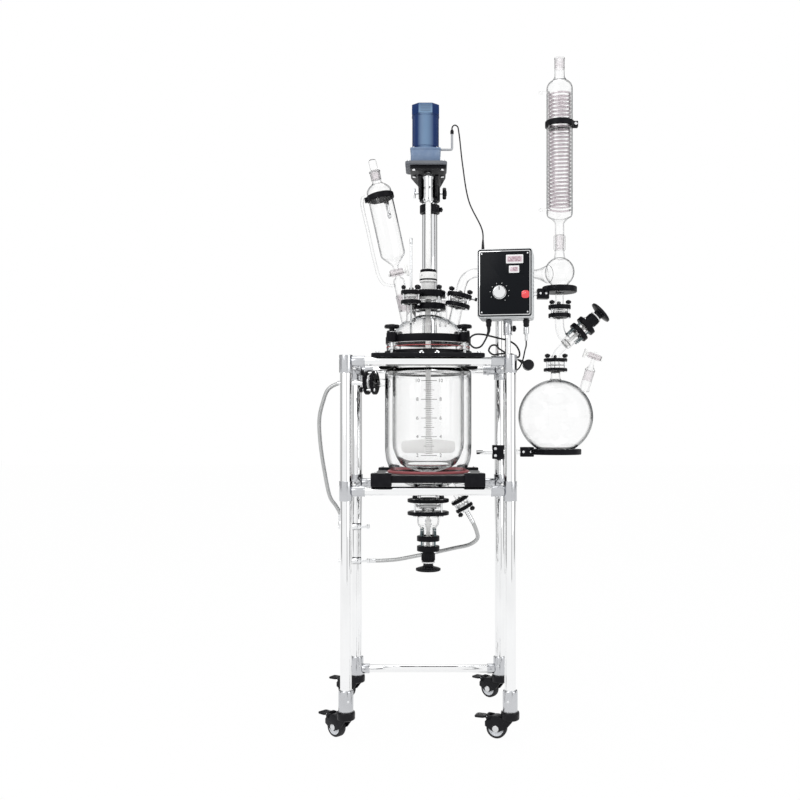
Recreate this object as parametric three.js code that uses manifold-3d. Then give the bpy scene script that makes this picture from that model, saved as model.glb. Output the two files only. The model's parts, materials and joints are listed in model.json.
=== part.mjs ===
// Jacketed glass reactor on a castor frame: vessel, lid, stirring drive, dropping funnel,
// condenser line with receiving flask, discharge valve and speed controller.
// Millimetres, +Z up. The model is laid out about the vessel axis (X = 0, Y = 0, floor at Z = 0) and
// is shifted at the end so that its footprint is centred on the origin. The front faces -Y.

import * as THREE from 'three';
import { mergeVertices } from 'three/addons/utils/BufferGeometryUtils.js';
import Module from 'manifold-3d';

const wasm = await Module();
wasm.setup();

// ---------------------------------------------------------------- driving dimensions

const fit = 0.3;                    // gap between pieces that seat on each other
const wide = 16;                    // facets round a wide, a middling and a slim turned piece
const mid = 10;
const slim = 8;

// frame
const postSpanX = 460;
const postSpanY = 400;
const postDiameter = 32;
const postWall = 1.5;
const castorHeight = 80;
const socketDiameter = 42;
const socketHeight = 59;
const socketInsert = 50;
const castorStemDiameter = 11.4;
const railDiameter = 25;
const upperRailHeight = 1058;
const shelfRailHeight = 695;
const baseRailHeight = 98;
const sleeveWall = 2.4;
const sleeveAbove = 18;
const upperSleeveBelow = 32;
const shelfSleeveHalf = 28;
const railSocketDiameter = 31;
const railSocketReach = 53;
const baseCollarWidth = 20;
const extensionRodDiameter = 20;
const extensionRodHeight = 1330;
const extensionRodInset = 3.5;

// castors
const wheelRadius = 29;
const wheelWidth = 22;
const castorTrail = 38.6;
const castorHousingDiameter = 52;
const castorHousingHeight = 25;
const castorHoodGap = 4;
const castorHoodWall = 3;
const axleDiameter = 8;
const pedalReach = 101;
const pedalWidth = 34;
const pedalThickness = 6;
const pedalPinReach = 64;
const pedalPinHeight = 62;
const castorYaw = { frontRight: -20, frontLeft: -42, rearRight: -38, rearLeft: -30 };

// supports
const plateWidth = 320;
const plateOverhang = 12;
const plateThickness = 11.2;
const plateCorner = 22;
const collarDiameter = 262;
const collarFoot = 300;
const collarRise = 18.7;
const neckClearance = 5;
const lowerPlateThickness = 20;
const lowerPlateLift = 23;
const lugWidth = 58;
const lugRise = 7;
const lugDepth = 42;
const gasketHeight = 7;
const gasketWidth = 11;

// vessel
const vesselFlangeDiameter = 250;
const flangeThickness = 11;
const vesselNeckDiameter = 216;
const jacketDiameter = 260;
const glassWall = 5;
const innerDiameter = 206;
const jacketShoulderDrop = 49;
const innerBowlDepth = 66;
const drainBore = 30;
const outletDiameter = 61;
const outletWall = 5;
const outletFlangeDiameter = 80;
const outletFlangeThickness = 10;
const outletDrop = 57;
const portDiameter = 23;
const portBore = 17;
const upperPortDrop = 91;
const upperPortAngle = 15;
const upperPortJoint = 181;
const lowerPortAngle = 30;
const lowerPortX = 102;
const lowerPortDrop = 51;

// lid
const lidWall = 4;
const domeRadius = 104;
const domeHeight = 72;
const domeSpring = 16.7;
const lidRingHeight = 22;
const lugCircle = 135.2;
const lugAngle = 38.4;
const lidLugDiameter = 32;
const lidLugHeight = 31;
const lidBoltDiameter = 10;
const lidKnobDiameter = 46;
const lidKnobHeight = 11;
const lidKnobLift = 11;
const centreNeckDiameter = 49;
const centreNeckWall = 4;
const centreJointRise = 141.9;
const sideNeckWall = 3;
const thermoNeck = { x: -50, y: -67, diameter: 28, rise: 143 };
const vapourNeck = { x: 91.3, diameter: 34, tilt: 12, rise: 142.7 };
const funnelNeck = { x: -78.5, diameter: 38, tilt: -12.5, rise: 156.7 };
const wellRise = 175;
const wellGlandHeight = 24;
const stopperNeck = { x: 46, y: 62, diameter: 24, rise: 176, cap: 20 };

// joint clamps
const centreClamp = { outer: 104, ring: 19, half: 9.45, circle: 45, bolt: 7, knob: 18, lift: 5, count: 4 };
const thermoClamp = { outer: 60, ring: 12, half: 8, circle: 25.5, bolt: 5, knob: 14, lift: 4, count: 3 };
const vapourClamp = { outer: 75, ring: 13, half: 8, circle: 32, bolt: 6, knob: 18, lift: 4, count: 3 };
const bulbClamp = { outer: 71, ring: 13.5, half: 6.5, circle: 30, bolt: 6, knob: 18, lift: 4, count: 3 };
const flaskClamp = { outer: 75, ring: 10.5, half: 10, circle: 32, bolt: 6, knob: 18, lift: 4, count: 3 };
const outletClampSize = {
  outer: 125, ring: 10.5, half: 13.5, circle: 56, bolt: 6, knob: 16, lift: 3, count: 4,
};
const upperPortClampSize = {
  outer: 73, ring: 10, half: 6.5, circle: 31, bolt: 6, knob: 18, lift: 4, count: 3,
};
const lowerPortClampSize = {
  outer: 56, ring: 10, half: 8, circle: 23.5, bolt: 5, knob: 16, lift: 4, count: 3,
};
const knobHeight = 9;

// stirring drive
const columnDiameter = 48;
const columnX = 4.5;
const columnFootDiameter = 76;
const columnFootHeight = 10;
const driveHeight = 1650;
const bracketThickness = 10;
const bracketWidth = 106;
const bracketFront = 50;
const hubDiameter = 66;
const hubHeight = 51;
const columnCollarDiameter = 64;
const columnCollarHeight = 26;
const columnCollarDrop = 12;
const drivePlateWidth = 124;
const drivePlateThickness = 10;
const drivePlateOffset = -6;
const motorOffset = -8;
const gearboxWidth = 88;
const gearboxHeight = 44;
const motorDiameter = 80;
const motorHeight = 103;
const motorCapWidth = 81;
const motorCapHeight = 32;
const conduitDiameter = 7;
const shaftDiameter = 16;
const couplingDiameter = 27;
const couplingHeight = 84;
const couplingGap = 14;
const outputDiameter = 14;
const outputReach = 20;
const paddleWidth = 162;
const paddleHeight = 42;
const paddleThickness = 6;
const paddleFloorGap = 48;
const sealDiameter = 52;
const sealHeight = 30;
const sealNeckDiameter = 40;
const sealNeckHeight = 26;
const sealRingDiameter = 47;
const sealRingHeight = 9;

// dropping funnel, measured along its own axis from the neck joint
const funnelTubeDiameter = 33;
const funnelTubeLength = 50;
const funnelValveRise = 72;
const funnelBarrelDiameter = 22;
const funnelBarrelLength = 40;
const funnelKeyDiameter = 11;
const funnelKeyGrip = 32;
const funnelBodyDiameter = 75;
const funnelBodyStart = 123;
const funnelBodyEnd = 325;
const funnelSocketStart = 353;
const funnelSocketLength = 31;
const funnelSocketDiameter = 31;
const funnelGlassWall = 2.5;
const stopperDiameter = 23;
const stopperRise = 36;
const equaliserDiameter = 10;
const equaliserOffset = 58;
const funnelBandRise = 304;
const funnelBandHeight = 16;

// condenser line
const chainX = 418.4;
const chainY = 172;
const thinWall = 2.2;
const bulbRingHeight = 1303;
const bulbRingThickness = 19;
const bulbRingDiameter = 110;
const bulbDiameter = 94;
const bulbRise = 66;
const bulbTubeDiameter = 26;
const bulbJointDrop = 60;
const bulbSocketDiameter = 37;
const bulbSocketLength = 44;
const bulbSocketRise = 71;
const vapourTubeDiameter = 28;
const vapourBendRise = 85;
const condenserDiameter = 83;
const condenserLength = 402;
const condenserNeckGap = 69;
const condenserJointDiameter = 27;
const condenserTopNeck = 35;
const condenserTopJointLength = 34;
const condenserTopJointDiameter = 32;
const coilDiameter = 68;
const coilTube = 6;
const barbReach = 24;
const barbDiameter = 10;
const condenserBandHeight = 23;
const condenserBandDrop = 104;
const armRodDiameter = 15;

// receiving flask
const flaskX = 405.5;
const flaskDiameter = 237;
const flaskRingHeight = 791;
const flaskRingThickness = 12;
const flaskRingWidth = 26;
const flaskNeckDiameter = 29;
const flaskJointRise = 164.3;
const flaskSideNeckTilt = 17;
const flaskSideNeckX = 88;
const flaskSideNeckDiameter = 31;
const adapterTubeDiameter = 12;
const flaskBarrelDiameter = 19;
const flaskBarrelLength = 42;
const flaskKeyDiameter = 10;
const flaskKeyGrip = 28;
const flaskBlockReach = 31;
const flaskRodInset = 77;

// stem valves (discharge and diverter), measured along the stem from the ring
const valveRingDiameter = 68;
const valveRingThickness = 16;
const valveGap = 14;
const valveFlangeThickness = 16;
const bonnetDiameter = 42;
const bonnetLength = 32;
const bonnetSealThickness = 4;
const valveStemDiameter = 12;
const valveHeadDiameter = 27;
const valveTubeDiameter = 39;
const valveGlassFlange = 46;
const valveBoltCircle = 27.5;
const valveBoltDiameter = 6;
const valveBoltReach = 22;
const handwheelDiameter = 73;
const handwheelHeight = 23;
const outletBulbDiameter = 66;
const outletValveDrop = 90;
const diverterTilt = 42;
const diverterBodyLength = 56;
const diverterEndX = 14.2;
const diverterEndRise = 62.4;

// controller
const boxWidth = 151;
const boxHeight = 189;
const boxDepth = 100;
const boxYaw = -9;
const boxX = 218.6;
const boxRodDiameter = 16;
const boxRodHeight = 56;
const boxSleeveDiameter = 25;
const boxSleeveHeight = 43.7;
const boxRodInset = 6.7;
const panelInset = 6;
const speedKnobDiameter = 38;
const speedKnobDepth = 16;
const speedKnobX = -13.6;
const speedKnobRise = 68;
const displayLeft = 2;
const displayRight = 53;
const displayBottom = 118;
const displayTop = 173;
const rockerX = 57;
const rockerRise = 62;
const rockerWidth = 17;
const rockerHeight = 15;

// cords and hoses
const mainsCordDiameter = 5;
const motorCableDiameter = 4;
const sensorCableDiameter = 4;
const hoseDiameter = 12;
const plugDiameter = 31;
const plugDepth = 34;
const unionDiameter = 14;
const upperUnionHeight = 556;
const lowerUnionHeight = 447;

// ---------------------------------------------------------------- derived levels

const postRadius = postDiameter / 2;
const railRadius = railDiameter / 2;
const postTop = upperRailHeight + sleeveAbove;
const plateBottom = upperRailHeight + railRadius + fit;
const plateTop = plateBottom + plateThickness;
const collarTop = plateTop + collarRise;
const flangeBottom = collarTop + fit;
const flangeTop = flangeBottom + flangeThickness;
const lidBottom = flangeTop + fit;
const lidFlangeTop = lidBottom + flangeThickness;
const domeBase = lidFlangeTop + domeSpring;
const lowerPlateBottom = shelfRailHeight + lowerPlateLift;
const lowerPlateTop = lowerPlateBottom + lowerPlateThickness;
const seatLevel = lowerPlateTop;
const outletFlangeBottom = lowerPlateBottom - outletDrop - outletFlangeThickness - 13;
const neckRadius = vesselNeckDiameter / 2;
const jacketRadius = jacketDiameter / 2;
const seatRadius = jacketRadius - 21;
const innerRadius = innerDiameter / 2;
const centreJoint = lidBottom + centreJointRise;
const postX = postSpanX / 2;
const postY = postSpanY / 2;

// ---------------------------------------------------------------- geometry helpers

const zAxis = new THREE.Vector3(0, 0, 1);
const rad = THREE.MathUtils.degToRad;

function toSolid(geometry) {
  let merged = geometry;
  if (!geometry.userData.closed) {
    const bare = geometry.clone();
    for (const name of Object.keys(bare.attributes)) {
      if (name !== 'position') bare.deleteAttribute(name);
    }
    merged = mergeVertices(bare, 1e-4);
  }
  const position = merged.getAttribute('position');
  const index = merged.index.array;
  const corners = [];
  let volume = 0;
  const a = new THREE.Vector3();
  const b = new THREE.Vector3();
  const c = new THREE.Vector3();
  for (let i = 0; i < index.length; i += 3) {
    const [p, q, r] = [index[i], index[i + 1], index[i + 2]];
    if (p === q || q === r || r === p) continue;
    a.fromBufferAttribute(position, p);
    b.fromBufferAttribute(position, q);
    c.fromBufferAttribute(position, r);
    volume += a.dot(b.cross(c));
    corners.push(p, q, r);
  }
  if (volume < 0) corners.reverse();
  return new wasm.Manifold(new wasm.Mesh({
    numProp: 3,
    vertProperties: new Float32Array(position.array),
    triVerts: new Uint32Array(corners),
  }));
}

function fromSolid(solid) {
  const mesh = solid.getMesh();
  const geometry = new THREE.BufferGeometry();
  geometry.setAttribute('position', new THREE.BufferAttribute(new Float32Array(mesh.vertProperties), 3));
  geometry.setIndex(Array.from(mesh.triVerts));
  geometry.userData.closed = true;
  return geometry;
}

function join(...pieces) {
  let solid = toSolid(pieces[0]);
  for (const piece of pieces.slice(1)) solid = solid.add(toSolid(piece));
  return fromSolid(solid);
}

function cut(base, ...tools) {
  let solid = toSolid(base);
  for (const tool of tools) solid = solid.subtract(toSolid(tool));
  return fromSolid(solid);
}

// upright round bar between two levels
function rod(radius, bottom, top, segments = mid) {
  const geometry = new THREE.CylinderGeometry(radius, radius, top - bottom, segments);
  return geometry.rotateX(Math.PI / 2).translate(0, 0, (bottom + top) / 2);
}

// round bar between two points
function bar(from, to, radius, segments = mid) {
  const start = new THREE.Vector3(...from);
  const along = new THREE.Vector3(...to).sub(start);
  const length = along.length();
  const turn = new THREE.Quaternion().setFromUnitVectors(zAxis, along.normalize());
  return rod(radius, 0, length, segments).applyQuaternion(turn).translate(...start.toArray());
}

// solid of revolution about Z from [radius, level] pairs
function turned(profile, segments = wide) {
  const points = profile.map(([radius, level]) => new THREE.Vector2(radius, level));
  return new THREE.LatheGeometry(points, segments).rotateX(Math.PI / 2);
}

function ring(outer, inner, bottom, top, segments = wide) {
  const profile = [[inner, bottom], [outer, bottom], [outer, top], [inner, top], [inner, bottom]];
  return turned(profile, segments);
}

function block(x0, x1, y0, y1, z0, z1) {
  const geometry = new THREE.BoxGeometry(x1 - x0, y1 - y0, z1 - z0);
  return geometry.translate((x0 + x1) / 2, (y0 + y1) / 2, (z0 + z1) / 2);
}

// flat plate with the given outline between two levels
function plate(outline, bottom, top) {
  const shape = new THREE.Shape(outline.map(([x, y]) => new THREE.Vector2(x, y)));
  const geometry = new THREE.ExtrudeGeometry(shape, { depth: top - bottom, bevelEnabled: false });
  return geometry.translate(0, 0, bottom);
}

function roundedOutline(x0, x1, y0, y1, corner, steps = 4) {
  const outline = [];
  const centres = [
    [x1 - corner, y1 - corner, 0], [x0 + corner, y1 - corner, 90],
    [x0 + corner, y0 + corner, 180], [x1 - corner, y0 + corner, 270],
  ];
  for (const [cx, cy, start] of centres) {
    for (let i = 0; i <= steps; i += 1) {
      const angle = rad(start + 90 * i / steps);
      outline.push([cx + corner * Math.cos(angle), cy + corner * Math.sin(angle)]);
    }
  }
  return outline;
}

// round bar swept along a smooth curve through points
function sweep(points, radius, sides, steps) {
  const outline = [];
  for (let i = 0; i < sides; i += 1) {
    const angle = 2 * Math.PI * i / sides;
    outline.push(new THREE.Vector2(radius * Math.cos(angle), radius * Math.sin(angle)));
  }
  const extrudePath = new THREE.CatmullRomCurve3(points.map((point) => new THREE.Vector3(...point)));
  return new THREE.ExtrudeGeometry(new THREE.Shape(outline), { steps, bevelEnabled: false, extrudePath });
}

// star grip with rounded lobes
function star(radius, bottom, top, lobes = 4) {
  const outline = [];
  for (let i = 0; i < lobes * 2; i += 1) {
    const reach = i % 2 ? radius * 0.78 : radius;
    const angle = Math.PI * i / lobes;
    outline.push([reach * Math.cos(angle), reach * Math.sin(angle)]);
  }
  return plate(outline, bottom, top);
}

// turns a shape built along +Z to a direction and moves it to a point
function aim(geometry, origin, direction) {
  const turn = new THREE.Quaternion().setFromUnitVectors(zAxis, direction.clone().normalize());
  return geometry.clone().applyQuaternion(turn).translate(origin.x, origin.y, origin.z);
}

// direction in the XZ plane leaning by an angle from the vertical towards +X
function lean(degrees) {
  return new THREE.Vector3(Math.sin(rad(degrees)), 0, Math.cos(rad(degrees)));
}

function along(origin, direction, distance) {
  return origin.clone().addScaledVector(direction, distance);
}

// two clamp rings with bolts and star grips around a flanged joint at Z = 0
function jointClamp(size, boreLow, boreHigh, seatHigh = size.half) {
  const roundness = Math.cos(Math.PI / mid);
  const outer = size.outer / 2;
  const pieces = [
    ring(outer, boreLow / roundness, -size.half - size.ring, -size.half, mid),
    ring(outer, boreHigh / roundness, seatHigh, size.half + size.ring, mid),
  ];
  const top = size.half + size.ring + size.lift;
  for (let i = 0; i < size.count; i += 1) {
    const angle = 2 * Math.PI * (i + 0.5) / size.count - Math.PI / 2;
    const x = size.circle * Math.cos(angle);
    const y = size.circle * Math.sin(angle);
    pieces.push(rod(size.bolt / 2, -size.half - 1, top + 1, 4).translate(x, y, 0));
    pieces.push(star(size.knob / 2, top, top + knobHeight).translate(x, y, 0));
  }
  return join(...pieces);
}

// ---------------------------------------------------------------- assembly

const reactor = new THREE.Group();
const cordNodes = new Set();

function addMesh(name, geometry, look, parent = reactor) {
  const solid = fromSolid(toSolid(geometry));
  solid.computeVertexNormals();
  const mesh = new THREE.Mesh(solid, new THREE.MeshStandardMaterial(look));
  mesh.name = name;
  parent.add(mesh);
  return mesh;
}

const steel = { color: 0xe4e7ea, roughness: 0.32, metalness: 0.85 };
const castSteel = { color: 0xc6cacd, roughness: 0.4, metalness: 0.8 };
const chrome = { color: 0xd9dde0, roughness: 0.16, metalness: 1 };
const black = { color: 0x17181b, roughness: 0.45, metalness: 0 };
const darkCast = { color: 0x202226, roughness: 0.6, metalness: 0.2 };
const glass = { color: 0xeef4f5, roughness: 0.05, metalness: 0, transparent: true, opacity: 0.35 };
const ptfe = { color: 0xf4f4f1, roughness: 0.5, metalness: 0 };
const motorBlue = { color: 0x4f7fae, roughness: 0.4, metalness: 0.3 };
const boxGrey = { color: 0xdddfe0, roughness: 0.55, metalness: 0 };
const red = { color: 0xc8372d, roughness: 0.5, metalness: 0 };
const braid = { color: 0xb4b7b8, roughness: 0.5, metalness: 0.7 };

// ---------------------------------------------------------------- frame

const postBore = postRadius + fit;
const sleeveRadius = postBore + sleeveWall;
const stemBore = (castorStemDiameter / 2 + fit) / Math.cos(Math.PI / slim);

function post(x, y, top = postTop) {
  const shell = join(
    rod(postRadius, castorHeight, top, mid),
    rod(socketDiameter / 2, castorHeight, castorHeight + socketHeight, mid),
  );
  const hollow = rod(postRadius - postWall, castorHeight + socketInsert, top - postWall, slim);
  const stemHole = rod(stemBore, castorHeight - 1, castorHeight + socketInsert + 1, slim);
  return cut(shell, hollow, stemHole).translate(x, y, 0);
}

// four rails joined by corner sleeves around the posts
function railFrame(level, below, above) {
  const solids = [];
  const bores = [];
  for (const sx of [-1, 1]) {
    for (const sy of [-1, 1]) {
      const [x, y] = [sx * postX, sy * postY];
      solids.push(rod(sleeveRadius, level - below, level + above, mid).translate(x, y, 0));
      const endX = [x - sx * railSocketReach, y, level];
      const endY = [x, y - sy * railSocketReach, level];
      solids.push(bar([x, y, level], endX, railSocketDiameter / 2, slim));
      solids.push(bar([x, y, level], endY, railSocketDiameter / 2, slim));
      bores.push(rod(postBore, level - below - 1, level + above + 1, mid).translate(x, y, 0));
    }
  }
  for (const side of [-1, 1]) {
    const frontRail = [[-postX, side * postY, level], [postX, side * postY, level]];
    const sideRail = [[side * postX, -postY, level], [side * postX, postY, level]];
    for (const [from, to] of [frontRail, sideRail]) {
      solids.push(bar(from, to, railRadius, slim));
    }
  }
  return cut(join(...solids), ...bores);
}

addMesh('post_front_left', post(-postX, -postY), steel);

const boxRodX = postX - boxRodInset;
const boxBottom = postTop + boxRodHeight + boxSleeveHeight + fit;
addMesh('post_front_right', join(
  post(postX, -postY),
  rod(boxRodDiameter / 2, postTop - 1, postTop + boxRodHeight + 1, slim).translate(boxRodX, -postY, 0),
  rod(boxSleeveDiameter / 2, postTop + boxRodHeight, boxBottom - fit, mid).translate(boxRodX, -postY, 0),
), steel);

// pass-through union clipped to the front of the rear left post
const unionY = postY - postRadius - 4;
const unionLeft = -postX - 58;
const unionRight = -postX + 42;
function hoseUnion(level, elbow) {
  const pieces = [
    bar([unionLeft, unionY, level], [unionRight, unionY, level], unionDiameter / 2, 6),
    bar([-postX, unionY, level], [-postX, postY - 2, level], 9, 6),
  ];
  if (elbow) {
    pieces.push(bar([unionLeft + 7, unionY, level], [unionLeft + 7, unionY, level + 20], 7, 6));
  }
  return join(...pieces);
}

const rearRail = bar([-postX, postY, baseRailHeight], [postX, postY, baseRailHeight], railRadius, slim);
const baseCollarStart = postX - socketDiameter / 2 - baseCollarWidth;
const baseCollars = [-1, 1].map((side) => bar(
  [side * baseCollarStart, postY, baseRailHeight], [side * (postX - 4), postY, baseRailHeight],
  railSocketDiameter / 2, slim,
));
const rearStemHoles = [-1, 1].map((side) => (
  rod(stemBore, castorHeight - 1, castorHeight + socketInsert + 1, slim).translate(side * postX, postY, 0)
));
const rearHollow = [-1, 1].map((side) => rod(
  postRadius - postWall, castorHeight + socketInsert, postTop - postWall, slim,
).translate(side * postX, postY, 0));
const extensionX = postX - extensionRodInset;
addMesh('rear_post_frame', join(
  cut(
    join(post(-postX, postY), post(postX, postY), rearRail, ...baseCollars,
      hoseUnion(upperUnionHeight, true), hoseUnion(lowerUnionHeight, false)),
    ...rearStemHoles, ...rearHollow,
  ),
  rod(extensionRodDiameter / 2, postTop - 1, extensionRodHeight, mid).translate(extensionX, postY, 0),
), steel);

addMesh('upper_rail_frame', railFrame(upperRailHeight, upperSleeveBelow, sleeveAbove), castSteel);
addMesh('shelf_rail_frame', railFrame(shelfRailHeight, shelfSleeveHalf, shelfSleeveHalf), castSteel);

// ---------------------------------------------------------------- supports

const plateHalfX = plateWidth / 2;
const plateHalfY = postY + plateOverhang;
const plateOutline = roundedOutline(-plateHalfX, plateHalfX, -plateHalfY, plateHalfY, plateCorner);
const neckBore = neckRadius + neckClearance;
const lugPositions = [-1, 1].flatMap((sx) => [-1, 1].map((sy) => [
  sx * lugCircle * Math.cos(rad(lugAngle)), sy * lugCircle * Math.sin(rad(lugAngle)),
]));
const lidBoltHoles = lugPositions.map(([x, y]) => (
  rod(lidBoltDiameter / 2 + fit, plateBottom - 1, collarTop + 1, slim).translate(x, y, 0)
));
addMesh('upper_support_plate', cut(
  join(plate(plateOutline, plateBottom, plateTop), turned([
    [0, plateBottom + 1], [collarFoot / 2, plateBottom + 1], [collarFoot / 2, plateTop + 1],
    [collarDiameter / 2, collarTop - 3], [collarDiameter / 2, collarTop], [0, collarTop],
  ], wide)),
  rod(neckBore, plateBottom - 1, collarTop + 1, wide),
  ...lidBoltHoles,
), darkCast);

const lugCentre = plateHalfX - lugWidth / 2;
const lugs = [-1, 1].flatMap((sx) => [-1, 1].map((sy) => block(
  sx * lugCentre - lugWidth / 2, sx * lugCentre + lugWidth / 2,
  sy * postY - lugDepth / 2, sy * postY + lugDepth / 2,
  shelfRailHeight + railRadius + fit, lowerPlateTop + lugRise,
)));
const gasketTopRadius = seatRadius + gasketHeight * 11 / 17;
addMesh('lower_support_ring', cut(
  join(plate(plateOutline, lowerPlateBottom, lowerPlateTop), ...lugs,
    rod(seatRadius + gasketWidth + 3, lowerPlateTop - 1, lowerPlateTop + gasketHeight, wide)),
  turned([
    [0, lowerPlateBottom - 1], [seatRadius + 2 * fit, lowerPlateBottom - 1],
    [seatRadius + 2 * fit, seatLevel], [gasketTopRadius + 2 * fit, seatLevel + gasketHeight],
    [gasketTopRadius + 2 * fit, seatLevel + gasketHeight + 1], [0, seatLevel + gasketHeight + 1],
  ], wide),
), darkCast);

// ---------------------------------------------------------------- vessel

const upperPortLevel = flangeBottom - upperPortDrop;
const upperPortDirection = new THREE.Vector3(-Math.cos(rad(upperPortAngle)), Math.sin(rad(upperPortAngle)), 0);
const upperPortOrigin = new THREE.Vector3(0, 0, upperPortLevel);
const lowerPortDirection = new THREE.Vector3(Math.sin(rad(lowerPortAngle)), 0, -Math.cos(rad(lowerPortAngle)));
const lowerPortCentre = new THREE.Vector3(lowerPortX, 0, shelfRailHeight - lowerPortDrop);
const shoulderTop = flangeBottom - jacketShoulderDrop;
const innerFloor = seatLevel + 11;
const outletTop = lowerPlateBottom - 33;

const vesselOutside = turned([
  [0, flangeTop], [vesselFlangeDiameter / 2, flangeTop], [vesselFlangeDiameter / 2, flangeBottom],
  [neckRadius, flangeBottom], [neckRadius, shoulderTop],
  [jacketRadius - 5, shoulderTop - 9], [jacketRadius, shoulderTop - 19],
  [jacketRadius, seatLevel + 62], [jacketRadius - 4, seatLevel + 36],
  [gasketTopRadius, seatLevel + gasketHeight], [seatRadius, seatLevel],
  [78, seatLevel - 28], [40, seatLevel - 45],
  [outletDiameter / 2, outletTop], [outletDiameter / 2, outletFlangeBottom + outletFlangeThickness],
  [outletFlangeDiameter / 2, outletFlangeBottom + outletFlangeThickness],
  [outletFlangeDiameter / 2, outletFlangeBottom], [0, outletFlangeBottom],
], wide);

const vesselInside = turned([
  [0, flangeTop + 1], [innerRadius, flangeTop + 1], [innerRadius, innerFloor + innerBowlDepth],
  [innerRadius - 9, innerFloor + 37], [innerRadius - 34, innerFloor + 13],
  [drainBore / 2, innerFloor - 2], [drainBore / 2, outletTop + 6],
  [outletDiameter / 2 - outletWall, outletTop - 4],
  [outletDiameter / 2 - outletWall, outletFlangeBottom - 1], [0, outletFlangeBottom - 1],
], wide);

const bowlOuter = innerRadius + glassWall;
const drainOuter = drainBore / 2 + glassWall;
const shellInner = jacketRadius - glassWall;
const jacketSpace = turned([
  [bowlOuter, shoulderTop - 12], [shellInner, shoulderTop - 22],
  [shellInner, seatLevel + 62], [shellInner - 4, seatLevel + 38],
  [seatRadius - 4.5, seatLevel + 5], [76, seatLevel - 22], [40, seatLevel - 38],
  [drainOuter, seatLevel - 37], [drainOuter, innerFloor - 9], [innerRadius - 31, innerFloor + 7],
  [innerRadius - 4, innerFloor + 34], [bowlOuter, innerFloor + innerBowlDepth],
  [bowlOuter, shoulderTop - 12],
], wide);

// glass port with a flange whose face is at the joint plane
function portOutside(start, end, flangeRadius, thickness) {
  return join(rod(portDiameter / 2, start, end, mid), rod(flangeRadius, end - thickness, end, mid));
}

const upperFlangeRadius = upperPortClampSize.circle - upperPortClampSize.bolt / 2 - 1;
const upperFlangeThickness = upperPortClampSize.half - 1.5 * fit;
const lowerFlangeRadius = lowerPortClampSize.circle - lowerPortClampSize.bolt / 2 - 1;
const lowerFlangeThickness = lowerPortClampSize.half - 1.5 * fit;
const lowerPortStart = -75;
addMesh('reactor_vessel', cut(
  join(
    vesselOutside,
    aim(portOutside(jacketRadius - 3, upperPortJoint - fit / 2, upperFlangeRadius, upperFlangeThickness),
      upperPortOrigin, upperPortDirection),
    aim(portOutside(lowerPortStart, -fit / 2, lowerFlangeRadius, lowerFlangeThickness),
      lowerPortCentre, lowerPortDirection),
  ),
  vesselInside,
  jacketSpace,
  aim(rod(portBore / 2, shellInner - 8, upperPortJoint + 1, slim), upperPortOrigin, upperPortDirection),
  aim(rod(portBore / 2, lowerPortStart - 12, 1, slim), lowerPortCentre, lowerPortDirection),
), glass);

// ---------------------------------------------------------------- lid

function domeProfile(radius, height, base, stop) {
  const points = [];
  const steps = 5;
  const sweepAngle = Math.acos(stop / radius);
  for (let i = 0; i <= steps; i += 1) {
    const angle = sweepAngle * i / steps;
    points.push([radius * Math.cos(angle), base + height * Math.sin(angle)]);
  }
  return points;
}

const centreFlange = centreClamp.half - 1.5 * fit;
const centreFlangeRadius = centreClamp.circle - centreClamp.bolt / 2 - 1;
const centreNeckRadius = centreNeckDiameter / 2;
const domeOutside = turned([
  [0, lidBottom], [vesselFlangeDiameter / 2, lidBottom], [vesselFlangeDiameter / 2, lidFlangeTop],
  [domeRadius, lidFlangeTop], ...domeProfile(domeRadius, domeHeight, domeBase, centreNeckRadius + 1.5),
  [centreNeckRadius, domeBase + domeHeight + 4], [centreNeckRadius, centreJoint - centreFlange - fit / 2],
  [centreFlangeRadius, centreJoint - centreFlange - fit / 2], [centreFlangeRadius, centreJoint - fit / 2],
  [0, centreJoint - fit / 2],
], wide);
const domeInside = turned([
  [0, lidBottom - 1], [domeRadius - lidWall, lidBottom - 1],
  ...domeProfile(domeRadius - lidWall, domeHeight - lidWall, domeBase, centreNeckRadius - centreNeckWall),
  [centreNeckRadius - centreNeckWall, centreJoint + 1], [0, centreJoint + 1],
], wide);

const thermoJoint = new THREE.Vector3(thermoNeck.x, thermoNeck.y, lidBottom + thermoNeck.rise);
const vapourJoint = new THREE.Vector3(vapourNeck.x, 0, lidBottom + vapourNeck.rise);
const funnelJoint = new THREE.Vector3(funnelNeck.x, 0, lidBottom + funnelNeck.rise);
const stopperTop = new THREE.Vector3(stopperNeck.x, stopperNeck.y, lidBottom + stopperNeck.rise);
const vapourDirection = lean(vapourNeck.tilt);
const funnelDirection = lean(funnelNeck.tilt);

function neckFlange(clamp) {
  return { radius: clamp.circle - clamp.bolt / 2 - 1, thickness: clamp.half - 1.5 * fit };
}

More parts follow.
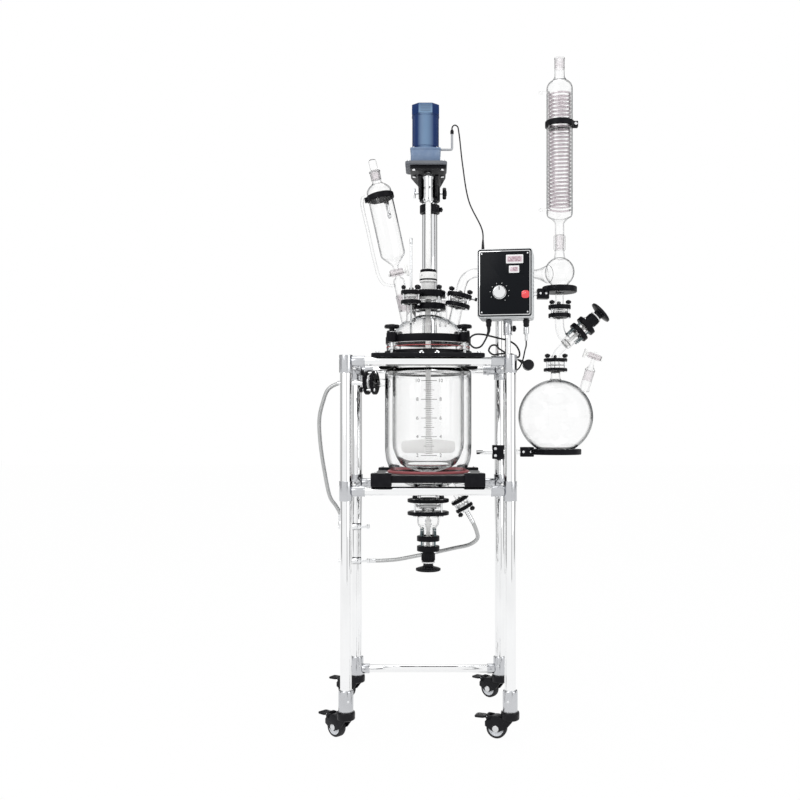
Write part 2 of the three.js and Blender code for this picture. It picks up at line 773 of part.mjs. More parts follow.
const thermoFlange = neckFlange(thermoClamp);
const vapourFlange = neckFlange(vapourClamp);
const lidNecks = [
  aim(join(rod(thermoNeck.diameter / 2, -88, -fit / 2, mid),
    rod(thermoFlange.radius, -thermoFlange.thickness - fit / 2, -fit / 2, mid)), thermoJoint, zAxis),
  aim(join(rod(vapourNeck.diameter / 2, -84, -fit / 2, mid),
    rod(vapourFlange.radius, -vapourFlange.thickness - fit / 2, -fit / 2, mid)),
  vapourJoint, vapourDirection),
  aim(rod(funnelNeck.diameter / 2, -96, -fit, mid), funnelJoint, funnelDirection),
  aim(turned([
    [0, -106], [stopperNeck.diameter / 2, -106], [stopperNeck.diameter / 2, -stopperNeck.cap - 14],
    [8, -stopperNeck.cap - 8], [8, -stopperNeck.cap], [13, -14], [13, -4], [10, 0], [0, 0],
  ], mid), stopperTop, zAxis),
];
const neckBores = [
  aim(rod(thermoNeck.diameter / 2 - sideNeckWall, -95, 1, mid), thermoJoint, zAxis),
  aim(rod(vapourNeck.diameter / 2 - sideNeckWall, -95, 1, mid), vapourJoint, vapourDirection),
  aim(rod(funnelTubeDiameter / 2 - 1, -110, 1, wide), funnelJoint, funnelDirection),
];
const lidShell = join(domeOutside, ...lidNecks);
addMesh('reactor_lid', cut(lidShell, domeInside, ...neckBores), glass);

const lidRingBottom = lidFlangeTop + fit;
const lidLugBottom = lidRingBottom - 3;
const lidLugTop = lidLugBottom + lidLugHeight;
const lidFlangeRadius = vesselFlangeDiameter / 2;
const lidClampPieces = [
  ring(lidFlangeRadius + 3, domeRadius + 4 * fit, lidRingBottom, lidRingBottom + lidRingHeight, wide),
];
for (const [x, y] of lugPositions) {
  const boltFoot = plateBottom + fit;
  lidClampPieces.push(
    rod(lidLugDiameter / 2, lidRingBottom, lidLugTop, mid).translate(x, y, 0),
    rod(lidBoltDiameter / 2, boltFoot, lidLugTop + lidKnobLift + 1, slim).translate(x, y, 0),
    rod(9, lidLugTop - 1, lidLugTop + lidKnobLift + 1, slim).translate(x, y, 0),
    star(lidKnobDiameter / 2, lidLugTop + lidKnobLift, lidLugTop + lidKnobLift + lidKnobHeight)
      .translate(x, y, 0),
  );
}
addMesh('lid_clamp', join(...lidClampPieces), black);

// thermowell with its neck clamp
const wellRadius = 3.25;
const wellTop = thermoJoint.z + wellRise;
addMesh('thermowell', join(
  jointClamp(thermoClamp, thermoNeck.diameter / 2 + fit, 10, thermoClamp.half - 1)
    .translate(...thermoJoint.toArray()),
  rod(thermoFlange.radius, fit / 2, thermoClamp.half, mid).translate(...thermoJoint.toArray()),
  rod(7, 0, wellGlandHeight, mid).translate(thermoJoint.x, thermoJoint.y, thermoJoint.z + fit),
  rod(wellRadius, lidBottom + 20, wellTop, 8).translate(thermoJoint.x, thermoJoint.y, 0),
), black);

// shaft seal housing with the centre clamp
const shaftBore = (shaftDiameter / 2 + fit) / Math.cos(Math.PI / mid);
const sealBase = centreClamp.half + centreClamp.ring;
const sealNeckTop = sealBase + sealNeckHeight;
const sealTop = sealNeckTop + sealHeight;
addMesh('seal_housing', cut(
  join(
    jointClamp(centreClamp, centreNeckRadius + fit, sealNeckDiameter / 2 - 2, centreClamp.half - 1),
    rod(centreFlangeRadius, fit / 2, centreClamp.half, wide),
    turned([
      [0, fit / 2], [sealNeckDiameter / 2, fit / 2], [sealNeckDiameter / 2, sealNeckTop],
      [sealDiameter / 2, sealNeckTop], [sealDiameter / 2, sealTop],
      [sealRingDiameter / 2, sealTop], [sealRingDiameter / 2, sealTop + sealRingHeight],
      [0, sealTop + sealRingHeight],
    ], wide),
  ),
  rod(shaftBore, -1, sealTop + sealRingHeight + 1, mid),
).translate(0, 0, centreJoint), ptfe);

// ---------------------------------------------------------------- stirring drive

const hubY = postY;
const hubBottom = driveHeight - hubHeight;
const columnBottom = plateTop + fit;
const columnTop = driveHeight - fit;
addMesh('motor_column', join(
  rod(columnDiameter / 2, columnBottom, columnTop, mid),
  rod(columnFootDiameter / 2, columnBottom, columnBottom + columnFootHeight, mid),
  rod(columnCollarDiameter / 2, hubBottom - columnCollarDrop - columnCollarHeight,
    hubBottom - columnCollarDrop, mid),
).translate(columnX, hubY, 0), chrome);

const couplingBore = couplingDiameter / 2 + 4;
const bracketTop = driveHeight - fit;
const ribHalf = 26;
const ribs = [-1, 1].map((side) => block(
  side * ribHalf - 5, side * ribHalf + 5, 26, hubY - 8, hubBottom + 6, bracketTop - 2,
));
addMesh('motor_bracket', cut(
  join(
    plate([
      [-bracketWidth / 2, -bracketFront], [bracketWidth / 2, -bracketFront], [bracketWidth / 2, 70],
      [hubDiameter / 2 + columnX, hubY - 12], [columnX - hubDiameter / 2, hubY - 12],
      [-bracketWidth / 2, 70],
    ], bracketTop - bracketThickness, bracketTop),
    rod(hubDiameter / 2, hubBottom, bracketTop, wide).translate(columnX, hubY, 0),
    ...ribs,
    bar([columnX - hubDiameter / 2 + 4, hubY, driveHeight - 24],
      [columnX - hubDiameter / 2 - 14, hubY, driveHeight - 24], 5, slim),
    bar([columnX + hubDiameter / 2 - 4, hubY, driveHeight - 24],
      [columnX + hubDiameter / 2 + 12, hubY, driveHeight - 24], 5, slim),
    star(19, 0, 12).rotateY(Math.PI / 2).translate(columnX + hubDiameter / 2 + 8, hubY, driveHeight - 24),
    block(columnX - hubDiameter / 2 - 19, columnX - hubDiameter / 2 - 12, hubY - 3, hubY + 3,
      driveHeight - 40, driveHeight - 8),
  ),
  rod(couplingBore, bracketTop - bracketThickness - 1, bracketTop + 1, mid),
  rod(columnDiameter / 2 + fit, hubBottom - 1, bracketTop + 1, mid).translate(columnX, hubY, 0),
), darkCast);

const drivePlateHalf = drivePlateWidth / 2;
const gearboxHalf = gearboxWidth / 2;
const gearboxTop = drivePlateThickness + gearboxHeight;
const motorTop = gearboxTop + motorHeight;
const capHalf = motorCapWidth / 2;
const capChamfer = 20;
const capOutline = [
  [capHalf, -capHalf + capChamfer], [capHalf, capHalf - capChamfer], [capHalf - capChamfer, capHalf],
  [-capHalf + capChamfer, capHalf], [-capHalf, capHalf - capChamfer], [-capHalf, -capHalf + capChamfer],
  [-capHalf + capChamfer, -capHalf], [capHalf - capChamfer, -capHalf],
];
const conduitLevel = gearboxTop + 5;
const conduitX = motorDiameter / 2 + 31.7;
const conduitTop = conduitLevel + 60;
addMesh('gear_motor', cut(
  join(
    plate(roundedOutline(-drivePlateHalf, drivePlateHalf, -drivePlateHalf, drivePlateHalf, 14, 2),
      0, drivePlateThickness).translate(drivePlateOffset, 0, 0),
    plate(roundedOutline(-gearboxHalf, gearboxHalf, -gearboxHalf, gearboxHalf, 6, 1),
      drivePlateThickness - 1, gearboxTop).translate(motorOffset, 0, 0),
    rod(motorDiameter / 2, gearboxTop - 1, motorTop + 1, wide).translate(motorOffset, 0, 0),
    rod(motorDiameter / 2 + 1.2, motorTop - 2, motorTop + 1, wide).translate(motorOffset, 0, 0),
    plate(capOutline, motorTop, motorTop + motorCapHeight).translate(motorOffset, 0, 0),
    bar([motorOffset + motorDiameter / 2 - 6, 0, conduitLevel], [conduitX, 0, conduitLevel], conduitDiameter / 2, slim),
    bar([conduitX, 0, conduitLevel - 3], [conduitX, 0, conduitTop], conduitDiameter / 2, slim),
  ),
  rod((outputDiameter / 2 + fit) / Math.cos(Math.PI / slim), -1, outputReach + 2, slim),
).translate(0, 0, driveHeight), motorBlue);

const couplingTop = driveHeight - couplingGap;
const couplingBottom = couplingTop - couplingHeight;
const paddleBottom = innerFloor + paddleFloorGap;
const blade = plate([
  [4, paddleBottom], [paddleWidth / 2 - 12, paddleBottom], [paddleWidth / 2, paddleBottom + 10],
  [paddleWidth / 2, paddleBottom + paddleHeight - 8], [4, paddleBottom + paddleHeight],
], -paddleThickness / 2, paddleThickness / 2).rotateX(Math.PI / 2);
const stirrer = addMesh('stirrer', join(
  turned([
    [0, paddleBottom - 2], [shaftDiameter / 2, paddleBottom - 2], [shaftDiameter / 2, couplingBottom],
    [couplingDiameter / 2, couplingBottom], [couplingDiameter / 2, couplingTop],
    [outputDiameter / 2, couplingTop], [outputDiameter / 2, driveHeight + outputReach],
    [0, driveHeight + outputReach],
  ], mid),
  blade,
  blade.clone().rotateZ(Math.PI),
).translate(0, 0, -couplingTop), ptfe);
stirrer.position.set(0, 0, couplingTop);

// ---------------------------------------------------------------- dropping funnel

const funnel = new THREE.Group();
funnel.position.copy(funnelJoint);
funnel.rotation.y = rad(funnelNeck.tilt);
reactor.add(funnel);

const funnelTubeRadius = funnelTubeDiameter / 2;
const funnelBodyRadius = funnelBodyDiameter / 2;
const funnelSocketEnd = funnelSocketStart + funnelSocketLength;
const funnelMale = funnelTubeRadius - 1 - fit;
const valveTop = funnelValveRise + 18;
const funnelOutside = turned([
  [0, -44], [funnelMale - 1, -44], [funnelMale, 0], [funnelTubeRadius + 1.5, 0],
  [funnelTubeRadius, 4], [funnelTubeRadius, funnelTubeLength],
  [7, funnelTubeLength + 8], [7, funnelValveRise], [9, valveTop],
  [funnelBodyRadius, funnelBodyStart], [funnelBodyRadius, funnelBodyEnd],
  [funnelBodyRadius - 8, funnelBodyEnd + 12], [13.5, funnelSocketStart - 5],
  [13.5, funnelSocketStart], [funnelSocketDiameter / 2, funnelSocketEnd], [0, funnelSocketEnd],
], wide);
const funnelInside = turned([
  [0, -46], [funnelMale - 4, -46], [funnelMale - 3, funnelTubeLength - 4], [3, funnelTubeLength + 6],
  [3, funnelValveRise], [4, valveTop], [funnelBodyRadius - funnelGlassWall, funnelBodyStart + 2],
  [funnelBodyRadius - funnelGlassWall, funnelBodyEnd - 1],
  [funnelBodyRadius - 10, funnelBodyEnd + 9], [10, funnelSocketStart - 6],
  [stopperDiameter / 2 - 0.5, funnelSocketStart + 2],
  [stopperDiameter / 2 + 0.5, funnelSocketEnd + 1], [0, funnelSocketEnd + 1],
], mid);
const equaliser = sweep([
  [-funnelBodyRadius + 8, 0, funnelBodyEnd - 12], [-funnelBodyRadius - 8, 0, funnelBodyEnd - 8],
  [-equaliserOffset, 0, funnelBodyEnd - 32], [-equaliserOffset, 0, 220], [-equaliserOffset, 0, 110],
  [-equaliserOffset + 4, 0, 62], [-funnelTubeRadius - 14, 0, 40], [-funnelTubeRadius + 6, 0, 34],
], equaliserDiameter / 2, 6, 12);
const funnelBand = join(
  ring(funnelBodyRadius + 4, funnelBodyRadius - 1, funnelBandRise - funnelBandHeight / 2,
    funnelBandRise + funnelBandHeight / 2, wide),
  block(8, 24, funnelBodyRadius - 1, funnelBodyRadius + 20, funnelBandRise - 10, funnelBandRise + 10),
  bar([16, funnelBodyRadius + 12, funnelBandRise - 30], [16, funnelBodyRadius + 12, funnelBandRise + 8],
    6, slim),
);
const keyBore = (funnelKeyDiameter / 2 + fit) / Math.cos(Math.PI / mid);
const funnelBarrel = bar([-funnelBarrelLength / 2, 0, funnelValveRise],
  [funnelBarrelLength / 2, 0, funnelValveRise], funnelBarrelDiameter / 2, mid);
addMesh('dropping_funnel', cut(
  join(funnelOutside, funnelBarrel, equaliser, funnelBand),
  funnelInside,
  bar([-funnelBarrelLength / 2 - 1, 0, funnelValveRise],
    [funnelBarrelLength / 2 + 1, 0, funnelValveRise], keyBore, mid),
), glass, funnel);

const stopperPlug = stopperDiameter / 2 - 0.5 - fit;
addMesh('funnel_stopper', turned([
  [0, funnelSocketStart + 4], [stopperPlug, funnelSocketStart + 4],
  [stopperPlug + 0.6, funnelSocketEnd], [stopperDiameter / 2 - 2, funnelSocketEnd + 4],
  [stopperDiameter / 2, funnelSocketEnd + 10], [stopperDiameter / 2, funnelSocketEnd + stopperRise - 4],
  [stopperDiameter / 2 - 4, funnelSocketEnd + stopperRise], [0, funnelSocketEnd + stopperRise],
], mid), glass, funnel);

// stopcock key built about its own axis (local X)
function stopcockKey(barrelLength, keyDiameter, gripLength) {
  const reach = barrelLength / 2;
  return join(
    bar([-reach - 6, 0, 0], [reach + 12, 0, 0], keyDiameter / 2, slim),
    bar([-reach - 6, 0, 0], [-reach - 2, 0, 0], keyDiameter / 2 + 2.5, slim),
    bar([reach + 11, 0, -gripLength / 2], [reach + 11, 0, gripLength / 2], 4.5, slim),
  );
}

const funnelKey = addMesh('funnel_key',
  stopcockKey(funnelBarrelLength, funnelKeyDiameter, funnelKeyGrip), ptfe, funnel);
funnelKey.position.set(0, 0, funnelValveRise);

// ---------------------------------------------------------------- condenser line

const bulbCentre = bulbRingHeight + bulbRise;
const bulbRadius = bulbDiameter / 2;
const bulbJointLevel = bulbRingHeight - bulbJointDrop;
const bulbTube = bulbTubeDiameter / 2;
const bulbSocketBottom = bulbCentre + bulbSocketRise;
const bulbSocketTop = bulbSocketBottom + bulbSocketLength;
const bulbFlange = neckFlange(bulbClamp);
const coneTop = [bulbRadius * Math.sin(rad(128)), bulbCentre + bulbRadius * Math.cos(rad(128))];
const coneFoot = bulbCentre - bulbRadius - 10;

function bulbArc(radius, fromDegrees, toDegrees, steps) {
  const points = [];
  for (let i = 0; i <= steps; i += 1) {
    const angle = rad(fromDegrees + (toDegrees - fromDegrees) * i / steps);
    points.push([radius * Math.sin(angle), bulbCentre + radius * Math.cos(angle)]);
  }
  return points;
}

const socketBore = (condenserJointDiameter / 2 + fit) / Math.cos(Math.PI / mid);
const bulbOutside = turned([
  [0, bulbJointLevel + fit / 2], [bulbFlange.radius, bulbJointLevel + fit / 2],
  [bulbFlange.radius, bulbJointLevel + fit / 2 + bulbFlange.thickness],
  [bulbTube, bulbJointLevel + fit / 2 + bulbFlange.thickness], [bulbTube, coneFoot],
  ...bulbArc(bulbRadius, 128, 20, 5), [15, bulbSocketBottom - 4],
  [bulbSocketDiameter / 2, bulbSocketBottom], [bulbSocketDiameter / 2, bulbSocketTop],
  [0, bulbSocketTop],
], wide).translate(chainX, chainY, 0);
const bulbInside = turned([
  [0, bulbJointLevel - 1], [bulbTube - thinWall, bulbJointLevel - 1], [bulbTube - thinWall, coneFoot],
  ...bulbArc(bulbRadius - thinWall, 128, 18, 4), [12, bulbSocketBottom - 4],
  [socketBore - 1, bulbSocketBottom], [socketBore, bulbSocketTop + 1], [0, bulbSocketTop + 1],
], mid).translate(chainX, chainY, 0);

const tubeEnd = new THREE.Vector3(chainX - bulbRadius + 3, chainY, bulbCentre - 7);
const tubeBend = new THREE.Vector3(130, 20, vapourJoint.z + vapourBendRise);
function vapourPath(start, finish) {
  const lift = (distance) => along(vapourJoint, vapourDirection, distance).toArray();
  const straight = (share) => tubeBend.clone().lerp(tubeEnd, share).toArray();
  return [
    lift(start), lift(24), lift(46), [tubeBend.x - 18, tubeBend.y - 10, tubeBend.z - 16],
    straight(0.03), straight(0.2), straight(0.45), straight(0.72), straight(finish),
  ];
}
const flareDirection = tubeEnd.clone().sub(tubeBend).normalize();
const vapourRadius = vapourTubeDiameter / 2;
const flare = aim(turned([
  [0, -50], [vapourRadius - 1, -50], [vapourRadius + 4, -28], [vapourRadius + 15, 4], [0, 4],
], mid), tubeEnd, flareDirection);
const flareInside = aim(turned([
  [0, -52], [vapourRadius - thinWall - 1, -52], [vapourRadius + 1, -27], [vapourRadius + 12, 5],
  [0, 5],
], mid), tubeEnd, flareDirection);
const vapourTubeFlange = aim(rod(vapourFlange.radius, fit / 2, fit / 2 + vapourFlange.thickness, mid),
  vapourJoint, vapourDirection);
addMesh('vapour_bulb', cut(
  join(bulbOutside, sweep(vapourPath(fit / 2, 1.0), vapourRadius, 8, 14), flare, vapourTubeFlange),
  bulbInside,
  sweep(vapourPath(-2, 1.02), vapourRadius - thinWall, 6, 14),
  flareInside,
), glass);

addMesh('vapour_clamp', aim(
  join(
    jointClamp(vapourClamp, vapourNeck.diameter / 2 + fit, vapourRadius + 2.5 * fit),
    bar([vapourClamp.outer / 2 - 2, 0, 14], [vapourClamp.outer / 2 + 17, 0, 14], 4, 8),
  ), vapourJoint, vapourDirection), black);

// bulb ring with its arm and the boss on the extension rod
const bulbRingTop = bulbRingHeight + bulbRingThickness;
const coneSlope = (coneTop[0] - bulbTube) / (coneTop[1] - coneFoot);
const armLevel = bulbRingHeight - 4;
const coneRadiusAt = (level) => bulbTube + Math.max(0, level - coneFoot) * coneSlope;
addMesh('bulb_ring', cut(
  join(
    rod(bulbRingDiameter / 2, bulbRingHeight, bulbRingTop, wide).translate(chainX, chainY, 0),
    block(chainX - 72, chainX - 34, chainY - 16, chainY + 16, armLevel - 16, armLevel + 16),
    bar([extensionX, chainY, armLevel], [chainX - 60, chainY, armLevel], armRodDiameter / 2, slim),
    rod(extensionRodDiameter / 2 + 11, armLevel - 16, armLevel + 16, mid).translate(extensionX, postY, 0),
    block(extensionX - 16, extensionX + 16, chainY - 12, postY, armLevel - 13, armLevel + 13),
  ),
  turned([
    [0, bulbRingHeight - 30], [coneRadiusAt(bulbRingHeight) + 2 * fit, bulbRingHeight - 30],
    [coneRadiusAt(bulbRingHeight) + 2 * fit, Math.max(coneFoot, bulbRingHeight)],
    [coneRadiusAt(bulbRingTop) + 2 * fit, bulbRingTop],
    [coneRadiusAt(bulbRingTop) + 2 * fit, bulbRingTop + 1], [0, bulbRingTop + 1],
  ], wide).translate(chainX, chainY, 0),
  rod(extensionRodDiameter / 2 + fit, armLevel - 40, armLevel + 40, mid).translate(extensionX, postY, 0),
), darkCast);

addMesh('bulb_joint_clamp', jointClamp(bulbClamp, 14.5 + 2 * fit, bulbTube + 2 * fit)
  .translate(chainX, chainY, bulbJointLevel), black);

// condenser with its coil, hose barbs and the clamp band around it
const condenserBottom = bulbSocketTop + condenserNeckGap;
const condenserTop = condenserBottom + condenserLength;
const condenserRadius = condenserDiameter / 2;
const topJointBottom = condenserTop + condenserTopNeck + 27;
const topJointTop = topJointBottom + condenserTopJointLength;
const condenserMale = condenserJointDiameter / 2;
const topJointRadius = condenserTopJointDiameter / 2;
const condenserOutside = turned([
  [0, bulbSocketBottom + 2], [condenserMale - 1, bulbSocketBottom + 2], [condenserMale, bulbSocketTop],
  [condenserMale + 0.8, bulbSocketTop + 3], [condenserMale + 0.8, condenserBottom - 30],
  [26, condenserBottom - 14], [condenserRadius, condenserBottom], [condenserRadius, condenserTop],
  [condenserRadius - 5, condenserTop + 14], [20, condenserTop + 28], [topJointRadius, condenserTop + 35],
  [topJointRadius, topJointTop], [0, topJointTop],
], wide);
const condenserInside = turned([
  [0, bulbSocketBottom + 1], [condenserMale - 3.5, bulbSocketBottom + 1],
  [condenserMale - 1.6, condenserBottom - 29], [24, condenserBottom - 12],
  [condenserRadius - thinWall, condenserBottom + 1], [condenserRadius - thinWall, condenserTop - 1],
  [condenserRadius - 7.5, condenserTop + 12], [18, condenserTop + 25.5],
  [topJointRadius - 2.5, condenserTop + 35], [topJointRadius - 2.5, topJointTop + 1],
  [0, topJointTop + 1],
], mid);
const coilRadius = coilDiameter / 2;
const coilBase = condenserBottom + 14;
const coilTop = condenserTop - 14;
const coil = ring(coilRadius + coilTube / 2, coilRadius - coilTube / 2, coilBase - coilTube,
  coilTop + coilTube, mid);
const barbs = [coilBase, coilTop].map((level) => join(
  bar([-condenserRadius - barbReach, 0, level], [-coilRadius + 2, 0, level], barbDiameter / 2 - 0.5, slim),
));
const bandTop = condenserTop - condenserBandDrop;
const condenserBand = join(
  ring(condenserRadius + 4.5, condenserRadius - 1, bandTop - condenserBandHeight, bandTop, wide),
  block(condenserRadius + 1, condenserRadius + 17, -7, 7, bandTop - condenserBandHeight + 2, bandTop - 2),
  bar([condenserRadius + 9, -14, bandTop - condenserBandHeight / 2],
    [condenserRadius + 9, 14, bandTop - condenserBandHeight / 2], 4, 8),
);
addMesh('condenser', join(
  cut(join(condenserOutside, condenserBand), condenserInside), coil, ...barbs,
).translate(chainX, chainY, 0), glass);

// ---------------------------------------------------------------- stem valves

const valveFlangeFront = valveRingThickness + valveGap;
const bonnetFront = valveFlangeFront + valveFlangeThickness;
const bonnetEnd = bonnetFront + bonnetLength;
const bonnetSealEnd = bonnetEnd + bonnetSealThickness;
const valveStemRadius = valveStemDiameter / 2;
const valveStemBore = valveStemRadius + fit;
const valveTubeRadius = valveTubeDiameter / 2;
const handwheelStart = bonnetSealEnd + 1;
const handwheelEnd = handwheelStart + handwheelHeight;

// ring on the glass, spring bolts, flange and tapered bonnet, along +Z from the ring
function valveBonnet() {
  const pieces = [
    ring(valveRingDiameter / 2, valveTubeRadius + 2 * fit, 0, valveRingThickness, wide),
    turned([
      [0, valveFlangeFront], [valveRingDiameter / 2, valveFlangeFront],
      [valveRingDiameter / 2, bonnetFront], [bonnetDiameter / 2, bonnetFront],
      [bonnetDiameter / 2 - 2, bonnetEnd], [bonnetDiameter / 2 - 1, bonnetEnd],
      [bonnetDiameter / 2 - 1, bonnetSealEnd], [0, bonnetSealEnd],
    ], wide),
  ];
  for (let i = 0; i < 4; i += 1) {
    const angle = Math.PI * (i + 0.5) / 2;
    const x = valveBoltCircle * Math.cos(angle);
    const y = valveBoltCircle * Math.sin(angle);
    pieces.push(rod(valveBoltDiameter / 2, -valveBoltReach, valveFlangeFront + 1, 4).translate(x, y, 0));
  }
  return cut(join(...pieces), rod(valveStemBore, valveFlangeFront - 1, bonnetSealEnd + 1, slim));
}

// glass end of a valve: tube through the ring and the flange behind it
function valveGlassEnd(start) {
  return join(
    rod(valveTubeRadius, start, valveFlangeFront - fit, mid),
    rod(valveGlassFlange / 2, valveRingThickness + fit, valveFlangeFront - fit, mid),
  );
}

function valveStem(headPosition) {
  const head = valveHeadDiameter / 2;
  return turned([
    [0, headPosition], [head - 6, headPosition], [head, headPosition + 8], [head, headPosition + 14],
    [valveStemRadius, headPosition + 18], [valveStemRadius, handwheelEnd - 9], [0, handwheelEnd - 9],
  ], slim);
}

const handwheel = turned([
  [0, handwheelEnd - 9 + fit], [valveStemRadius + fit, handwheelEnd - 9 + fit],
  [valveStemRadius + fit, handwheelStart], [15, handwheelStart], [15, handwheelStart + 8],
  [handwheelDiameter / 2 - 3, handwheelEnd - 9], [handwheelDiameter / 2, handwheelEnd - 7],
  [handwheelDiameter / 2, handwheelEnd - 3], [handwheelDiameter / 2 - 4, handwheelEnd], [0, handwheelEnd],
], wide);

// pieces of one valve in a group whose +Z runs along the stem
function addValve(name, group, headPosition) {
  addMesh(`${name}_bonnet`, valveBonnet(), black, group);
  addMesh(`${name}_stem`, valveStem(headPosition), ptfe, group);
  addMesh(`${name}_handwheel`, handwheel, black, group);
}

// discharge valve under the vessel
const outletJoint = outletFlangeBottom - fit;
const outletGroup = new THREE.Group();
outletGroup.position.set(0, 0, outletJoint - outletValveDrop);
outletGroup.rotation.x = Math.PI;
reactor.add(outletGroup);
const outletBulb = outletBulbDiameter / 2;
const outletSeat = outletValveDrop - 20;
const outletGlassOutside = join(
  turned([
    [0, -outletValveDrop], [outletFlangeDiameter / 2, -outletValveDrop],
    [outletFlangeDiameter / 2, -outletValveDrop + 16], [outletDiameter / 2, -outletValveDrop + 16],
    [outletDiameter / 2, -outletValveDrop + 27], [outletBulb, -outletValveDrop + 32],
    [outletBulb, -outletValveDrop + 50], [outletBulb - 5, -outletValveDrop + 62],
    [valveTubeRadius, -outletValveDrop + 72], [valveTubeRadius, 2], [0, 2],
  ], wide),
  valveGlassEnd(-4),
);
const spout = [[0, outletBulb - 10, -44], [0, outletBulb + 26, -26]];
const outletGlass = cut(
  join(outletGlassOutside, bar([0, -spout[0][1], spout[0][2]], [0, -spout[1][1], spout[1][2]], 12, slim)),
  turned([
    [0, -outletValveDrop - 1], [drainBore / 2, -outletValveDrop - 1], [drainBore / 2, -outletSeat + 6],
    [outletBulb - 3, -outletValveDrop + 36], [outletBulb - 3, -outletValveDrop + 50],
    [outletBulb - 8, -outletValveDrop + 61], [valveTubeRadius - 3, -outletValveDrop + 70],
    [valveTubeRadius - 3, valveFlangeFront + 1], [0, valveFlangeFront + 1],
  ], mid),
  bar([0, -spout[0][1] + 6, spout[0][2] - 3], [0, -spout[1][1] - 1, spout[1][2] + 0.5], 9.5, slim),
);
addMesh('outlet_glass', outletGlass, glass, outletGroup);
addValve('outlet', outletGroup, -outletSeat - 9);

addMesh('outlet_clamp', join(
  jointClamp(outletClampSize, outletDiameter / 2 + 2 * fit, outletDiameter / 2 + 2 * fit),
).translate(0, 0, outletFlangeBottom + outletFlangeThickness + fit - outletClampSize.half), black);

// diverter valve between the bulb and the flask
const flaskRadius = flaskDiameter / 2;
const flaskRingInner = 55.6;
const flaskCentre = flaskRingHeight + flaskRingThickness
  + Math.sqrt((flaskRadius + fit) ** 2 - flaskRingInner ** 2);
const flaskJointLevel = flaskCentre + flaskJointRise;
const diverterDirection = new THREE.Vector3(Math.cos(rad(diverterTilt)), 0, Math.sin(rad(diverterTilt)));
const diverterEnd = new THREE.Vector3(chainX + diverterEndX, chainY, flaskJointLevel + diverterEndRise);
const diverterGroup = new THREE.Group();
diverterGroup.position.copy(along(diverterEnd, diverterDirection, diverterBodyLength));
diverterGroup.quaternion.setFromUnitVectors(zAxis, diverterDirection);
reactor.add(diverterGroup);
addValve('diverter', diverterGroup, -diverterBodyLength + 3);

const flaskFlange = neckFlange(flaskClamp);
const inflow = (distance) => along(diverterEnd, diverterDirection, distance).toArray();
const upperTubePath = (top) => [
  [chainX, chainY, top], [chainX, chainY, bulbJointLevel - 30], [chainX + 1, chainY, bulbJointLevel - 52],
  [chainX + 9, chainY, bulbJointLevel - 76], inflow(18),
];
const lowerTubePath = (foot) => [
  inflow(6), [chainX + 4, chainY, diverterEnd.z - 12], [flaskX + 4, chainY, diverterEnd.z - 28],
  [flaskX, chainY, flaskJointLevel + 14], [flaskX, chainY, foot],
];
const upperGlassFlange = rod(bulbFlange.radius, bulbJointLevel - fit / 2 - bulbFlange.thickness,
  bulbJointLevel - fit / 2, mid).translate(chainX, chainY, 0);
const lowerGlassFlange = rod(flaskFlange.radius, flaskJointLevel + fit / 2,
  flaskJointLevel + fit / 2 + flaskFlange.thickness, mid).translate(flaskX, chainY, 0);
const diverterOrigin = diverterGroup.position;
const diverterBodyRadius = valveTubeRadius - 1.5;
addMesh('diverter_glass', cut(
  join(
    sweep(upperTubePath(bulbJointLevel - fit / 2), 14.5, 10, 8),
    sweep(lowerTubePath(flaskJointLevel + fit / 2), 12, 10, 7),
    upperGlassFlange, lowerGlassFlange,
    aim(rod(diverterBodyRadius, -diverterBodyLength, 0, mid), diverterOrigin, diverterDirection),
    aim(valveGlassEnd(-8), diverterOrigin, diverterDirection),
  ),
  aim(rod(diverterBodyRadius - 2.5, -diverterBodyLength + 2.5, valveFlangeFront + 1, mid),
    diverterOrigin, diverterDirection),
  sweep(upperTubePath(bulbJointLevel + 1), 12, 6, 8),
  sweep(lowerTubePath(flaskJointLevel - 1), 8, 6, 7),
), glass);

addMesh('flask_joint_clamp', jointClamp(flaskClamp, flaskNeckDiameter / 2 + fit, 12.5)
  .translate(flaskX, chainY, flaskJointLevel), black);

// ---------------------------------------------------------------- receiving flask

const flaskNeck = flaskNeckDiameter / 2;
function sphereProfile(radius, fromDegrees, toDegrees, steps) {
  const points = [];
  for (let i = 0; i <= steps; i += 1) {
    const angle = rad(fromDegrees + (toDegrees - fromDegrees) * i / steps);
    points.push([radius * Math.sin(angle), radius * Math.cos(angle)]);
  }
  return points;
}
const sideNeckDirection = lean(flaskSideNeckTilt);
const sideNeckBase = new THREE.Vector3(flaskSideNeckX, 0, 75);
const sideNeckTop = 96;
const barrelCentre = along(sideNeckBase, sideNeckDirection, sideNeckTop + 26);
const barrelDirection = new THREE.Vector3(Math.cos(rad(20)), 0, -Math.sin(rad(20)));
const barrelEnd = (share) => along(barrelCentre, barrelDirection, share * flaskBarrelLength / 2);
const flaskKeyBore = (flaskKeyDiameter / 2 + fit) / Math.cos(Math.PI / slim);
const ventTip = along(barrelCentre, sideNeckDirection, 16);
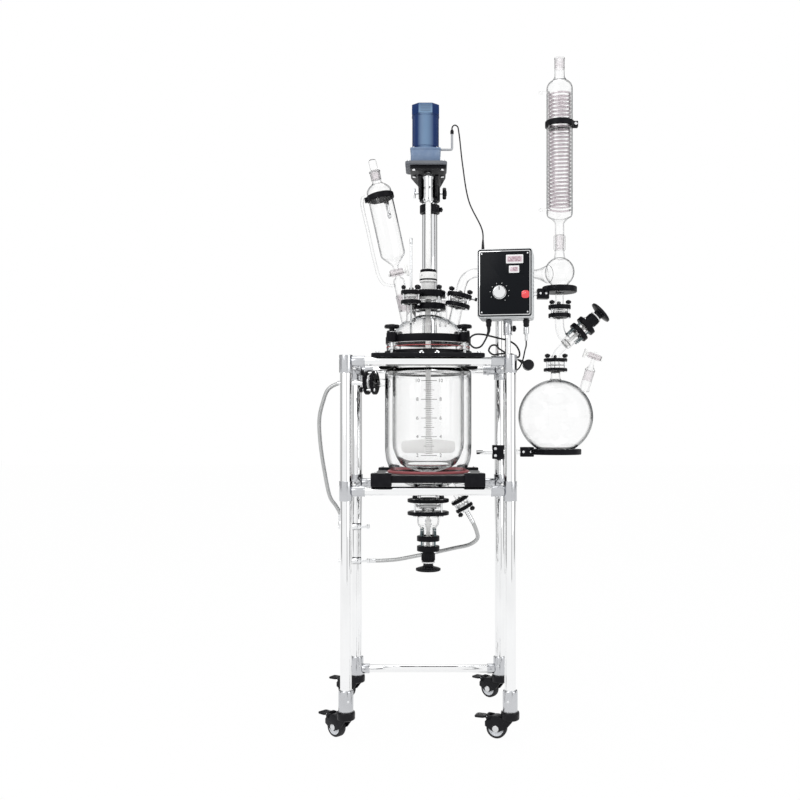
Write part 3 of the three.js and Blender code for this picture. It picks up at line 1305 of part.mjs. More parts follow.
addMesh('receiving_flask', cut(
  join(
    turned([[0, -flaskRadius], ...sphereProfile(flaskRadius, 172, 8, 8),
      [flaskNeck + 2, flaskRadius - 1], [flaskNeck, flaskRadius + 4],
      [flaskNeck, flaskJointRise - fit / 2 - flaskFlange.thickness],
      [flaskFlange.radius, flaskJointRise - fit / 2 - flaskFlange.thickness],
      [flaskFlange.radius, flaskJointRise - fit / 2], [0, flaskJointRise - fit / 2]], wide),
    aim(turned([[0, -8], [19, -8], [14, 22], [flaskSideNeckDiameter / 2, 40],
      [flaskSideNeckDiameter / 2, 74], [7, 92], [adapterTubeDiameter / 2, sideNeckTop + 26],
      [0, sideNeckTop + 26]], mid), sideNeckBase, sideNeckDirection),
    bar(barrelCentre.toArray(), ventTip.toArray(), 4.5, slim),
    bar(barrelEnd(-1).toArray(), barrelEnd(1).toArray(), flaskBarrelDiameter / 2, slim),
  ),
  turned([[0, -flaskRadius + 2.5], ...sphereProfile(flaskRadius - 4, 170, 10, 6),
    [flaskNeck - 2.5, flaskRadius], [flaskNeck - 2.5, flaskJointRise + 1], [0, flaskJointRise + 1]], mid),
  aim(turned([[0, -14], [12, -14], [11.5, 22], [12.5, 66], [3, 92], [3, sideNeckTop + 20],
    [0, sideNeckTop + 20]], slim), sideNeckBase, sideNeckDirection),
  bar(barrelEnd(-1.1).toArray(), barrelEnd(1.1).toArray(), flaskKeyBore, slim),
).translate(flaskX, chainY, flaskCentre), glass);

const flaskKey = addMesh('flask_key', stopcockKey(flaskBarrelLength, flaskKeyDiameter, flaskKeyGrip), ptfe);
flaskKey.position.set(flaskX, chainY, flaskCentre).add(barrelCentre);
flaskKey.quaternion.setFromUnitVectors(new THREE.Vector3(1, 0, 0), barrelDirection.clone().negate());

const flaskRodLevel = flaskRingHeight + 4;
const flaskRingOuter = flaskRingInner + flaskRingWidth;
const flaskRingX = flaskX - flaskRingOuter;
addMesh('flask_ring', cut(
  join(
    rod(flaskRingOuter, flaskRingHeight, flaskRingHeight + flaskRingThickness, wide)
      .translate(flaskX, chainY, 0),
    block(flaskRingX - flaskBlockReach, flaskRingX + 14, chainY - 14, chainY + 14, flaskRodLevel - 15,
      flaskRodLevel + 16),
    bar([postX - flaskRodInset, chainY, flaskRodLevel], [flaskRingX - 20, chainY, flaskRodLevel],
      armRodDiameter / 2, slim),
    rod(postRadius + 9, flaskRodLevel - 22, flaskRodLevel + 22, mid).translate(postX, postY, 0),
    block(postX - 26, postX + 10, chainY - 16, postY, flaskRodLevel - 22, flaskRodLevel + 22),
  ),
  rod(postRadius + fit, flaskRodLevel - 60, flaskRodLevel + 60, mid).translate(postX, postY, 0),
  rod(flaskRingInner, flaskRodLevel - 60, flaskRodLevel + 60, wide).translate(flaskX, chainY, 0),
), darkCast);

// ---------------------------------------------------------------- port clamps with hose tails

addMesh('upper_port_clamp', aim(join(
  jointClamp(upperPortClampSize, portDiameter / 2 + fit, 9, upperPortClampSize.half - 1),
  rod(upperFlangeRadius, fit / 2, upperPortClampSize.half, mid),
  rod(7.5, fit / 2, 88, slim),
), along(upperPortOrigin, upperPortDirection, upperPortJoint), upperPortDirection), black);

addMesh('lower_port_clamp', aim(join(
  jointClamp(lowerPortClampSize, portDiameter / 2 + fit, 9, lowerPortClampSize.half - 1),
  rod(lowerFlangeRadius, fit / 2, lowerPortClampSize.half, mid),
  rod(7.5, fit / 2, 46, slim),
), lowerPortCentre, lowerPortDirection), black);

// ---------------------------------------------------------------- controller

const box = new THREE.Group();
box.position.set(boxX, -postY, boxBottom);
box.rotation.z = rad(boxYaw);
reactor.add(box);
const boxHalf = boxWidth / 2;
const boxFront = -boxDepth / 2;
const glandX = -47.5;
const connectorX = 57;
const motorGlandX = -66;
addMesh('control_box', cut(
  join(
    plate(roundedOutline(-boxHalf, boxHalf, boxFront, -boxFront, 7, 2), 0, boxHeight),
    block(-boxHalf + panelInset, boxHalf - panelInset, boxFront - 2.5, boxFront + 2,
      panelInset + 2, boxHeight - panelInset - 2),
    block(displayLeft, displayRight, boxFront - 4, boxFront, displayBottom, displayTop),
    rod(8.5, -22, 1, slim).translate(glandX, -14, 0),
    rod(9, -24, 1, slim).translate(connectorX, -14, 0),
    rod(7.5, -44, 1, slim).translate(connectorX, -14, 0),
    rod(4, -62, -43, slim).translate(connectorX, -14, 0),
    rod(5.5, boxHeight - 1, boxHeight + 9, slim).translate(motorGlandX, 8, 0),
  ),
  bar([speedKnobX, boxFront - 6, speedKnobRise], [speedKnobX, boxFront + 14, speedKnobRise], 3.3, slim),
  block(rockerX - rockerWidth / 2 - fit, rockerX + rockerWidth / 2 + fit, boxFront - 6, boxFront + 14,
    rockerRise - rockerHeight / 2 - fit, rockerRise + rockerHeight / 2 + fit),
), boxGrey, box);

const speedKnob = addMesh('speed_knob', join(
  rod(speedKnobDiameter / 2, 0, speedKnobDepth, wide),
  rod(3, -14, 1, slim),
  block(-1.5, 1.5, 4, speedKnobDiameter / 2 - 2, speedKnobDepth - 1, speedKnobDepth + 0.8),
).rotateX(Math.PI / 2), chrome, box);
speedKnob.position.set(speedKnobX, boxFront - 2.5 - 1, speedKnobRise);

const rocker = addMesh('power_switch', plate([
  [-rockerHeight / 2, -1], [0, -3.2], [rockerHeight / 2, -1], [rockerHeight / 2 - 1.5, 4], [0, 7],
  [-rockerHeight / 2 + 1.5, 4],
], -rockerWidth / 2, rockerWidth / 2).rotateY(Math.PI / 2), red, box);
rocker.position.set(rockerX, boxFront + 1, rockerRise);

// ---------------------------------------------------------------- castors

const axleRadius = axleDiameter / 2;
const hoodInner = wheelRadius + castorHoodGap;
const hoodOuter = hoodInner + castorHoodWall;
const forkInner = wheelWidth / 2 + 1.5;
const forkOuter = forkInner + 3;
const housingTop = castorHeight - fit;
const housingBottom = housingTop - castorHousingHeight;

// flat outline in X and Z, given thickness across Y
function upright(outline, y0, y1) {
  return plate(outline, -y1, -y0).rotateX(Math.PI / 2);
}

// arc about the axle, in degrees from +X towards +Z
function axleArc(radius, from, to, steps) {
  const outline = [];
  for (let i = 0; i <= steps; i += 1) {
    const angle = rad(from + (to - from) * i / steps);
    outline.push([-castorTrail + radius * Math.cos(angle), wheelRadius + radius * Math.sin(angle)]);
  }
  return outline;
}

function castorFork() {
  const hood = [
    ...axleArc(hoodOuter, 148, 62, 4), [10, housingTop - 3], [12, housingBottom], [-8, wheelRadius + 2],
    [-castorTrail + 7, wheelRadius - 9], [-castorTrail - 9, wheelRadius - 8],
    [-castorTrail - hoodOuter + 5, wheelRadius + 6],
  ];
  const wheelSpace = [
    ...axleArc(hoodInner, 180, 0, 7), [-castorTrail + hoodInner, 0], [-castorTrail - hoodInner, 0],
  ];
  const ear = [
    [-pedalPinReach - 4, pedalPinHeight - 3], [-pedalPinReach - 1, pedalPinHeight + 4],
    [-pedalPinReach + 16, pedalPinHeight + 3], [-pedalPinReach + 12, pedalPinHeight - 10],
    [-pedalPinReach, pedalPinHeight - 12],
  ];
  return join(
    cut(
      join(upright(hood, -forkOuter, forkOuter), rod(castorHousingDiameter / 2, housingBottom, housingTop, mid)),
      upright(wheelSpace, -forkInner, forkInner),
    ),
    upright(ear, forkInner, forkOuter),
    upright(ear, -forkOuter, -forkInner),
    rod(castorStemDiameter / 2, housingTop - 1, castorHeight + socketInsert - 4, slim),
    bar([-castorTrail, -forkOuter - 1.5, wheelRadius], [-castorTrail, forkOuter + 1.5, wheelRadius],
      axleRadius, slim),
    bar([-pedalPinReach, -forkOuter, pedalPinHeight], [-pedalPinReach, forkOuter, pedalPinHeight], 2, 6),
  );
}

const forkGeometry = castorFork();
const wheelGeometry = cut(
  turned([
    [0, -wheelWidth / 2], [wheelRadius, -wheelWidth / 2], [wheelRadius, wheelWidth / 2],
    [0, wheelWidth / 2],
  ], 20),
  rod((axleRadius + fit) / Math.cos(Math.PI / slim), -wheelWidth, wheelWidth, slim),
).rotateX(Math.PI / 2);
const pedalTip = -pedalReach + pedalPinReach;
const pedalGeometry = cut(
  join(
    bar([0, -forkInner + 1, 0], [0, forkInner - 1, 0], 5, slim),
    plate(roundedOutline(pedalTip, pedalTip + 30, -pedalWidth / 2, pedalWidth / 2, 7, 2),
      -pedalThickness, 0),
    block(pedalTip + 20, 0, -forkInner + 1, forkInner - 1, -pedalThickness, -0.5),
  ),
  bar([0, -forkInner - 1, 0], [0, forkInner + 1, 0], 2 + 2 * fit, 6),
);

function addCastor(name, x, y, yaw) {
  const swivel = new THREE.Group();
  swivel.position.set(x, y, 0);
  swivel.rotation.z = rad(yaw);
  reactor.add(swivel);
  addMesh(`${name}_fork`, forkGeometry, black, swivel);
  const wheel = addMesh(`${name}_wheel`, wheelGeometry, black, swivel);
  wheel.position.set(-castorTrail, 0, wheelRadius);
  const pedal = addMesh(`${name}_pedal`, pedalGeometry, black, swivel);
  pedal.position.set(-pedalPinReach, 0, pedalPinHeight);
}

addCastor('castor_front_left', -postX, -postY, castorYaw.frontLeft);
addCastor('castor_front_right', postX, -postY, castorYaw.frontRight);
addCastor('castor_rear_left', -postX, postY, castorYaw.rearLeft);
addCastor('castor_rear_right', postX, postY, castorYaw.rearRight);

// ---------------------------------------------------------------- cords and hoses

box.updateMatrixWorld(true);
const boxPoint = (x, y, z) => box.localToWorld(new THREE.Vector3(x, y, z)).toArray();

function addCord(name, points, diameter, sides, steps, look) {
  cordNodes.add(name);
  return addMesh(name, sweep(points, diameter / 2, sides, steps), look);
}

const upperTail = along(upperPortOrigin, upperPortDirection, upperPortJoint + 88 + fit);
const unionElbow = [unionLeft + 7, unionY, upperUnionHeight + 20 + fit];
addCord('upper_jacket_hose', [
  upperTail.toArray(), along(upperTail, upperPortDirection, 14).toArray(),
  [-308, 76, upperPortLevel - 18], [-326, 84, upperPortLevel - 58], [-338, 92, upperPortLevel - 108],
  [-337, 105, upperPortLevel - 182], [-326, 124, upperPortLevel - 274],
  [-310, 146, upperPortLevel - 358], [-294, 172, unionElbow[2] + 46],
  [unionElbow[0], unionElbow[1], unionElbow[2] + 18], unionElbow,
], hoseDiameter, 8, 16, braid);

const lowerTail = along(lowerPortCentre, lowerPortDirection, 46 + fit);
const unionMouth = [unionRight + fit, unionY, lowerUnionHeight];
addCord('lower_jacket_hose', [
  lowerTail.toArray(), along(lowerTail, lowerPortDirection, 16).toArray(),
  [146, 16, lowerTail.z - 44], [150, 46, lowerTail.z - 70], [128, 76, lowerTail.z - 92],
  [80, 98, lowerTail.z - 106], [20, 118, lowerTail.z - 122], [-40, 138, lowerTail.z - 136],
  [-100, 160, lowerTail.z - 150], [unionMouth[0] + 34, unionMouth[1] - 4, unionMouth[2] + 1],
  [unionMouth[0] + 12, unionMouth[1], unionMouth[2]], unionMouth,
], hoseDiameter, 8, 16, braid);

addCord('motor_cable', [
  [conduitX, 0, driveHeight + conduitTop + fit], [conduitX + 0.4, -1, driveHeight + conduitTop + 7],
  [conduitX + 7, -6, driveHeight + conduitTop + 12], [conduitX + 16, -12, driveHeight + conduitTop + 6],
  [conduitX + 20, -18, driveHeight + conduitTop - 14], [conduitX + 30, -52, driveHeight + conduitTop - 120],
  [conduitX + 46, -110, driveHeight + conduitTop - 240],
  boxPoint(motorGlandX - 1, 8, boxHeight + 60), boxPoint(motorGlandX, 8, boxHeight + 26),
  boxPoint(motorGlandX, 8, boxHeight + 9 + fit),
], motorCableDiameter, 8, 32, black);

addCord('sensor_cable', [
  boxPoint(connectorX, -14, -62 - fit), boxPoint(connectorX, -14, -74),
  [272, -190, postTop + 12], [268, -172, postTop - 12], [260, -163, postTop - 32],
  [252, -168, postTop - 40], [247, -174.5, postTop - 42],
], sensorCableDiameter, 8, 12, black);

const plugCentre = new THREE.Vector3(281, -postY, upperRailHeight - 10);
const reliefStart = new THREE.Vector3(plugCentre.x - 25, plugCentre.y + 9, plugCentre.z + 14);
const reliefDirection = plugCentre.clone().sub(reliefStart).normalize();
const reliefMouth = along(reliefStart, reliefDirection, fit);
addCord('mains_cord', [
  boxPoint(glandX, -14, -22 - fit), boxPoint(glandX, -14, -34), [158, -214, postTop + 38],
  [146, -214, postTop + 22], [130, -214, postTop + 19], [117, -213, postTop + 30],
  [117, -212, postTop + 46], [130, -210, postTop + 56], [152, -207, postTop + 57],
  [178, -200, postTop + 52], [203, -189, postTop + 47], [226, -183, postTop + 42],
  [247, -183, postTop + 29], [258, -178, postTop + 10], [257, -164, postTop - 3],
  [243, -150, postTop + 2], [222, -150, postTop + 10], [203, -162, postTop + 20],
  [190, -182, postTop + 29], [176, -198, postTop + 25], [170, -206, postTop + 11],
  [182, -204, postTop + 0.8], [202, -191, postTop + 4], [224, -179.5, postTop + 5],
  [242, -179, postTop + 1.5], along(reliefStart, reliefDirection, -7).toArray(), reliefStart.toArray(),
], mainsCordDiameter, 8, 42, black);

cordNodes.add('mains_plug');
addMesh('mains_plug', join(
  rod(plugDiameter / 2, -plugDepth / 2, plugDepth / 2, mid).rotateX(Math.PI / 2)
    .translate(...plugCentre.toArray()),
  bar(reliefMouth.toArray(), plugCentre.toArray(), 4.6, slim),
  bar([plugCentre.x - 9.5, plugCentre.y, plugCentre.z],
    [plugCentre.x - 9.5, plugCentre.y + plugDepth / 2 + 19, plugCentre.z], 2.4, 8),
  bar([plugCentre.x + 9.5, plugCentre.y, plugCentre.z],
    [plugCentre.x + 9.5, plugCentre.y + plugDepth / 2 + 19, plugCentre.z], 2.4, 8),
), black);

// ---------------------------------------------------------------- footprint centred on the origin

reactor.updateMatrixWorld(true);
const bounds = new THREE.Box3();
reactor.traverse((object) => {
  if (object.isMesh && !cordNodes.has(object.name)) bounds.expandByObject(object, true);
});
const centre = bounds.getCenter(new THREE.Vector3());
reactor.position.set(-centre.x, -centre.y, -bounds.min.z);

const assembly = new THREE.Group();
assembly.add(reactor);

export default assembly;
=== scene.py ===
import json
import math

import bpy
from bpy.props import FloatProperty, FloatVectorProperty, PointerProperty
from mathutils import Matrix, Vector


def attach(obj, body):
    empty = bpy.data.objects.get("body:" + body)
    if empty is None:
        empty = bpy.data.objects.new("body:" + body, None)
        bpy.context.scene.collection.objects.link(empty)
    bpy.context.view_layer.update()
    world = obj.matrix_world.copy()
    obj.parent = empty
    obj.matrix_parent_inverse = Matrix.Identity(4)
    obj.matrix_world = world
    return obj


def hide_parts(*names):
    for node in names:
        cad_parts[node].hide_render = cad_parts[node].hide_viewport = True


bl_info = {
    "name": "Jacketed Glass Reactor",
    "version": (1, 0, 0),
    "blender": (4, 5, 0),
    "location": "View3D > Sidebar > Reactor",
    "description": "Builds a floor-standing jacketed glass reactor around its packed frame",
    "category": "Add Mesh",
}

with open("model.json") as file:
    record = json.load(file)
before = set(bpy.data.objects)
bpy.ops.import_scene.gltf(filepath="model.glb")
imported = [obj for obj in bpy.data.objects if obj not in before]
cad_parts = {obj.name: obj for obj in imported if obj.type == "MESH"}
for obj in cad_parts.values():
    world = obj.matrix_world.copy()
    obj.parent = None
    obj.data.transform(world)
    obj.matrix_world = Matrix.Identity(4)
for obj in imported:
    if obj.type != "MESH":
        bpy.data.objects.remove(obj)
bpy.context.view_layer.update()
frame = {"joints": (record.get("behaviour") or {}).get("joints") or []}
joints = {joint["name"]: joint for joint in frame["joints"]}

MM = 0.001
shaft = joints["stirrer_spin"]["pos_m"]
VESSEL = Vector((shaft[0], shaft[1], 0.0))      # vessel axis at the floor, metres
Z = Vector((0, 0, 1))
TO_FRONT = (0, -1, 0)

# ------------------------------------------------------------------ sizes and colours


def length(name, description, default):
    return FloatProperty(name=name, description=description, default=default, min=0.0005, unit='LENGTH')


def colour(name, description, default):
    return FloatVectorProperty(name=name, description=description, default=default, size=3,
                               min=0, max=1, subtype='COLOR')


class ReactorSizes(bpy.types.PropertyGroup):
    """Driving sizes of the reactor, in metres"""
    post_diameter: length("Post", "Diameter of the upright posts", 0.032)
    rail_diameter: length("Rail", "Diameter of the rails", 0.025)
    post_span_x: length("Post span, width", "Distance between the posts' axes across the front", 0.460)
    post_span_y: length("Post span, depth", "Distance between the posts' axes from front to back", 0.400)
    jacket_diameter: length("Jacket", "Outer diameter of the vessel's jacket", 0.260)
    inner_diameter: length("Inner vessel", "Outer diameter of the inner vessel", 0.216)
    dome_radius: length("Lid dome", "Radius of the lid's glass dome", 0.104)
    shaft_diameter: length("Shaft", "Diameter of the stirrer shaft", 0.016)
    flask_diameter: length("Flask", "Outer diameter of the receiving flask", 0.237)
    condenser_diameter: length("Condenser", "Outer diameter of the condenser's body", 0.083)
    funnel_diameter: length("Funnel", "Outer diameter of the dropping funnel's body", 0.075)
    motor_diameter: length("Motor", "Diameter of the motor's body", 0.080)
    hose_diameter: length("Jacket hose", "Outer diameter of the braided hoses", 0.012)
    wheel_diameter: length("Castor wheel", "Diameter of the castors' wheels", 0.058)


class ReactorColours(bpy.types.PropertyGroup):
    """Base colours of the reactor's finishes"""
    steel: colour("Steel", "Polished stainless tube", (0.92, 0.925, 0.93))
    fitting: colour("Fittings", "Cast tube fittings", (0.60, 0.61, 0.63))
    casting: colour("Black castings", "Powder-coated clamps and plates", (0.006, 0.006, 0.008))
    plastic: colour("Black plastic", "Moulded knobs and handwheels", (0.007, 0.007, 0.009))
    polymer: colour("White polymer", "Fluoropolymer shaft and seals", (0.93, 0.93, 0.92))
    motor: colour("Motor", "Motor enamel", (0.17, 0.27, 0.41))
    gearbox: colour("Gearbox", "Gearbox enamel", (0.13, 0.20, 0.33))
    cabinet: colour("Controller", "Controller enamel", (0.62, 0.64, 0.65))
    gasket: colour("Gasket", "Silicone seals", (0.40, 0.10, 0.11))
    braid: colour("Hose braid", "Woven steel braid", (0.70, 0.71, 0.71))


# ------------------------------------------------------------------ shapes
# A shape is (points, faces) in millimetres about the vessel axis, with the floor at Z = 0.


def outward(points, faces):
    """The shape with its faces turned outwards"""
    volume = 0.0
    for face in faces:
        a = points[face[0]]
        for second, third in zip(face[1:-1], face[2:]):
            b, c = points[second], points[third]
            volume += (a[0] * (b[1] * c[2] - b[2] * c[1]) + a[1] * (b[2] * c[0] - b[0] * c[2])
                       + a[2] * (b[0] * c[1] - b[1] * c[0]))
    if volume < 0:
        faces = [tuple(reversed(face)) for face in faces]
    return points, faces


def soften(profile, radius):
    """The profile with its corners rounded by up to a radius"""
    closed = profile[0] == profile[-1]
    core = profile[:-1] if closed else profile
    count = len(core)
    out = []
    for i, here in enumerate(core):
        if not closed and i in (0, count - 1):
            out.append(here)
            continue
        before, after = core[i - 1], core[(i + 1) % count]
        u = (before[0] - here[0], before[1] - here[1])
        v = (after[0] - here[0], after[1] - here[1])
        lu, lv = math.hypot(*u), math.hypot(*v)
        if lu < 1e-6 or lv < 1e-6:
            continue
        bend = (u[0] * v[0] + u[1] * v[1]) / (lu * lv)
        if bend < -0.94:
            out.append(here)
            continue
        reach = min(radius, 0.42 * lu, 0.42 * lv)
        start = (here[0] + u[0] / lu * reach, here[1] + u[1] / lu * reach)
        end = (here[0] + v[0] / lv * reach, here[1] + v[1] / lv * reach)
        for t in (0.0, 0.33, 0.67, 1.0):
            a, b, c = (1 - t) ** 2, 2 * t * (1 - t), t * t
            out.append((a * start[0] + b * here[0] + c * end[0], a * start[1] + b * here[1] + c * end[1]))
    if closed:
        out.append(out[0])
    return out


def lathe(profile, steps=48, edge=0.0):
    """Solid of revolution about Z from (radius, level) pairs, which end on the axis or close on themselves"""
    if edge:
        profile = soften(profile, edge)
    closed = profile[0] == profile[-1] and profile[0][0] > 0
    rows = profile[:-1] if closed else profile
    points, faces, starts = [], [], []
    for radius, level in rows:
        starts.append(len(points))
        if radius < 1e-6:
            points.append((0.0, 0.0, level))
            continue
        for i in range(steps):
            angle = 2 * math.pi * i / steps
            points.append((radius * math.cos(angle), radius * math.sin(angle), level))
    links = [(i, i + 1) for i in range(len(rows) - 1)]
    if closed:
        links.append((len(rows) - 1, 0))
    for low, high in links:
        a, b = starts[low], starts[high]
        on_axis_a, on_axis_b = rows[low][0] < 1e-6, rows[high][0] < 1e-6
        if on_axis_a and on_axis_b:
            continue
        for i in range(steps):
            j = (i + 1) % steps
            if on_axis_a:
                faces.append((a, b + j, b + i))
            elif on_axis_b:
                faces.append((a + i, a + j, b))
            else:
                faces.append((a + i, a + j, b + j, b + i))
    return outward(points, faces)


def rod(radius, bottom, top, steps=32, edge=0.6):
    return lathe([(0, bottom), (radius, bottom), (radius, top), (0, top)], steps, min(edge, radius * 0.4))


def ring(outer, inner, bottom, top, steps=48, edge=1.0):
    profile = [(inner, bottom), (outer, bottom), (outer, top), (inner, top), (inner, bottom)]
    return lathe(profile, steps, edge)


def shell_profile(outer, wall):
    """Closed section of a glass wall inside an open outer profile given from one mouth to the other"""
    inner = []
    for i, (radius, level) in enumerate(outer):
        before, after = outer[max(i - 1, 0)], outer[min(i + 1, len(outer) - 1)]
        dr, dz = after[0] - before[0], after[1] - before[1]
        size = math.hypot(dr, dz) or 1.0
        inner.append((max(radius - wall * dz / size, 0.4), level + wall * dr / size))
    return outer + inner[::-1] + [outer[0]]


def spread(outline, distance):
    """The outline moved outwards along its corners' normals"""
    count = len(outline)
    out = []
    for i, here in enumerate(outline):
        before, after = outline[i - 1], outline[(i + 1) % count]
        dx, dy = after[0] - before[0], after[1] - before[1]
        size = math.hypot(dx, dy) or 1.0
        out.append((here[0] + distance * dy / size, here[1] - distance * dx / size))
    return out


def prism(outline, bottom, top, edge=0.8):
    """Upright block with the given counter-clockwise outline and softened edges"""
    edge = min(edge, abs(top - bottom) * 0.35)
    rows = [(bottom, -edge), (bottom + edge * 0.3, -edge * 0.3), (bottom + edge, 0.0),
            (top - edge, 0.0), (top - edge * 0.3, -edge * 0.3), (top, -edge)]
    points, faces = [], []
    count = len(outline)
    for level, grow in rows:
        points += [(x, y, level) for x, y in spread(outline, grow)]
    for row in range(len(rows) - 1):
        for i in range(count):
            j = (i + 1) % count
            a, b = row * count, (row + 1) * count
            faces.append((a + i, a + j, b + j, b + i))
    faces.append(tuple(reversed(range(count))))
    faces.append(tuple(range((len(rows) - 1) * count, len(rows) * count)))
    return outward(points, faces)


def rounded(x0, x1, y0, y1, corner, steps=5):
    """Counter-clockwise outline of a rectangle with round corners"""
    out = []
    centres = ((x1 - corner, y1 - corner, 0), (x0 + corner, y1 - corner, 90),
               (x0 + corner, y0 + corner, 180), (x1 - corner, y0 + corner, 270))
    for cx, cy, start in centres:
        for i in range(steps + 1):
            angle = math.radians(start + 90 * i / steps)
            out.append((cx + corner * math.cos(angle), cy + corner * math.sin(angle)))
    return out


def block(x0, x1, y0, y1, z0, z1, corner=1.5, edge=0.8):
    corner = min(corner, 0.45 * (x1 - x0), 0.45 * (y1 - y0))
    return prism(rounded(x0, x1, y0, y1, corner, 3), z0, z1, edge)


def lobed(radius, lobes=6, depth=0.13, steps=48):
    """Outline of a star grip with rounded lobes"""
    out = []
    for i in range(steps):
        angle = 2 * math.pi * i / steps
        wave = 0.5 - 0.5 * math.cos(lobes * angle)
        reach = radius * (1 - depth * wave ** 1.4)
        out.append((reach * math.cos(angle), reach * math.sin(angle)))
    return out


def grip(radius, bottom, top, lobes=6):
    """Star grip with a dished top"""
    body = prism(lobed(radius, lobes), bottom, top, (top - bottom) * 0.3)
    button = rod(radius * 0.42, top - 1, top + 1.6, 24, 0.8)
    return merge(body, button)


def hexagon(radius, bottom, top):
    outline = [(radius * math.cos(math.radians(60 * i)), radius * math.sin(math.radians(60 * i)))
               for i in range(6)]
    return prism(outline, bottom, top, 0.7)


def merge(*shapes):
    points, faces = [], []
    for some_points, some_faces in shapes:
        start = len(points)
        points += some_points
        faces += [tuple(start + i for i in face) for face in some_faces]
    return points, faces


def moved(shape, x=0.0, y=0.0, z=0.0, direction=None, spin=0.0):
    """The shape spun about Z, turned so that its Z runs along a direction, and moved"""
    turn = Matrix.Rotation(math.radians(spin), 3, 'Z')
    if direction is not None:
        turn = Z.rotation_difference(Vector(direction).normalized()).to_matrix() @ turn
    shift = Vector((x, y, z))
    points, faces = shape
    return [tuple(turn @ Vector(point) + shift) for point in points], faces


def at(shape, origin, direction=None, spin=0.0):
    return moved(shape, origin[0], origin[1], origin[2], direction, spin)


def bar(start, end, radius, steps=24, edge=0.5):
    start, end = Vector(start), Vector(end)
    return at(rod(radius, 0, (end - start).length, steps, edge), start, end - start)


def route(points, samples):
    """Evenly spaced points on a smooth curve through the given ones"""
    knots = [Vector(point) for point in points]
    ends = [2 * knots[0] - knots[1], *knots, 2 * knots[-1] - knots[-2]]
    fine = []
    for i in range(1, len(ends) - 2):
        p0, p1, p2, p3 = ends[i - 1:i + 3]
        t0 = 0.0
        t1 = t0 + max((p1 - p0).length, 1e-6) ** 0.5
        t2 = t1 + max((p2 - p1).length, 1e-6) ** 0.5
        t3 = t2 + max((p3 - p2).length, 1e-6) ** 0.5
        for step in range(12):
            t = t1 + (t2 - t1) * step / 12
            a1 = p0 * ((t1 - t) / (t1 - t0)) + p1 * ((t - t0) / (t1 - t0))
            a2 = p1 * ((t2 - t) / (t2 - t1)) + p2 * ((t - t1) / (t2 - t1))
            a3 = p2 * ((t3 - t) / (t3 - t2)) + p3 * ((t - t2) / (t3 - t2))
            b1 = a1 * ((t2 - t) / (t2 - t0)) + a2 * ((t - t0) / (t2 - t0))
            b2 = a2 * ((t3 - t) / (t3 - t1)) + a3 * ((t - t1) / (t3 - t1))
            fine.append(b1 * ((t2 - t) / (t2 - t1)) + b2 * ((t - t1) / (t2 - t1)))
    fine.append(knots[-1])
    runs = [0.0]
    for a, b in zip(fine, fine[1:]):
        runs.append(runs[-1] + (b - a).length)
    out, k = [], 0
    for step in range(samples + 1):
        goal = runs[-1] * step / samples
        while k < len(runs) - 2 and runs[k + 1] < goal:
            k += 1
        share = (goal - runs[k]) / max(runs[k + 1] - runs[k], 1e-9)
        out.append(fine[k].lerp(fine[k + 1], min(share, 1.0)))
    return out


def frames(path):
    """A direction and two crosswise directions at each point, without twist"""
    out = []
    side = None
    for i in range(len(path)):
        ahead = (path[min(i + 1, len(path) - 1)] - path[max(i - 1, 0)]).normalized()
        if side is None:
            side = ahead.orthogonal().normalized()
        side = (side - ahead * side.dot(ahead)).normalized()
        out.append((ahead, side, ahead.cross(side)))
    return out


def sweep(path, radii, sides=16, bore=None):
    """Round bar or, with a bore, tube along the path. radii is one value or one for each point"""
    count = len(path)
    outer = [radii] * count if isinstance(radii, (int, float)) else list(radii)
    crosses = frames(path)
    points, faces = [], []

    def loop(i, radius):
        start = len(points)
        _, side, up = crosses[i]
        for k in range(sides):
            angle = 2 * math.pi * k / sides
            points.append(tuple(path[i] + (side * math.cos(angle) + up * math.sin(angle)) * radius))
        return start

    def join(a, b):
        for k in range(sides):
            n = (k + 1) % sides
            faces.append((a + k, a + n, b + n, b + k))

    loops = [loop(i, outer[i]) for i in range(count)]
    if bore is not None:
        inner = [bore] * count if isinstance(bore, (int, float)) else list(bore)
        loops += [loop(i, inner[i]) for i in reversed(range(count))]
    for a, b in zip(loops, loops[1:]):
        join(a, b)
    if bore is not None:
        join(loops[-1], loops[0])
    else:
        faces.append(tuple(reversed(range(loops[0], loops[0] + sides))))
        faces.append(tuple(range(loops[-1], loops[-1] + sides)))
    return outward(points, faces)


def arc(centre, radius, start, end, steps, height=None):
    """Points on an arc about a centre, by angles in degrees. With a height the arc is part of an ellipse"""
    height = radius if height is None else height
    out = []
    for i in range(steps + 1):
        angle = math.radians(start + (end - start) * i / steps)
        out.append((centre[0] + radius * math.cos(angle), centre[1] + height * math.sin(angle)))
    return out


def lean(degrees):
    """Direction that leans to the right from straight up"""
    return Vector((math.sin(math.radians(degrees)), 0, math.cos(math.radians(degrees))))


def round_about(count, radius, start=0.0):
    """Evenly spaced (x, y) places on a circle, with their angles in degrees"""
    for i in range(count):
        angle = start + 360 * i / count
        yield radius * math.cos(math.radians(angle)), radius * math.sin(math.radians(angle)), angle


# ------------------------------------------------------------------ pieces


def placed(parts, place):
    """The (material, shape) parts with each shape put in its place"""
    return [(material, place(shape)) for material, shape in parts]


def corners(x, y):
    """The four (x, y) places at the corners of a rectangle about the vessel axis"""
    return [(side * x, end * y) for side in (-1, 1) for end in (-1, 1)]


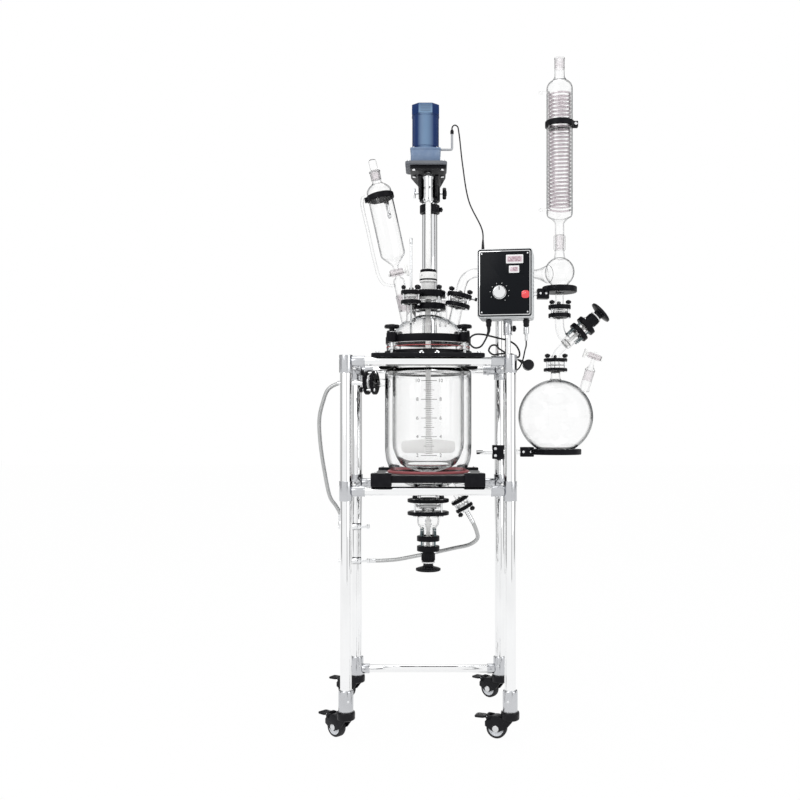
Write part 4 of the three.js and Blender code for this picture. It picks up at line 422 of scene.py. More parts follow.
def piece(name, parts, body="frame", stands_for=(), sharp=32.0):
    """One object from (material, shape) parts, smooth apart from its sharp edges"""
    points, faces, finishes, order = [], [], [], []
    for material, shape in parts:
        if material not in order:
            order.append(material)
        start = len(points)
        points += shape[0]
        faces += [tuple(start + i for i in face) for face in shape[1]]
        finishes += [order.index(material)] * len(shape[1])
    mesh = bpy.data.meshes.new(name)
    mesh.from_pydata([VESSEL + Vector(point) * MM for point in points], [], faces)
    mesh.polygons.foreach_set("use_smooth", [True] * len(faces))
    mesh.set_sharp_from_angle(angle=math.radians(sharp))
    for material in order:
        mesh.materials.append(FINISHES[material])
    mesh.polygons.foreach_set("material_index", finishes)
    mesh.update()
    thing = bpy.data.objects.new(name, mesh)
    bpy.context.scene.collection.objects.link(thing)
    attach(thing, body)
    if stands_for:
        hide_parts(*stands_for)
    return thing


# ------------------------------------------------------------------ shader groups

FINISHES = {}
GROUPS = {}


def shader_group(name, inputs, outputs):
    """New shader node group with float or colour sockets"""
    tree = bpy.data.node_groups.new(name, 'ShaderNodeTree')
    for label, kind, default in inputs:
        socket = tree.interface.new_socket(name=label, in_out='INPUT', socket_type=kind)
        socket.default_value = default
    for label, kind in outputs:
        tree.interface.new_socket(name=label, in_out='OUTPUT', socket_type=kind)
    GROUPS[name] = tree
    return tree, tree.nodes.new('NodeGroupInput'), tree.nodes.new('NodeGroupOutput')


def math_node(tree, operation, first, second=None, clamp=False):
    """Maths node with sockets or plain numbers as its operands"""
    node = tree.nodes.new('ShaderNodeMath')
    node.operation = operation
    node.use_clamp = clamp
    for socket, value in zip(node.inputs, (first, second)):
        if isinstance(value, (int, float)):
            socket.default_value = value
        elif value is not None:
            tree.links.new(value, socket)
    return node.outputs[0]


def mix_colour(tree, mode, factor, first, second):
    node = tree.nodes.new('ShaderNodeMix')
    node.data_type = 'RGBA'
    node.blend_type = mode
    for socket, value in zip((node.inputs[0], node.inputs[6], node.inputs[7]), (factor, first, second)):
        if isinstance(value, bpy.types.NodeSocket):
            tree.links.new(value, socket)
        elif isinstance(value, (int, float)):
            socket.default_value = value
        else:
            socket.default_value = (*value, 1.0)
    return node.outputs[2]


def noise(tree, vector, scale, detail=4.0, rough=0.55):
    node = tree.nodes.new('ShaderNodeTexNoise')
    node.inputs['Detail'].default_value = detail
    node.inputs['Roughness'].default_value = rough
    tree.links.new(vector, node.inputs['Vector'])
    if isinstance(scale, (int, float)):
        node.inputs['Scale'].default_value = scale
    else:
        tree.links.new(scale, node.inputs['Scale'])
    return node.outputs['Fac']


def remap(tree, value, low, high, to_low, to_high):
    node = tree.nodes.new('ShaderNodeMapRange')
    tree.links.new(value, node.inputs['Value'])
    for label, number in (('From Min', low), ('From Max', high), ('To Min', to_low), ('To Max', to_high)):
        if isinstance(number, (int, float)):
            node.inputs[label].default_value = number
        else:
            tree.links.new(number, node.inputs[label])
    return node.outputs[0]


def object_place(tree):
    """Place on the object, in metres from its origin"""
    return tree.nodes.new('ShaderNodeTexCoord').outputs['Object']


def make_grain():
    """Fine surface grain: uneven roughness and a low relief"""
    tree, given, result = shader_group('Surface Grain', [
        ('Scale', 'NodeSocketFloat', 300.0), ('Low Roughness', 'NodeSocketFloat', 0.3),
        ('High Roughness', 'NodeSocketFloat', 0.5), ('Relief', 'NodeSocketFloat', 1.0),
    ], [('Roughness', 'NodeSocketFloat'), ('Height', 'NodeSocketFloat')])
    place = object_place(tree)
    fine = noise(tree, place, given.outputs['Scale'], 3.0)
    broad = noise(tree, place, 9.0, 3.0)
    blend = math_node(tree, 'ADD', math_node(tree, 'MULTIPLY', fine, 0.45),
                      math_node(tree, 'MULTIPLY', broad, 0.55))
    rough = remap(tree, blend, 0.36, 0.64, given.outputs['Low Roughness'], given.outputs['High Roughness'])
    tree.links.new(rough, result.inputs['Roughness'])
    tree.links.new(math_node(tree, 'MULTIPLY', fine, given.outputs['Relief']), result.inputs['Height'])


def make_drawn():
    """Fine lines left by drawing or polishing along one axis"""
    tree, given, result = shader_group('Drawn Lines', [
        ('Density', 'NodeSocketFloat', 900.0), ('Strength', 'NodeSocketFloat', 0.5),
        ('Along X', 'NodeSocketFloat', 1.0), ('Along Y', 'NodeSocketFloat', 1.0),
        ('Along Z', 'NodeSocketFloat', 0.02),
    ], [('Mask', 'NodeSocketFloat')])
    stretch = tree.nodes.new('ShaderNodeCombineXYZ')
    for label, axis in zip(('Along X', 'Along Y', 'Along Z'), stretch.inputs):
        tree.links.new(given.outputs[label], axis)
    scaled = tree.nodes.new('ShaderNodeVectorMath')
    scaled.operation = 'MULTIPLY'
    tree.links.new(object_place(tree), scaled.inputs[0])
    tree.links.new(stretch.outputs[0], scaled.inputs[1])
    lines = noise(tree, scaled.outputs[0], given.outputs['Density'], 2.0)
    centred = math_node(tree, 'SUBTRACT', lines, 0.5)
    tree.links.new(math_node(tree, 'MULTIPLY', centred, given.outputs['Strength']), result.inputs['Mask'])


def make_wear():
    """Rubbed edges, broken up by a coarse noise"""
    tree, given, result = shader_group('Edge Wear', [
        ('Amount', 'NodeSocketFloat', 0.5), ('Patchiness', 'NodeSocketFloat', 60.0),
    ], [('Mask', 'NodeSocketFloat')])
    geometry = tree.nodes.new('ShaderNodeNewGeometry')
    edge = remap(tree, geometry.outputs['Pointiness'], 0.515, 0.60, 0.0, 1.0)
    patches = remap(tree, noise(tree, object_place(tree), given.outputs['Patchiness'], 4.0), 0.42, 0.62,
                    0.15, 1.0)
    worn = math_node(tree, 'MULTIPLY', edge, patches)
    tree.links.new(math_node(tree, 'MULTIPLY', worn, given.outputs['Amount'], True), result.inputs['Mask'])


def make_tone():
    """Slow drift of a colour over the surface"""
    tree, given, result = shader_group('Colour Drift', [
        ('Colour', 'NodeSocketColor', (0.5, 0.5, 0.5, 1)), ('Amount', 'NodeSocketFloat', 0.08),
        ('Scale', 'NodeSocketFloat', 14.0),
    ], [('Colour', 'NodeSocketColor')])
    drift = noise(tree, object_place(tree), given.outputs['Scale'], 5.0)
    shade = remap(tree, drift, 0.3, 0.7, 0.0, 1.0)
    dark = mix_colour(tree, 'MULTIPLY', 1.0, given.outputs['Colour'], (0.72, 0.72, 0.73))
    amount = math_node(tree, 'MULTIPLY', shade, given.outputs['Amount'])
    tree.links.new(mix_colour(tree, 'MIX', amount, given.outputs['Colour'], dark), result.inputs['Colour'])


def make_weave():
    """Braided wire strands wound both ways round a hose, from its own along and round coordinates"""
    tree, given, result = shader_group('Wire Braid', [
        ('Strands', 'NodeSocketFloat', 10.0), ('Pitch', 'NodeSocketFloat', 150.0),
    ], [('Height', 'NodeSocketFloat'), ('Mask', 'NodeSocketFloat')])
    split = tree.nodes.new('ShaderNodeSeparateXYZ')
    tree.links.new(tree.nodes.new('ShaderNodeTexCoord').outputs['UV'], split.inputs[0])
    run = math_node(tree, 'MULTIPLY', split.outputs[0], given.outputs['Pitch'])
    turn = math_node(tree, 'MULTIPLY', split.outputs[1], given.outputs['Strands'])
    waves = []
    for operation in ('ADD', 'SUBTRACT'):
        phase = math_node(tree, 'MULTIPLY', math_node(tree, operation, turn, run), 2 * math.pi)
        waves.append(math_node(tree, 'MULTIPLY',
                               math_node(tree, 'ADD', math_node(tree, 'SINE', phase), 1.0), 0.5))
    top = math_node(tree, 'MAXIMUM', waves[0], waves[1])
    tree.links.new(top, result.inputs['Height'])
    tree.links.new(math_node(tree, 'POWER', top, 1.6), result.inputs['Mask'])


def use_group(tree, name, **values):
    """Node that uses a shader group, with sockets or plain values as its inputs"""
    node = tree.nodes.new('ShaderNodeGroup')
    node.node_tree = GROUPS[name]
    for label, value in values.items():
        socket = node.inputs[label.replace('_', ' ')]
        if isinstance(value, bpy.types.NodeSocket):
            tree.links.new(value, socket)
        else:
            socket.default_value = value
    return node.outputs


# ------------------------------------------------------------------ materials


def new_material(name):
    material = bpy.data.materials.new(name)
    material.use_nodes = True
    tree = material.node_tree
    FINISHES[name] = material
    return tree, tree.nodes['Principled BSDF']


def bumped(tree, shader, height, strength, distance=0.0002):
    bump = tree.nodes.new('ShaderNodeBump')
    bump.inputs['Strength'].default_value = strength
    bump.inputs['Distance'].default_value = distance
    tree.links.new(height, bump.inputs['Height'])
    tree.links.new(bump.outputs[0], shader.inputs['Normal'])


# facing range over which a coated surface's rim colour paints shade where it turns away from the eye
EDGE_SHADE_RANGE = (0.01, 0.24)
# facing range over which glass takes its edge colour, a painted dark outline
GLASS_OUTLINE_SHADE_RANGE = (0.57, 0.78)


def edge_shade_mask(tree, low, high):
    """Mask for painted edge shade: nought where the surface faces the eye, one where it turns away from it"""
    weight = tree.nodes.new('ShaderNodeLayerWeight')
    weight.inputs['Blend'].default_value = 0.5
    return remap(tree, weight.outputs['Facing'], low, high, 0.0, 1.0)


def coated(name, base, roughness, grain=420.0, relief=0.35, drift=0.25, wear=0.0, worn=(0.5, 0.5, 0.5),
           metallic=0.0, specular=0.5, coat=0.0, rim=None):
    """Paint, powder coat or moulding: colour drift, grain in roughness and relief, rubbed edges, and with a
    rim colour, painted shade where the surface turns away from the eye
    """
    tree, shader = new_material(name)
    colour_out = use_group(tree, 'Colour Drift', Colour=(*base, 1), Amount=drift)['Colour']
    if wear:
        mask = use_group(tree, 'Edge Wear', Amount=wear)['Mask']
        colour_out = mix_colour(tree, 'MIX', mask, colour_out, worn)
    # rim: a darker colour mixed in away from the eye, as painted shade
    if rim:
        colour_out = mix_colour(tree, 'MIX', edge_shade_mask(tree, *EDGE_SHADE_RANGE), colour_out, rim)
    surface = use_group(tree, 'Surface Grain', Scale=grain, Low_Roughness=roughness[0],
                        High_Roughness=roughness[1])
    tree.links.new(colour_out, shader.inputs['Base Color'])
    tree.links.new(surface['Roughness'], shader.inputs['Roughness'])
    bumped(tree, shader, surface['Height'], relief)
    shader.inputs['Metallic'].default_value = metallic
    shader.inputs['Specular IOR Level'].default_value = specular
    shader.inputs['Coat Weight'].default_value = coat
    shader.inputs['Coat Roughness'].default_value = 0.08


def polished(name, base, roughness, lines=(1.0, 1.0, 0.02), density=700.0, streak=0.10, relief=0.04):
    """Bright metal with fine lines along one axis"""
    tree, shader = new_material(name)
    colour_out = use_group(tree, 'Colour Drift', Colour=(*base, 1), Amount=0.12)['Colour']
    marks = use_group(tree, 'Drawn Lines', Density=density, Strength=streak, Along_X=lines[0],
                      Along_Y=lines[1], Along_Z=lines[2])['Mask']
    surface = use_group(tree, 'Surface Grain', Scale=160.0, Low_Roughness=roughness[0],
                        High_Roughness=roughness[1])
    rough = math_node(tree, 'ADD', surface['Roughness'], marks, True)
    tree.links.new(colour_out, shader.inputs['Base Color'])
    tree.links.new(rough, shader.inputs['Roughness'])
    bumped(tree, shader, marks, relief)
    shader.inputs['Metallic'].default_value = 1.0


def clear_glass(name, tint, edge, roughness=0.0, index=1.30, shade=0.04):
    """Clear glass that lets most of the light through to what stands behind it, its colour turned to the edge
    colour where the surface turns away from the eye as a painted outline shade
    """
    tree, shader = new_material(name)
    light = tree.nodes.new('ShaderNodeLightPath')
    hidden = math_node(tree, 'MAXIMUM', light.outputs['Is Shadow Ray'], light.outputs['Is Diffuse Ray'])
    opaque = math_node(tree, 'SUBTRACT', 1.0, math_node(tree, 'MULTIPLY', hidden, 1.0 - shade))
    tree.links.new(opaque, shader.inputs['Alpha'])
    # edge: painted outline shade, mixed in where the glass turns away from the eye
    colour_out = mix_colour(tree, 'MIX', edge_shade_mask(tree, *GLASS_OUTLINE_SHADE_RANGE), tint, edge)
    tree.links.new(colour_out, shader.inputs['Base Color'])
    shader.inputs['Transmission Weight'].default_value = 1.0
    shader.inputs['IOR'].default_value = index
    if roughness:
        surface = use_group(tree, 'Surface Grain', Scale=900.0, Low_Roughness=roughness * 0.8,
                            High_Roughness=min(roughness * 1.2, 1.0))
        tree.links.new(surface['Roughness'], shader.inputs['Roughness'])
        bumped(tree, shader, surface['Height'], 0.25)
    else:
        surface = use_group(tree, 'Surface Grain', Scale=30.0, Low_Roughness=0.0, High_Roughness=0.012)
        tree.links.new(surface['Roughness'], shader.inputs['Roughness'])


def lit(name, base, glow, strength):
    """Display segments that shine"""
    tree, shader = new_material(name)
    surface = use_group(tree, 'Surface Grain', Scale=500.0, Low_Roughness=0.2, High_Roughness=0.35)
    tree.links.new(surface['Roughness'], shader.inputs['Roughness'])
    shader.inputs['Base Color'].default_value = (*base, 1)
    shader.inputs['Emission Color'].default_value = (*glow, 1)
    shader.inputs['Emission Strength'].default_value = strength


def make_braid(base):
    tree, shader = new_material('braid')
    strands = use_group(tree, 'Wire Braid')
    # dark: painted shade in the gaps between the strands, where the strand mask is low
    dark = tuple(value * 0.22 for value in base)
    colour_out = mix_colour(tree, 'MIX', strands['Mask'], dark, base)
    surface = use_group(tree, 'Surface Grain', Scale=500.0, Low_Roughness=0.28, High_Roughness=0.42)
    tree.links.new(colour_out, shader.inputs['Base Color'])
    tree.links.new(surface['Roughness'], shader.inputs['Roughness'])
    bumped(tree, shader, strands['Height'], 0.6, 0.0006)
    shader.inputs['Metallic'].default_value = 0.85


def make_finishes(colours):
    for build in (make_grain, make_drawn, make_wear, make_tone, make_weave):
        build()
    steel, casting, plastic = tuple(colours.steel), tuple(colours.casting), tuple(colours.plastic)
    polished('steel', steel, (0.03, 0.07), streak=0.05)
    polished('steel_x', steel, (0.03, 0.07), streak=0.05, lines=(0.02, 1.0, 1.0))
    polished('steel_y', steel, (0.03, 0.07), streak=0.05, lines=(1.0, 0.02, 1.0))
    polished('chrome', (0.84, 0.85, 0.86), (0.03, 0.10), streak=0.03)
    polished('turned_steel', (0.70, 0.71, 0.72), (0.16, 0.30), lines=(0.3, 0.3, 1.0), density=1400.0)
    # steel darkened to paint the shade of the fine spring coils, also used for the bolts and nuts inside them
    polished('spring_steel_painted_shade', (0.13, 0.17, 0.18), (0.20, 0.34))
    coated('fitting', tuple(colours.fitting), (0.10, 0.22), grain=500.0, relief=0.3, drift=0.45,
           metallic=1.0)
    coated('casting', casting, (0.30, 0.46), grain=520.0, relief=0.45, wear=0.18, worn=(0.04, 0.04, 0.045),
           specular=0.09)
    coated('plastic', plastic, (0.22, 0.38), grain=800.0, relief=0.25, wear=0.15, worn=(0.05, 0.05, 0.055),
           specular=0.16)
    coated('rubber', (0.014, 0.014, 0.016), (0.55, 0.75), grain=650.0, relief=0.6, wear=0.3,
           worn=(0.06, 0.06, 0.06), specular=0.25)
    coated('wheel_core', (0.72, 0.74, 0.77), (0.35, 0.5), relief=0.3)
    coated('polymer', tuple(colours.polymer), (0.34, 0.48), grain=260.0, relief=0.15, drift=0.12, coat=0.15)
    # the motor's rim colour is painted shade, darkening its body everywhere but where it faces the eye
    coated('motor', tuple(colours.motor), (0.28, 0.42), grain=380.0, relief=0.30, wear=0.2,
           worn=(0.25, 0.35, 0.48), specular=0.2, rim=(0.006, 0.026, 0.11))
    # motor enamel darkened to paint the shade in the vent slots and on the inset at the cap's top
    coated('motor_painted_shade', tuple(value * 0.55 for value in colours.motor), (0.35, 0.5), grain=380.0,
           relief=0.4)
    coated('gearbox', tuple(colours.gearbox), (0.32, 0.48), grain=420.0, relief=0.45, wear=0.25,
           worn=(0.5, 0.56, 0.62))
    coated('drive_plate', (0.14, 0.15, 0.17), (0.5, 0.7), grain=300.0, relief=0.9, drift=0.5)
    coated('cabinet', tuple(colours.cabinet), (0.42, 0.56), grain=700.0, relief=0.35, drift=0.1, wear=0.2,
           worn=(0.42, 0.43, 0.44))
    coated('panel', (0.006, 0.007, 0.009), (0.22, 0.34), grain=900.0, relief=0.15, specular=0.07)
    coated('gasket', tuple(colours.gasket), (0.42, 0.58), grain=400.0, relief=0.35, drift=0.35)
    coated('seal_red', (0.50, 0.05, 0.05), (0.35, 0.5), grain=400.0, relief=0.3)
    coated('rocker', (0.80, 0.05, 0.06), (0.10, 0.2), grain=400.0, relief=0.05, coat=0.6)
    coated('window', (0.58, 0.46, 0.51), (0.10, 0.18), grain=300.0, relief=0.03, coat=0.4)
    coated('white_trim', (0.78, 0.78, 0.78), (0.35, 0.5), relief=0.15)
    coated('print', (0.02, 0.02, 0.022), (0.4, 0.5), relief=0.1)
    coated('print_grey', (0.16, 0.16, 0.17), (0.4, 0.5), relief=0.1)
    coated('cable', (0.008, 0.008, 0.010), (0.38, 0.54), grain=600.0, relief=0.3, specular=0.25)
    coated('conduit', (0.42, 0.43, 0.45), (0.35, 0.5), grain=500.0, relief=0.3)
    lit('digits', (0.14, 0.06, 0.08), (0.6, 0.1, 0.12), 0.10)
    make_braid(tuple(colours.braid))
    # each glass's second colour is its painted outline shade at grazing angles
    clear_glass('glass', (0.998, 0.999, 0.999), (0.015, 0.018, 0.02))
    clear_glass('pale_glass', (0.998, 0.999, 0.999), (0.30, 0.32, 0.34))
    clear_glass('coil_glass', (0.80, 0.76, 0.78), (0.05, 0.045, 0.05))
    clear_glass('ground_glass', (0.90, 0.88, 0.89), (0.20, 0.20, 0.21), roughness=0.45)


# ------------------------------------------------------------------ placing


def flipped(shape, level):
    """The shape turned half a turn about X with its foot at a level, for the valve that hangs down"""
    points, faces = shape
    return [(px, -py, level - pz) for px, py, pz in points], faces


def inside_out(shape):
    points, faces = shape
    return points, [tuple(reversed(face)) for face in faces]


def upright(outline, y0, y1, edge=0.8):
    """Flat outline in X and Z with a thickness across Y"""
    area = sum(a[0] * b[1] - b[0] * a[1] for a, b in zip(outline, outline[1:] + outline[:1]))
    if area < 0:
        outline = outline[::-1]
    points, faces = prism(outline, -y1, -y0, edge)
    return [(px, -pz, py) for px, py, pz in points], faces


def along_x(shape, x=0.0, y=0.0, z=0.0):
    """The shape with its Z laid along X, and moved"""
    points, faces = shape
    return [(pz + x, py + y, z - px) for px, py, pz in points], faces


def towards_front(shape, x=0.0, y=0.0, z=0.0):
    """The shape with its Z facing the front (-Y), and moved"""
    points, faces = shape
    return [(px + x, y - pz, py + z) for px, py, pz in points], faces


def finer(outline, step=9.0):
    """The outline with its long sides divided"""
    out = []
    for a, b in zip(outline, outline[1:] + outline[:1]):
        parts = max(1, round(math.hypot(b[0] - a[0], b[1] - a[1]) / step))
        for i in range(parts):
            share = i / parts
            out.append((a[0] + (b[0] - a[0]) * share, a[1] + (b[1] - a[1]) * share))
    return out


def holed(outline, radius, bottom, top, edge=1.2):
    """Plate with the given outline and a round hole at its centre"""
    outline = finer(outline)
    count = len(outline)
    hole = []
    for x, y in outline:
        angle = math.atan2(y, x)
        hole.append((math.cos(angle), math.sin(angle)))
    rows = []
    for level, grow in ((bottom, -edge), (bottom + edge, 0), (top - edge, 0), (top, -edge)):
        rows.append([(x, y, level) for x, y in spread(outline, grow)])
    for level, grow in ((top, edge), (top - edge, 0), (bottom + edge, 0), (bottom, edge)):
        rows.append([(x * (radius + grow), y * (radius + grow), level) for x, y in hole])
    points = [point for row in rows for point in row]
    faces = []
    for row in range(len(rows)):
        a, b = row * count, ((row + 1) % len(rows)) * count
        for i in range(count):
            j = (i + 1) % count
            faces.append((a + i, a + j, b + j, b + i))
    return outward(points, faces)


def curve_through(points, steps=5):
    """Profile points with a smooth curve through them"""
    knots = [Vector((r, z, 0)) for r, z in points]
    ends = [2 * knots[0] - knots[1], *knots, 2 * knots[-1] - knots[-2]]
    out = []
    for i in range(1, len(ends) - 2):
        p0, p1, p2, p3 = ends[i - 1:i + 3]
        for step in range(steps):
            t = step / steps
            place = 0.5 * (2 * p1 + (p2 - p0) * t + (2 * p0 - 5 * p1 + 4 * p2 - p3) * t * t
                           + (3 * p1 - p0 - 3 * p2 + p3) * t ** 3)
            out.append((max(place.x, 0.0), place.y))
    out.append(points[-1])
    return out


def screw(x, y, level, radius=3.0, height=3.0):
    """Socket cap screw with its head up at a level"""
    head = ring(radius, radius * 0.52, level, level + height, 20, 0.3)
    floor = rod(radius * 0.6, level, level + height * 0.45, 12, 0.1)
    return moved(merge(head, floor), x, y)


def screw_at(place, way, radius, height):
    """Chrome screw that stands on a place with its head along a direction"""
    return ('chrome', at(screw(0, 0, 0, radius, height), place, way))


# clamp sizes, as in the record's nodes: outer diameter, ring thickness, half the gap between the rings,
# bolt circle radius, bolt diameter, grip diameter, grip lift, number of bolts
CENTRE = (104, 19, 9.45, 45, 7, 18, 5, 4)
THERMO = (60, 12, 8, 25.5, 5, 14, 4, 3)
VAPOUR = (75, 13, 8, 32, 6, 18, 4, 3)
BULB = (71, 13.5, 6.5, 30, 6, 18, 4, 3)
FLASK = (75, 10.5, 10, 32, 6, 18, 4, 3)
OUTLET = (125, 10.5, 13.5, 56, 6, 16, 3, 4)
UPPER_PORT = (73, 10, 6.5, 31, 6, 18, 4, 3)
LOWER_PORT = (56, 10, 8, 23.5, 5, 16, 4, 3)


def joint_clamp(size, bore_low, bore_high, place=lambda shape: shape, seal=0.0):
    """Two clamp rings with bolts, nuts and star grips around a flanged joint at Z = 0"""
    outer, thick, half, circle, bolt, knob, lift, count = size
    radius = outer / 2
    low = [(bore_low, -half - thick), (radius, -half - thick), (radius, -half - 1.5), (radius - 2.5, -half),
           (bore_low, -half), (bore_low, -half - thick)]
    high = [(bore_high, half), (radius - 2.5, half), (radius, half + 1.5), (radius, half + thick),
            (bore_high, half + thick), (bore_high, half)]
    parts = [('casting', lathe(low, 56, 1.6)), ('casting', lathe(high, 56, 1.6))]
    top = half + thick + lift
    for x, y, _ in round_about(count, circle, 180 / count - 90):
        parts += [
            ('chrome', moved(rod(bolt / 2, -half - thick - 4, top + 1, 20, 0.4), x, y)),
            ('chrome', moved(ring(bolt * 0.95, bolt / 2, half + thick, half + thick + 1.2, 20, 0.3), x, y)),
            ('chrome', moved(hexagon(bolt * 0.92, -half - thick - 3.6, -half - thick), x, y)),
            ('plastic', moved(rod(knob * 0.30, half + thick + 1.2, top + 0.5, 20, 0.4), x, y)),
            ('plastic', moved(grip(knob / 2, top, top + 9, 5), x, y)),
        ]
    if seal:
        parts.append(('white_trim', ring(circle - bolt / 2 - 0.5, bore_low + 1, -seal, seal, 48, 0.3)))
    return placed(parts, place)


# ------------------------------------------------------------------ stage


def strip_mask(tree, angle, low, high):
    """One between two angles in degrees, with soft ends"""
    rise = remap(tree, angle, math.radians(low - 4), math.radians(low + 4), 0.0, 1.0)
    fall = remap(tree, angle, math.radians(high - 4), math.radians(high + 4), 1.0, 0.0)
    return math_node(tree, 'MULTIPLY', rise, fall, True)


# brightness of the surroundings, and grey strips by angle in degrees from the front, with their darkness
DIFFUSE_LEVEL = 0.90
GLOSS_LEVEL = 1.0
SIDE_STRIP = (78, 104)
SIDE_DARKNESS = 0.72
THIN_STRIP = (22, 34)
THIN_DARKNESS = 0.70
OUTLINE_STRIP = (128, 170)
OUTLINE_DARKNESS = 0.85
# angles from the back between which light seen through glass falls off, and what is left of it
CLEAR_ANGLE = (34, 58)
EDGE_LEVEL = 0.55


def mix_value(tree, factor, first, second):
    """Mix node for single values, with sockets or plain numbers as its operands"""
    node = tree.nodes.new('ShaderNodeMix')
    for socket, value in zip((node.inputs[0], node.inputs[2], node.inputs[3]), (factor, first, second)):
        if isinstance(value, (int, float)):
            socket.default_value = value
        else:
            tree.links.new(value, socket)
    return node.outputs[0]


def make_world():
    """White all round, with grey strips at the sides that metal and glass pick up along their edges"""
    world = bpy.data.worlds.new('Studio')
    world.use_nodes = True
    tree = world.node_tree
    background = tree.nodes['Background']
    light = tree.nodes.new('ShaderNodeLightPath')
    split = tree.nodes.new('ShaderNodeSeparateXYZ')
    tree.links.new(tree.nodes.new('ShaderNodeTexCoord').outputs['Generated'], split.inputs[0])
    back = math_node(tree, 'ARCTAN2', math_node(tree, 'ABSOLUTE', split.outputs[0]), split.outputs[1])
    front = math_node(tree, 'SUBTRACT', math.pi, back)
    level = math_node(tree, 'ABSOLUTE', split.outputs[2])
    right = math_node(tree, 'GREATER_THAN', split.outputs[0], 0.0)
    side = math_node(tree, 'MULTIPLY', strip_mask(tree, front, *SIDE_STRIP), SIDE_DARKNESS)
    thin = math_node(tree, 'MULTIPLY', strip_mask(tree, front, *THIN_STRIP), right)
    thin = math_node(tree, 'MULTIPLY', thin, THIN_DARKNESS)
    outline = math_node(tree, 'MULTIPLY', strip_mask(tree, front, *OUTLINE_STRIP), OUTLINE_DARKNESS)
    strips = math_node(tree, 'ADD', math_node(tree, 'ADD', side, thin, True), outline, True)
    overhead = remap(tree, level, 0.75, 0.95, 1.0, 0.35)
    mirrored = math_node(tree, 'SUBTRACT', GLOSS_LEVEL, math_node(tree, 'MULTIPLY', strips, overhead))
    through = remap(tree, back, math.radians(CLEAR_ANGLE[0]), math.radians(CLEAR_ANGLE[1]), 1.0, EDGE_LEVEL)
    value = mix_value(tree, light.outputs['Is Glossy Ray'], DIFFUSE_LEVEL, mirrored)
    value = mix_value(tree, light.outputs['Is Transmission Ray'], value, through)
    value = mix_value(tree, light.outputs['Is Camera Ray'], value, 1.0)
    tree.links.new(value, background.inputs['Strength'])
    background.inputs['Color'].default_value = (1, 1, 1, 1)
    bpy.context.scene.world = world


# share of plain white in the floor, for the camera and for what mirrors or refracts it
FLOOR_SHARE = 0.975
FLOOR_MIRRORED = 0.85
FLOOR_REACH = 20.0


def make_floor():
    """Wide white floor that keeps only a faint contact shadow"""
    tree, shader = new_material('floor')
    tree.nodes.remove(shader)
    output = tree.nodes['Material Output']
    shade = tree.nodes.new('ShaderNodeBsdfDiffuse')
    surface = use_group(tree, 'Colour Drift', Colour=(0.86, 0.86, 0.86, 1), Amount=0.03, Scale=2.0)
    tree.links.new(surface['Colour'], shade.inputs['Color'])
    glow = tree.nodes.new('ShaderNodeEmission')
    glow.inputs['Strength'].default_value = 1.0
    light = tree.nodes.new('ShaderNodeLightPath')
    mirrored = math_node(tree, 'MAXIMUM', light.outputs['Is Glossy Ray'],
                         light.outputs['Is Transmission Ray'])
    share = math_node(tree, 'ADD', math_node(tree, 'MULTIPLY', light.outputs['Is Camera Ray'], FLOOR_SHARE),
                      math_node(tree, 'MULTIPLY', mirrored, FLOOR_MIRRORED), True)
    mix = tree.nodes.new('ShaderNodeMixShader')
    tree.links.new(share, mix.inputs[0])
    tree.links.new(shade.outputs[0], mix.inputs[1])
    tree.links.new(glow.outputs[0], mix.inputs[2])
    tree.links.new(mix.outputs[0], output.inputs['Surface'])
    mesh = bpy.data.meshes.new('floor')
    outline = [(x * FLOOR_REACH, y * FLOOR_REACH, 0) for x, y in ((-1, -1), (1, -1), (1, 1), (-1, 1))]
    mesh.from_pydata(outline, [], [(0, 1, 2, 3)])
    mesh.materials.append(FINISHES['floor'])
    floor = bpy.data.objects.new('floor', mesh)
    bpy.context.scene.collection.objects.link(floor)


def area_lamp(name, place, size, power, target):
    data = bpy.data.lights.new(name, 'AREA')
    data.energy = power
    data.size = size
    lamp = bpy.data.objects.new(name, data)
    lamp.location = place
    lamp.rotation_euler = (Vector(target) - Vector(place)).to_track_quat('-Z', 'Y').to_euler()
    bpy.context.scene.collection.objects.link(lamp)


CAMERA_PLACE = (-0.1187, -2.8875, 0.8716)
CAMERA_LENS = 43.02
CAMERA_SENSOR = 36.0
CAMERA_SHIFT = (-0.0383, 0.035)
# name, place and size in metres, power in watts, and the point each lamp faces
LAMPS = (
    ('key_lamp', (-2.2, -3.0, 3.0), 2.2, 42, (0, 0, 1.0)),
    ('fill_lamp', (2.8, -2.2, 2.0), 2.4, 22, (0, 0, 1.0)),
    ('top_lamp', (-0.2, 0.2, 4.2), 2.0, 26, (-0.126, 0, 0.9)),
)


class REACTOR_OT_stage(bpy.types.Operator):
    """Camera, soft lamps, white surroundings and floor, with the shared finishes"""
    bl_idname = "reactor.stage"
    bl_label = "Stage and Finishes"

    def execute(self, context):
        scene = context.scene
        data = bpy.data.cameras.new('Camera')
        data.lens = CAMERA_LENS
        data.sensor_width = CAMERA_SENSOR
        data.shift_x, data.shift_y = CAMERA_SHIFT
        camera = bpy.data.objects.new('Camera', data)
        camera.location = CAMERA_PLACE
        camera.rotation_euler = (math.pi / 2, 0, 0)
        scene.collection.objects.link(camera)
        scene.camera = camera
        scene.view_settings.view_transform = 'Standard'
        make_finishes(scene.reactor_colours)
        make_world()
        make_floor()
        for lamp in LAMPS:
            area_lamp(*lamp)
        return {'FINISHED'}


# ------------------------------------------------------------------ cords


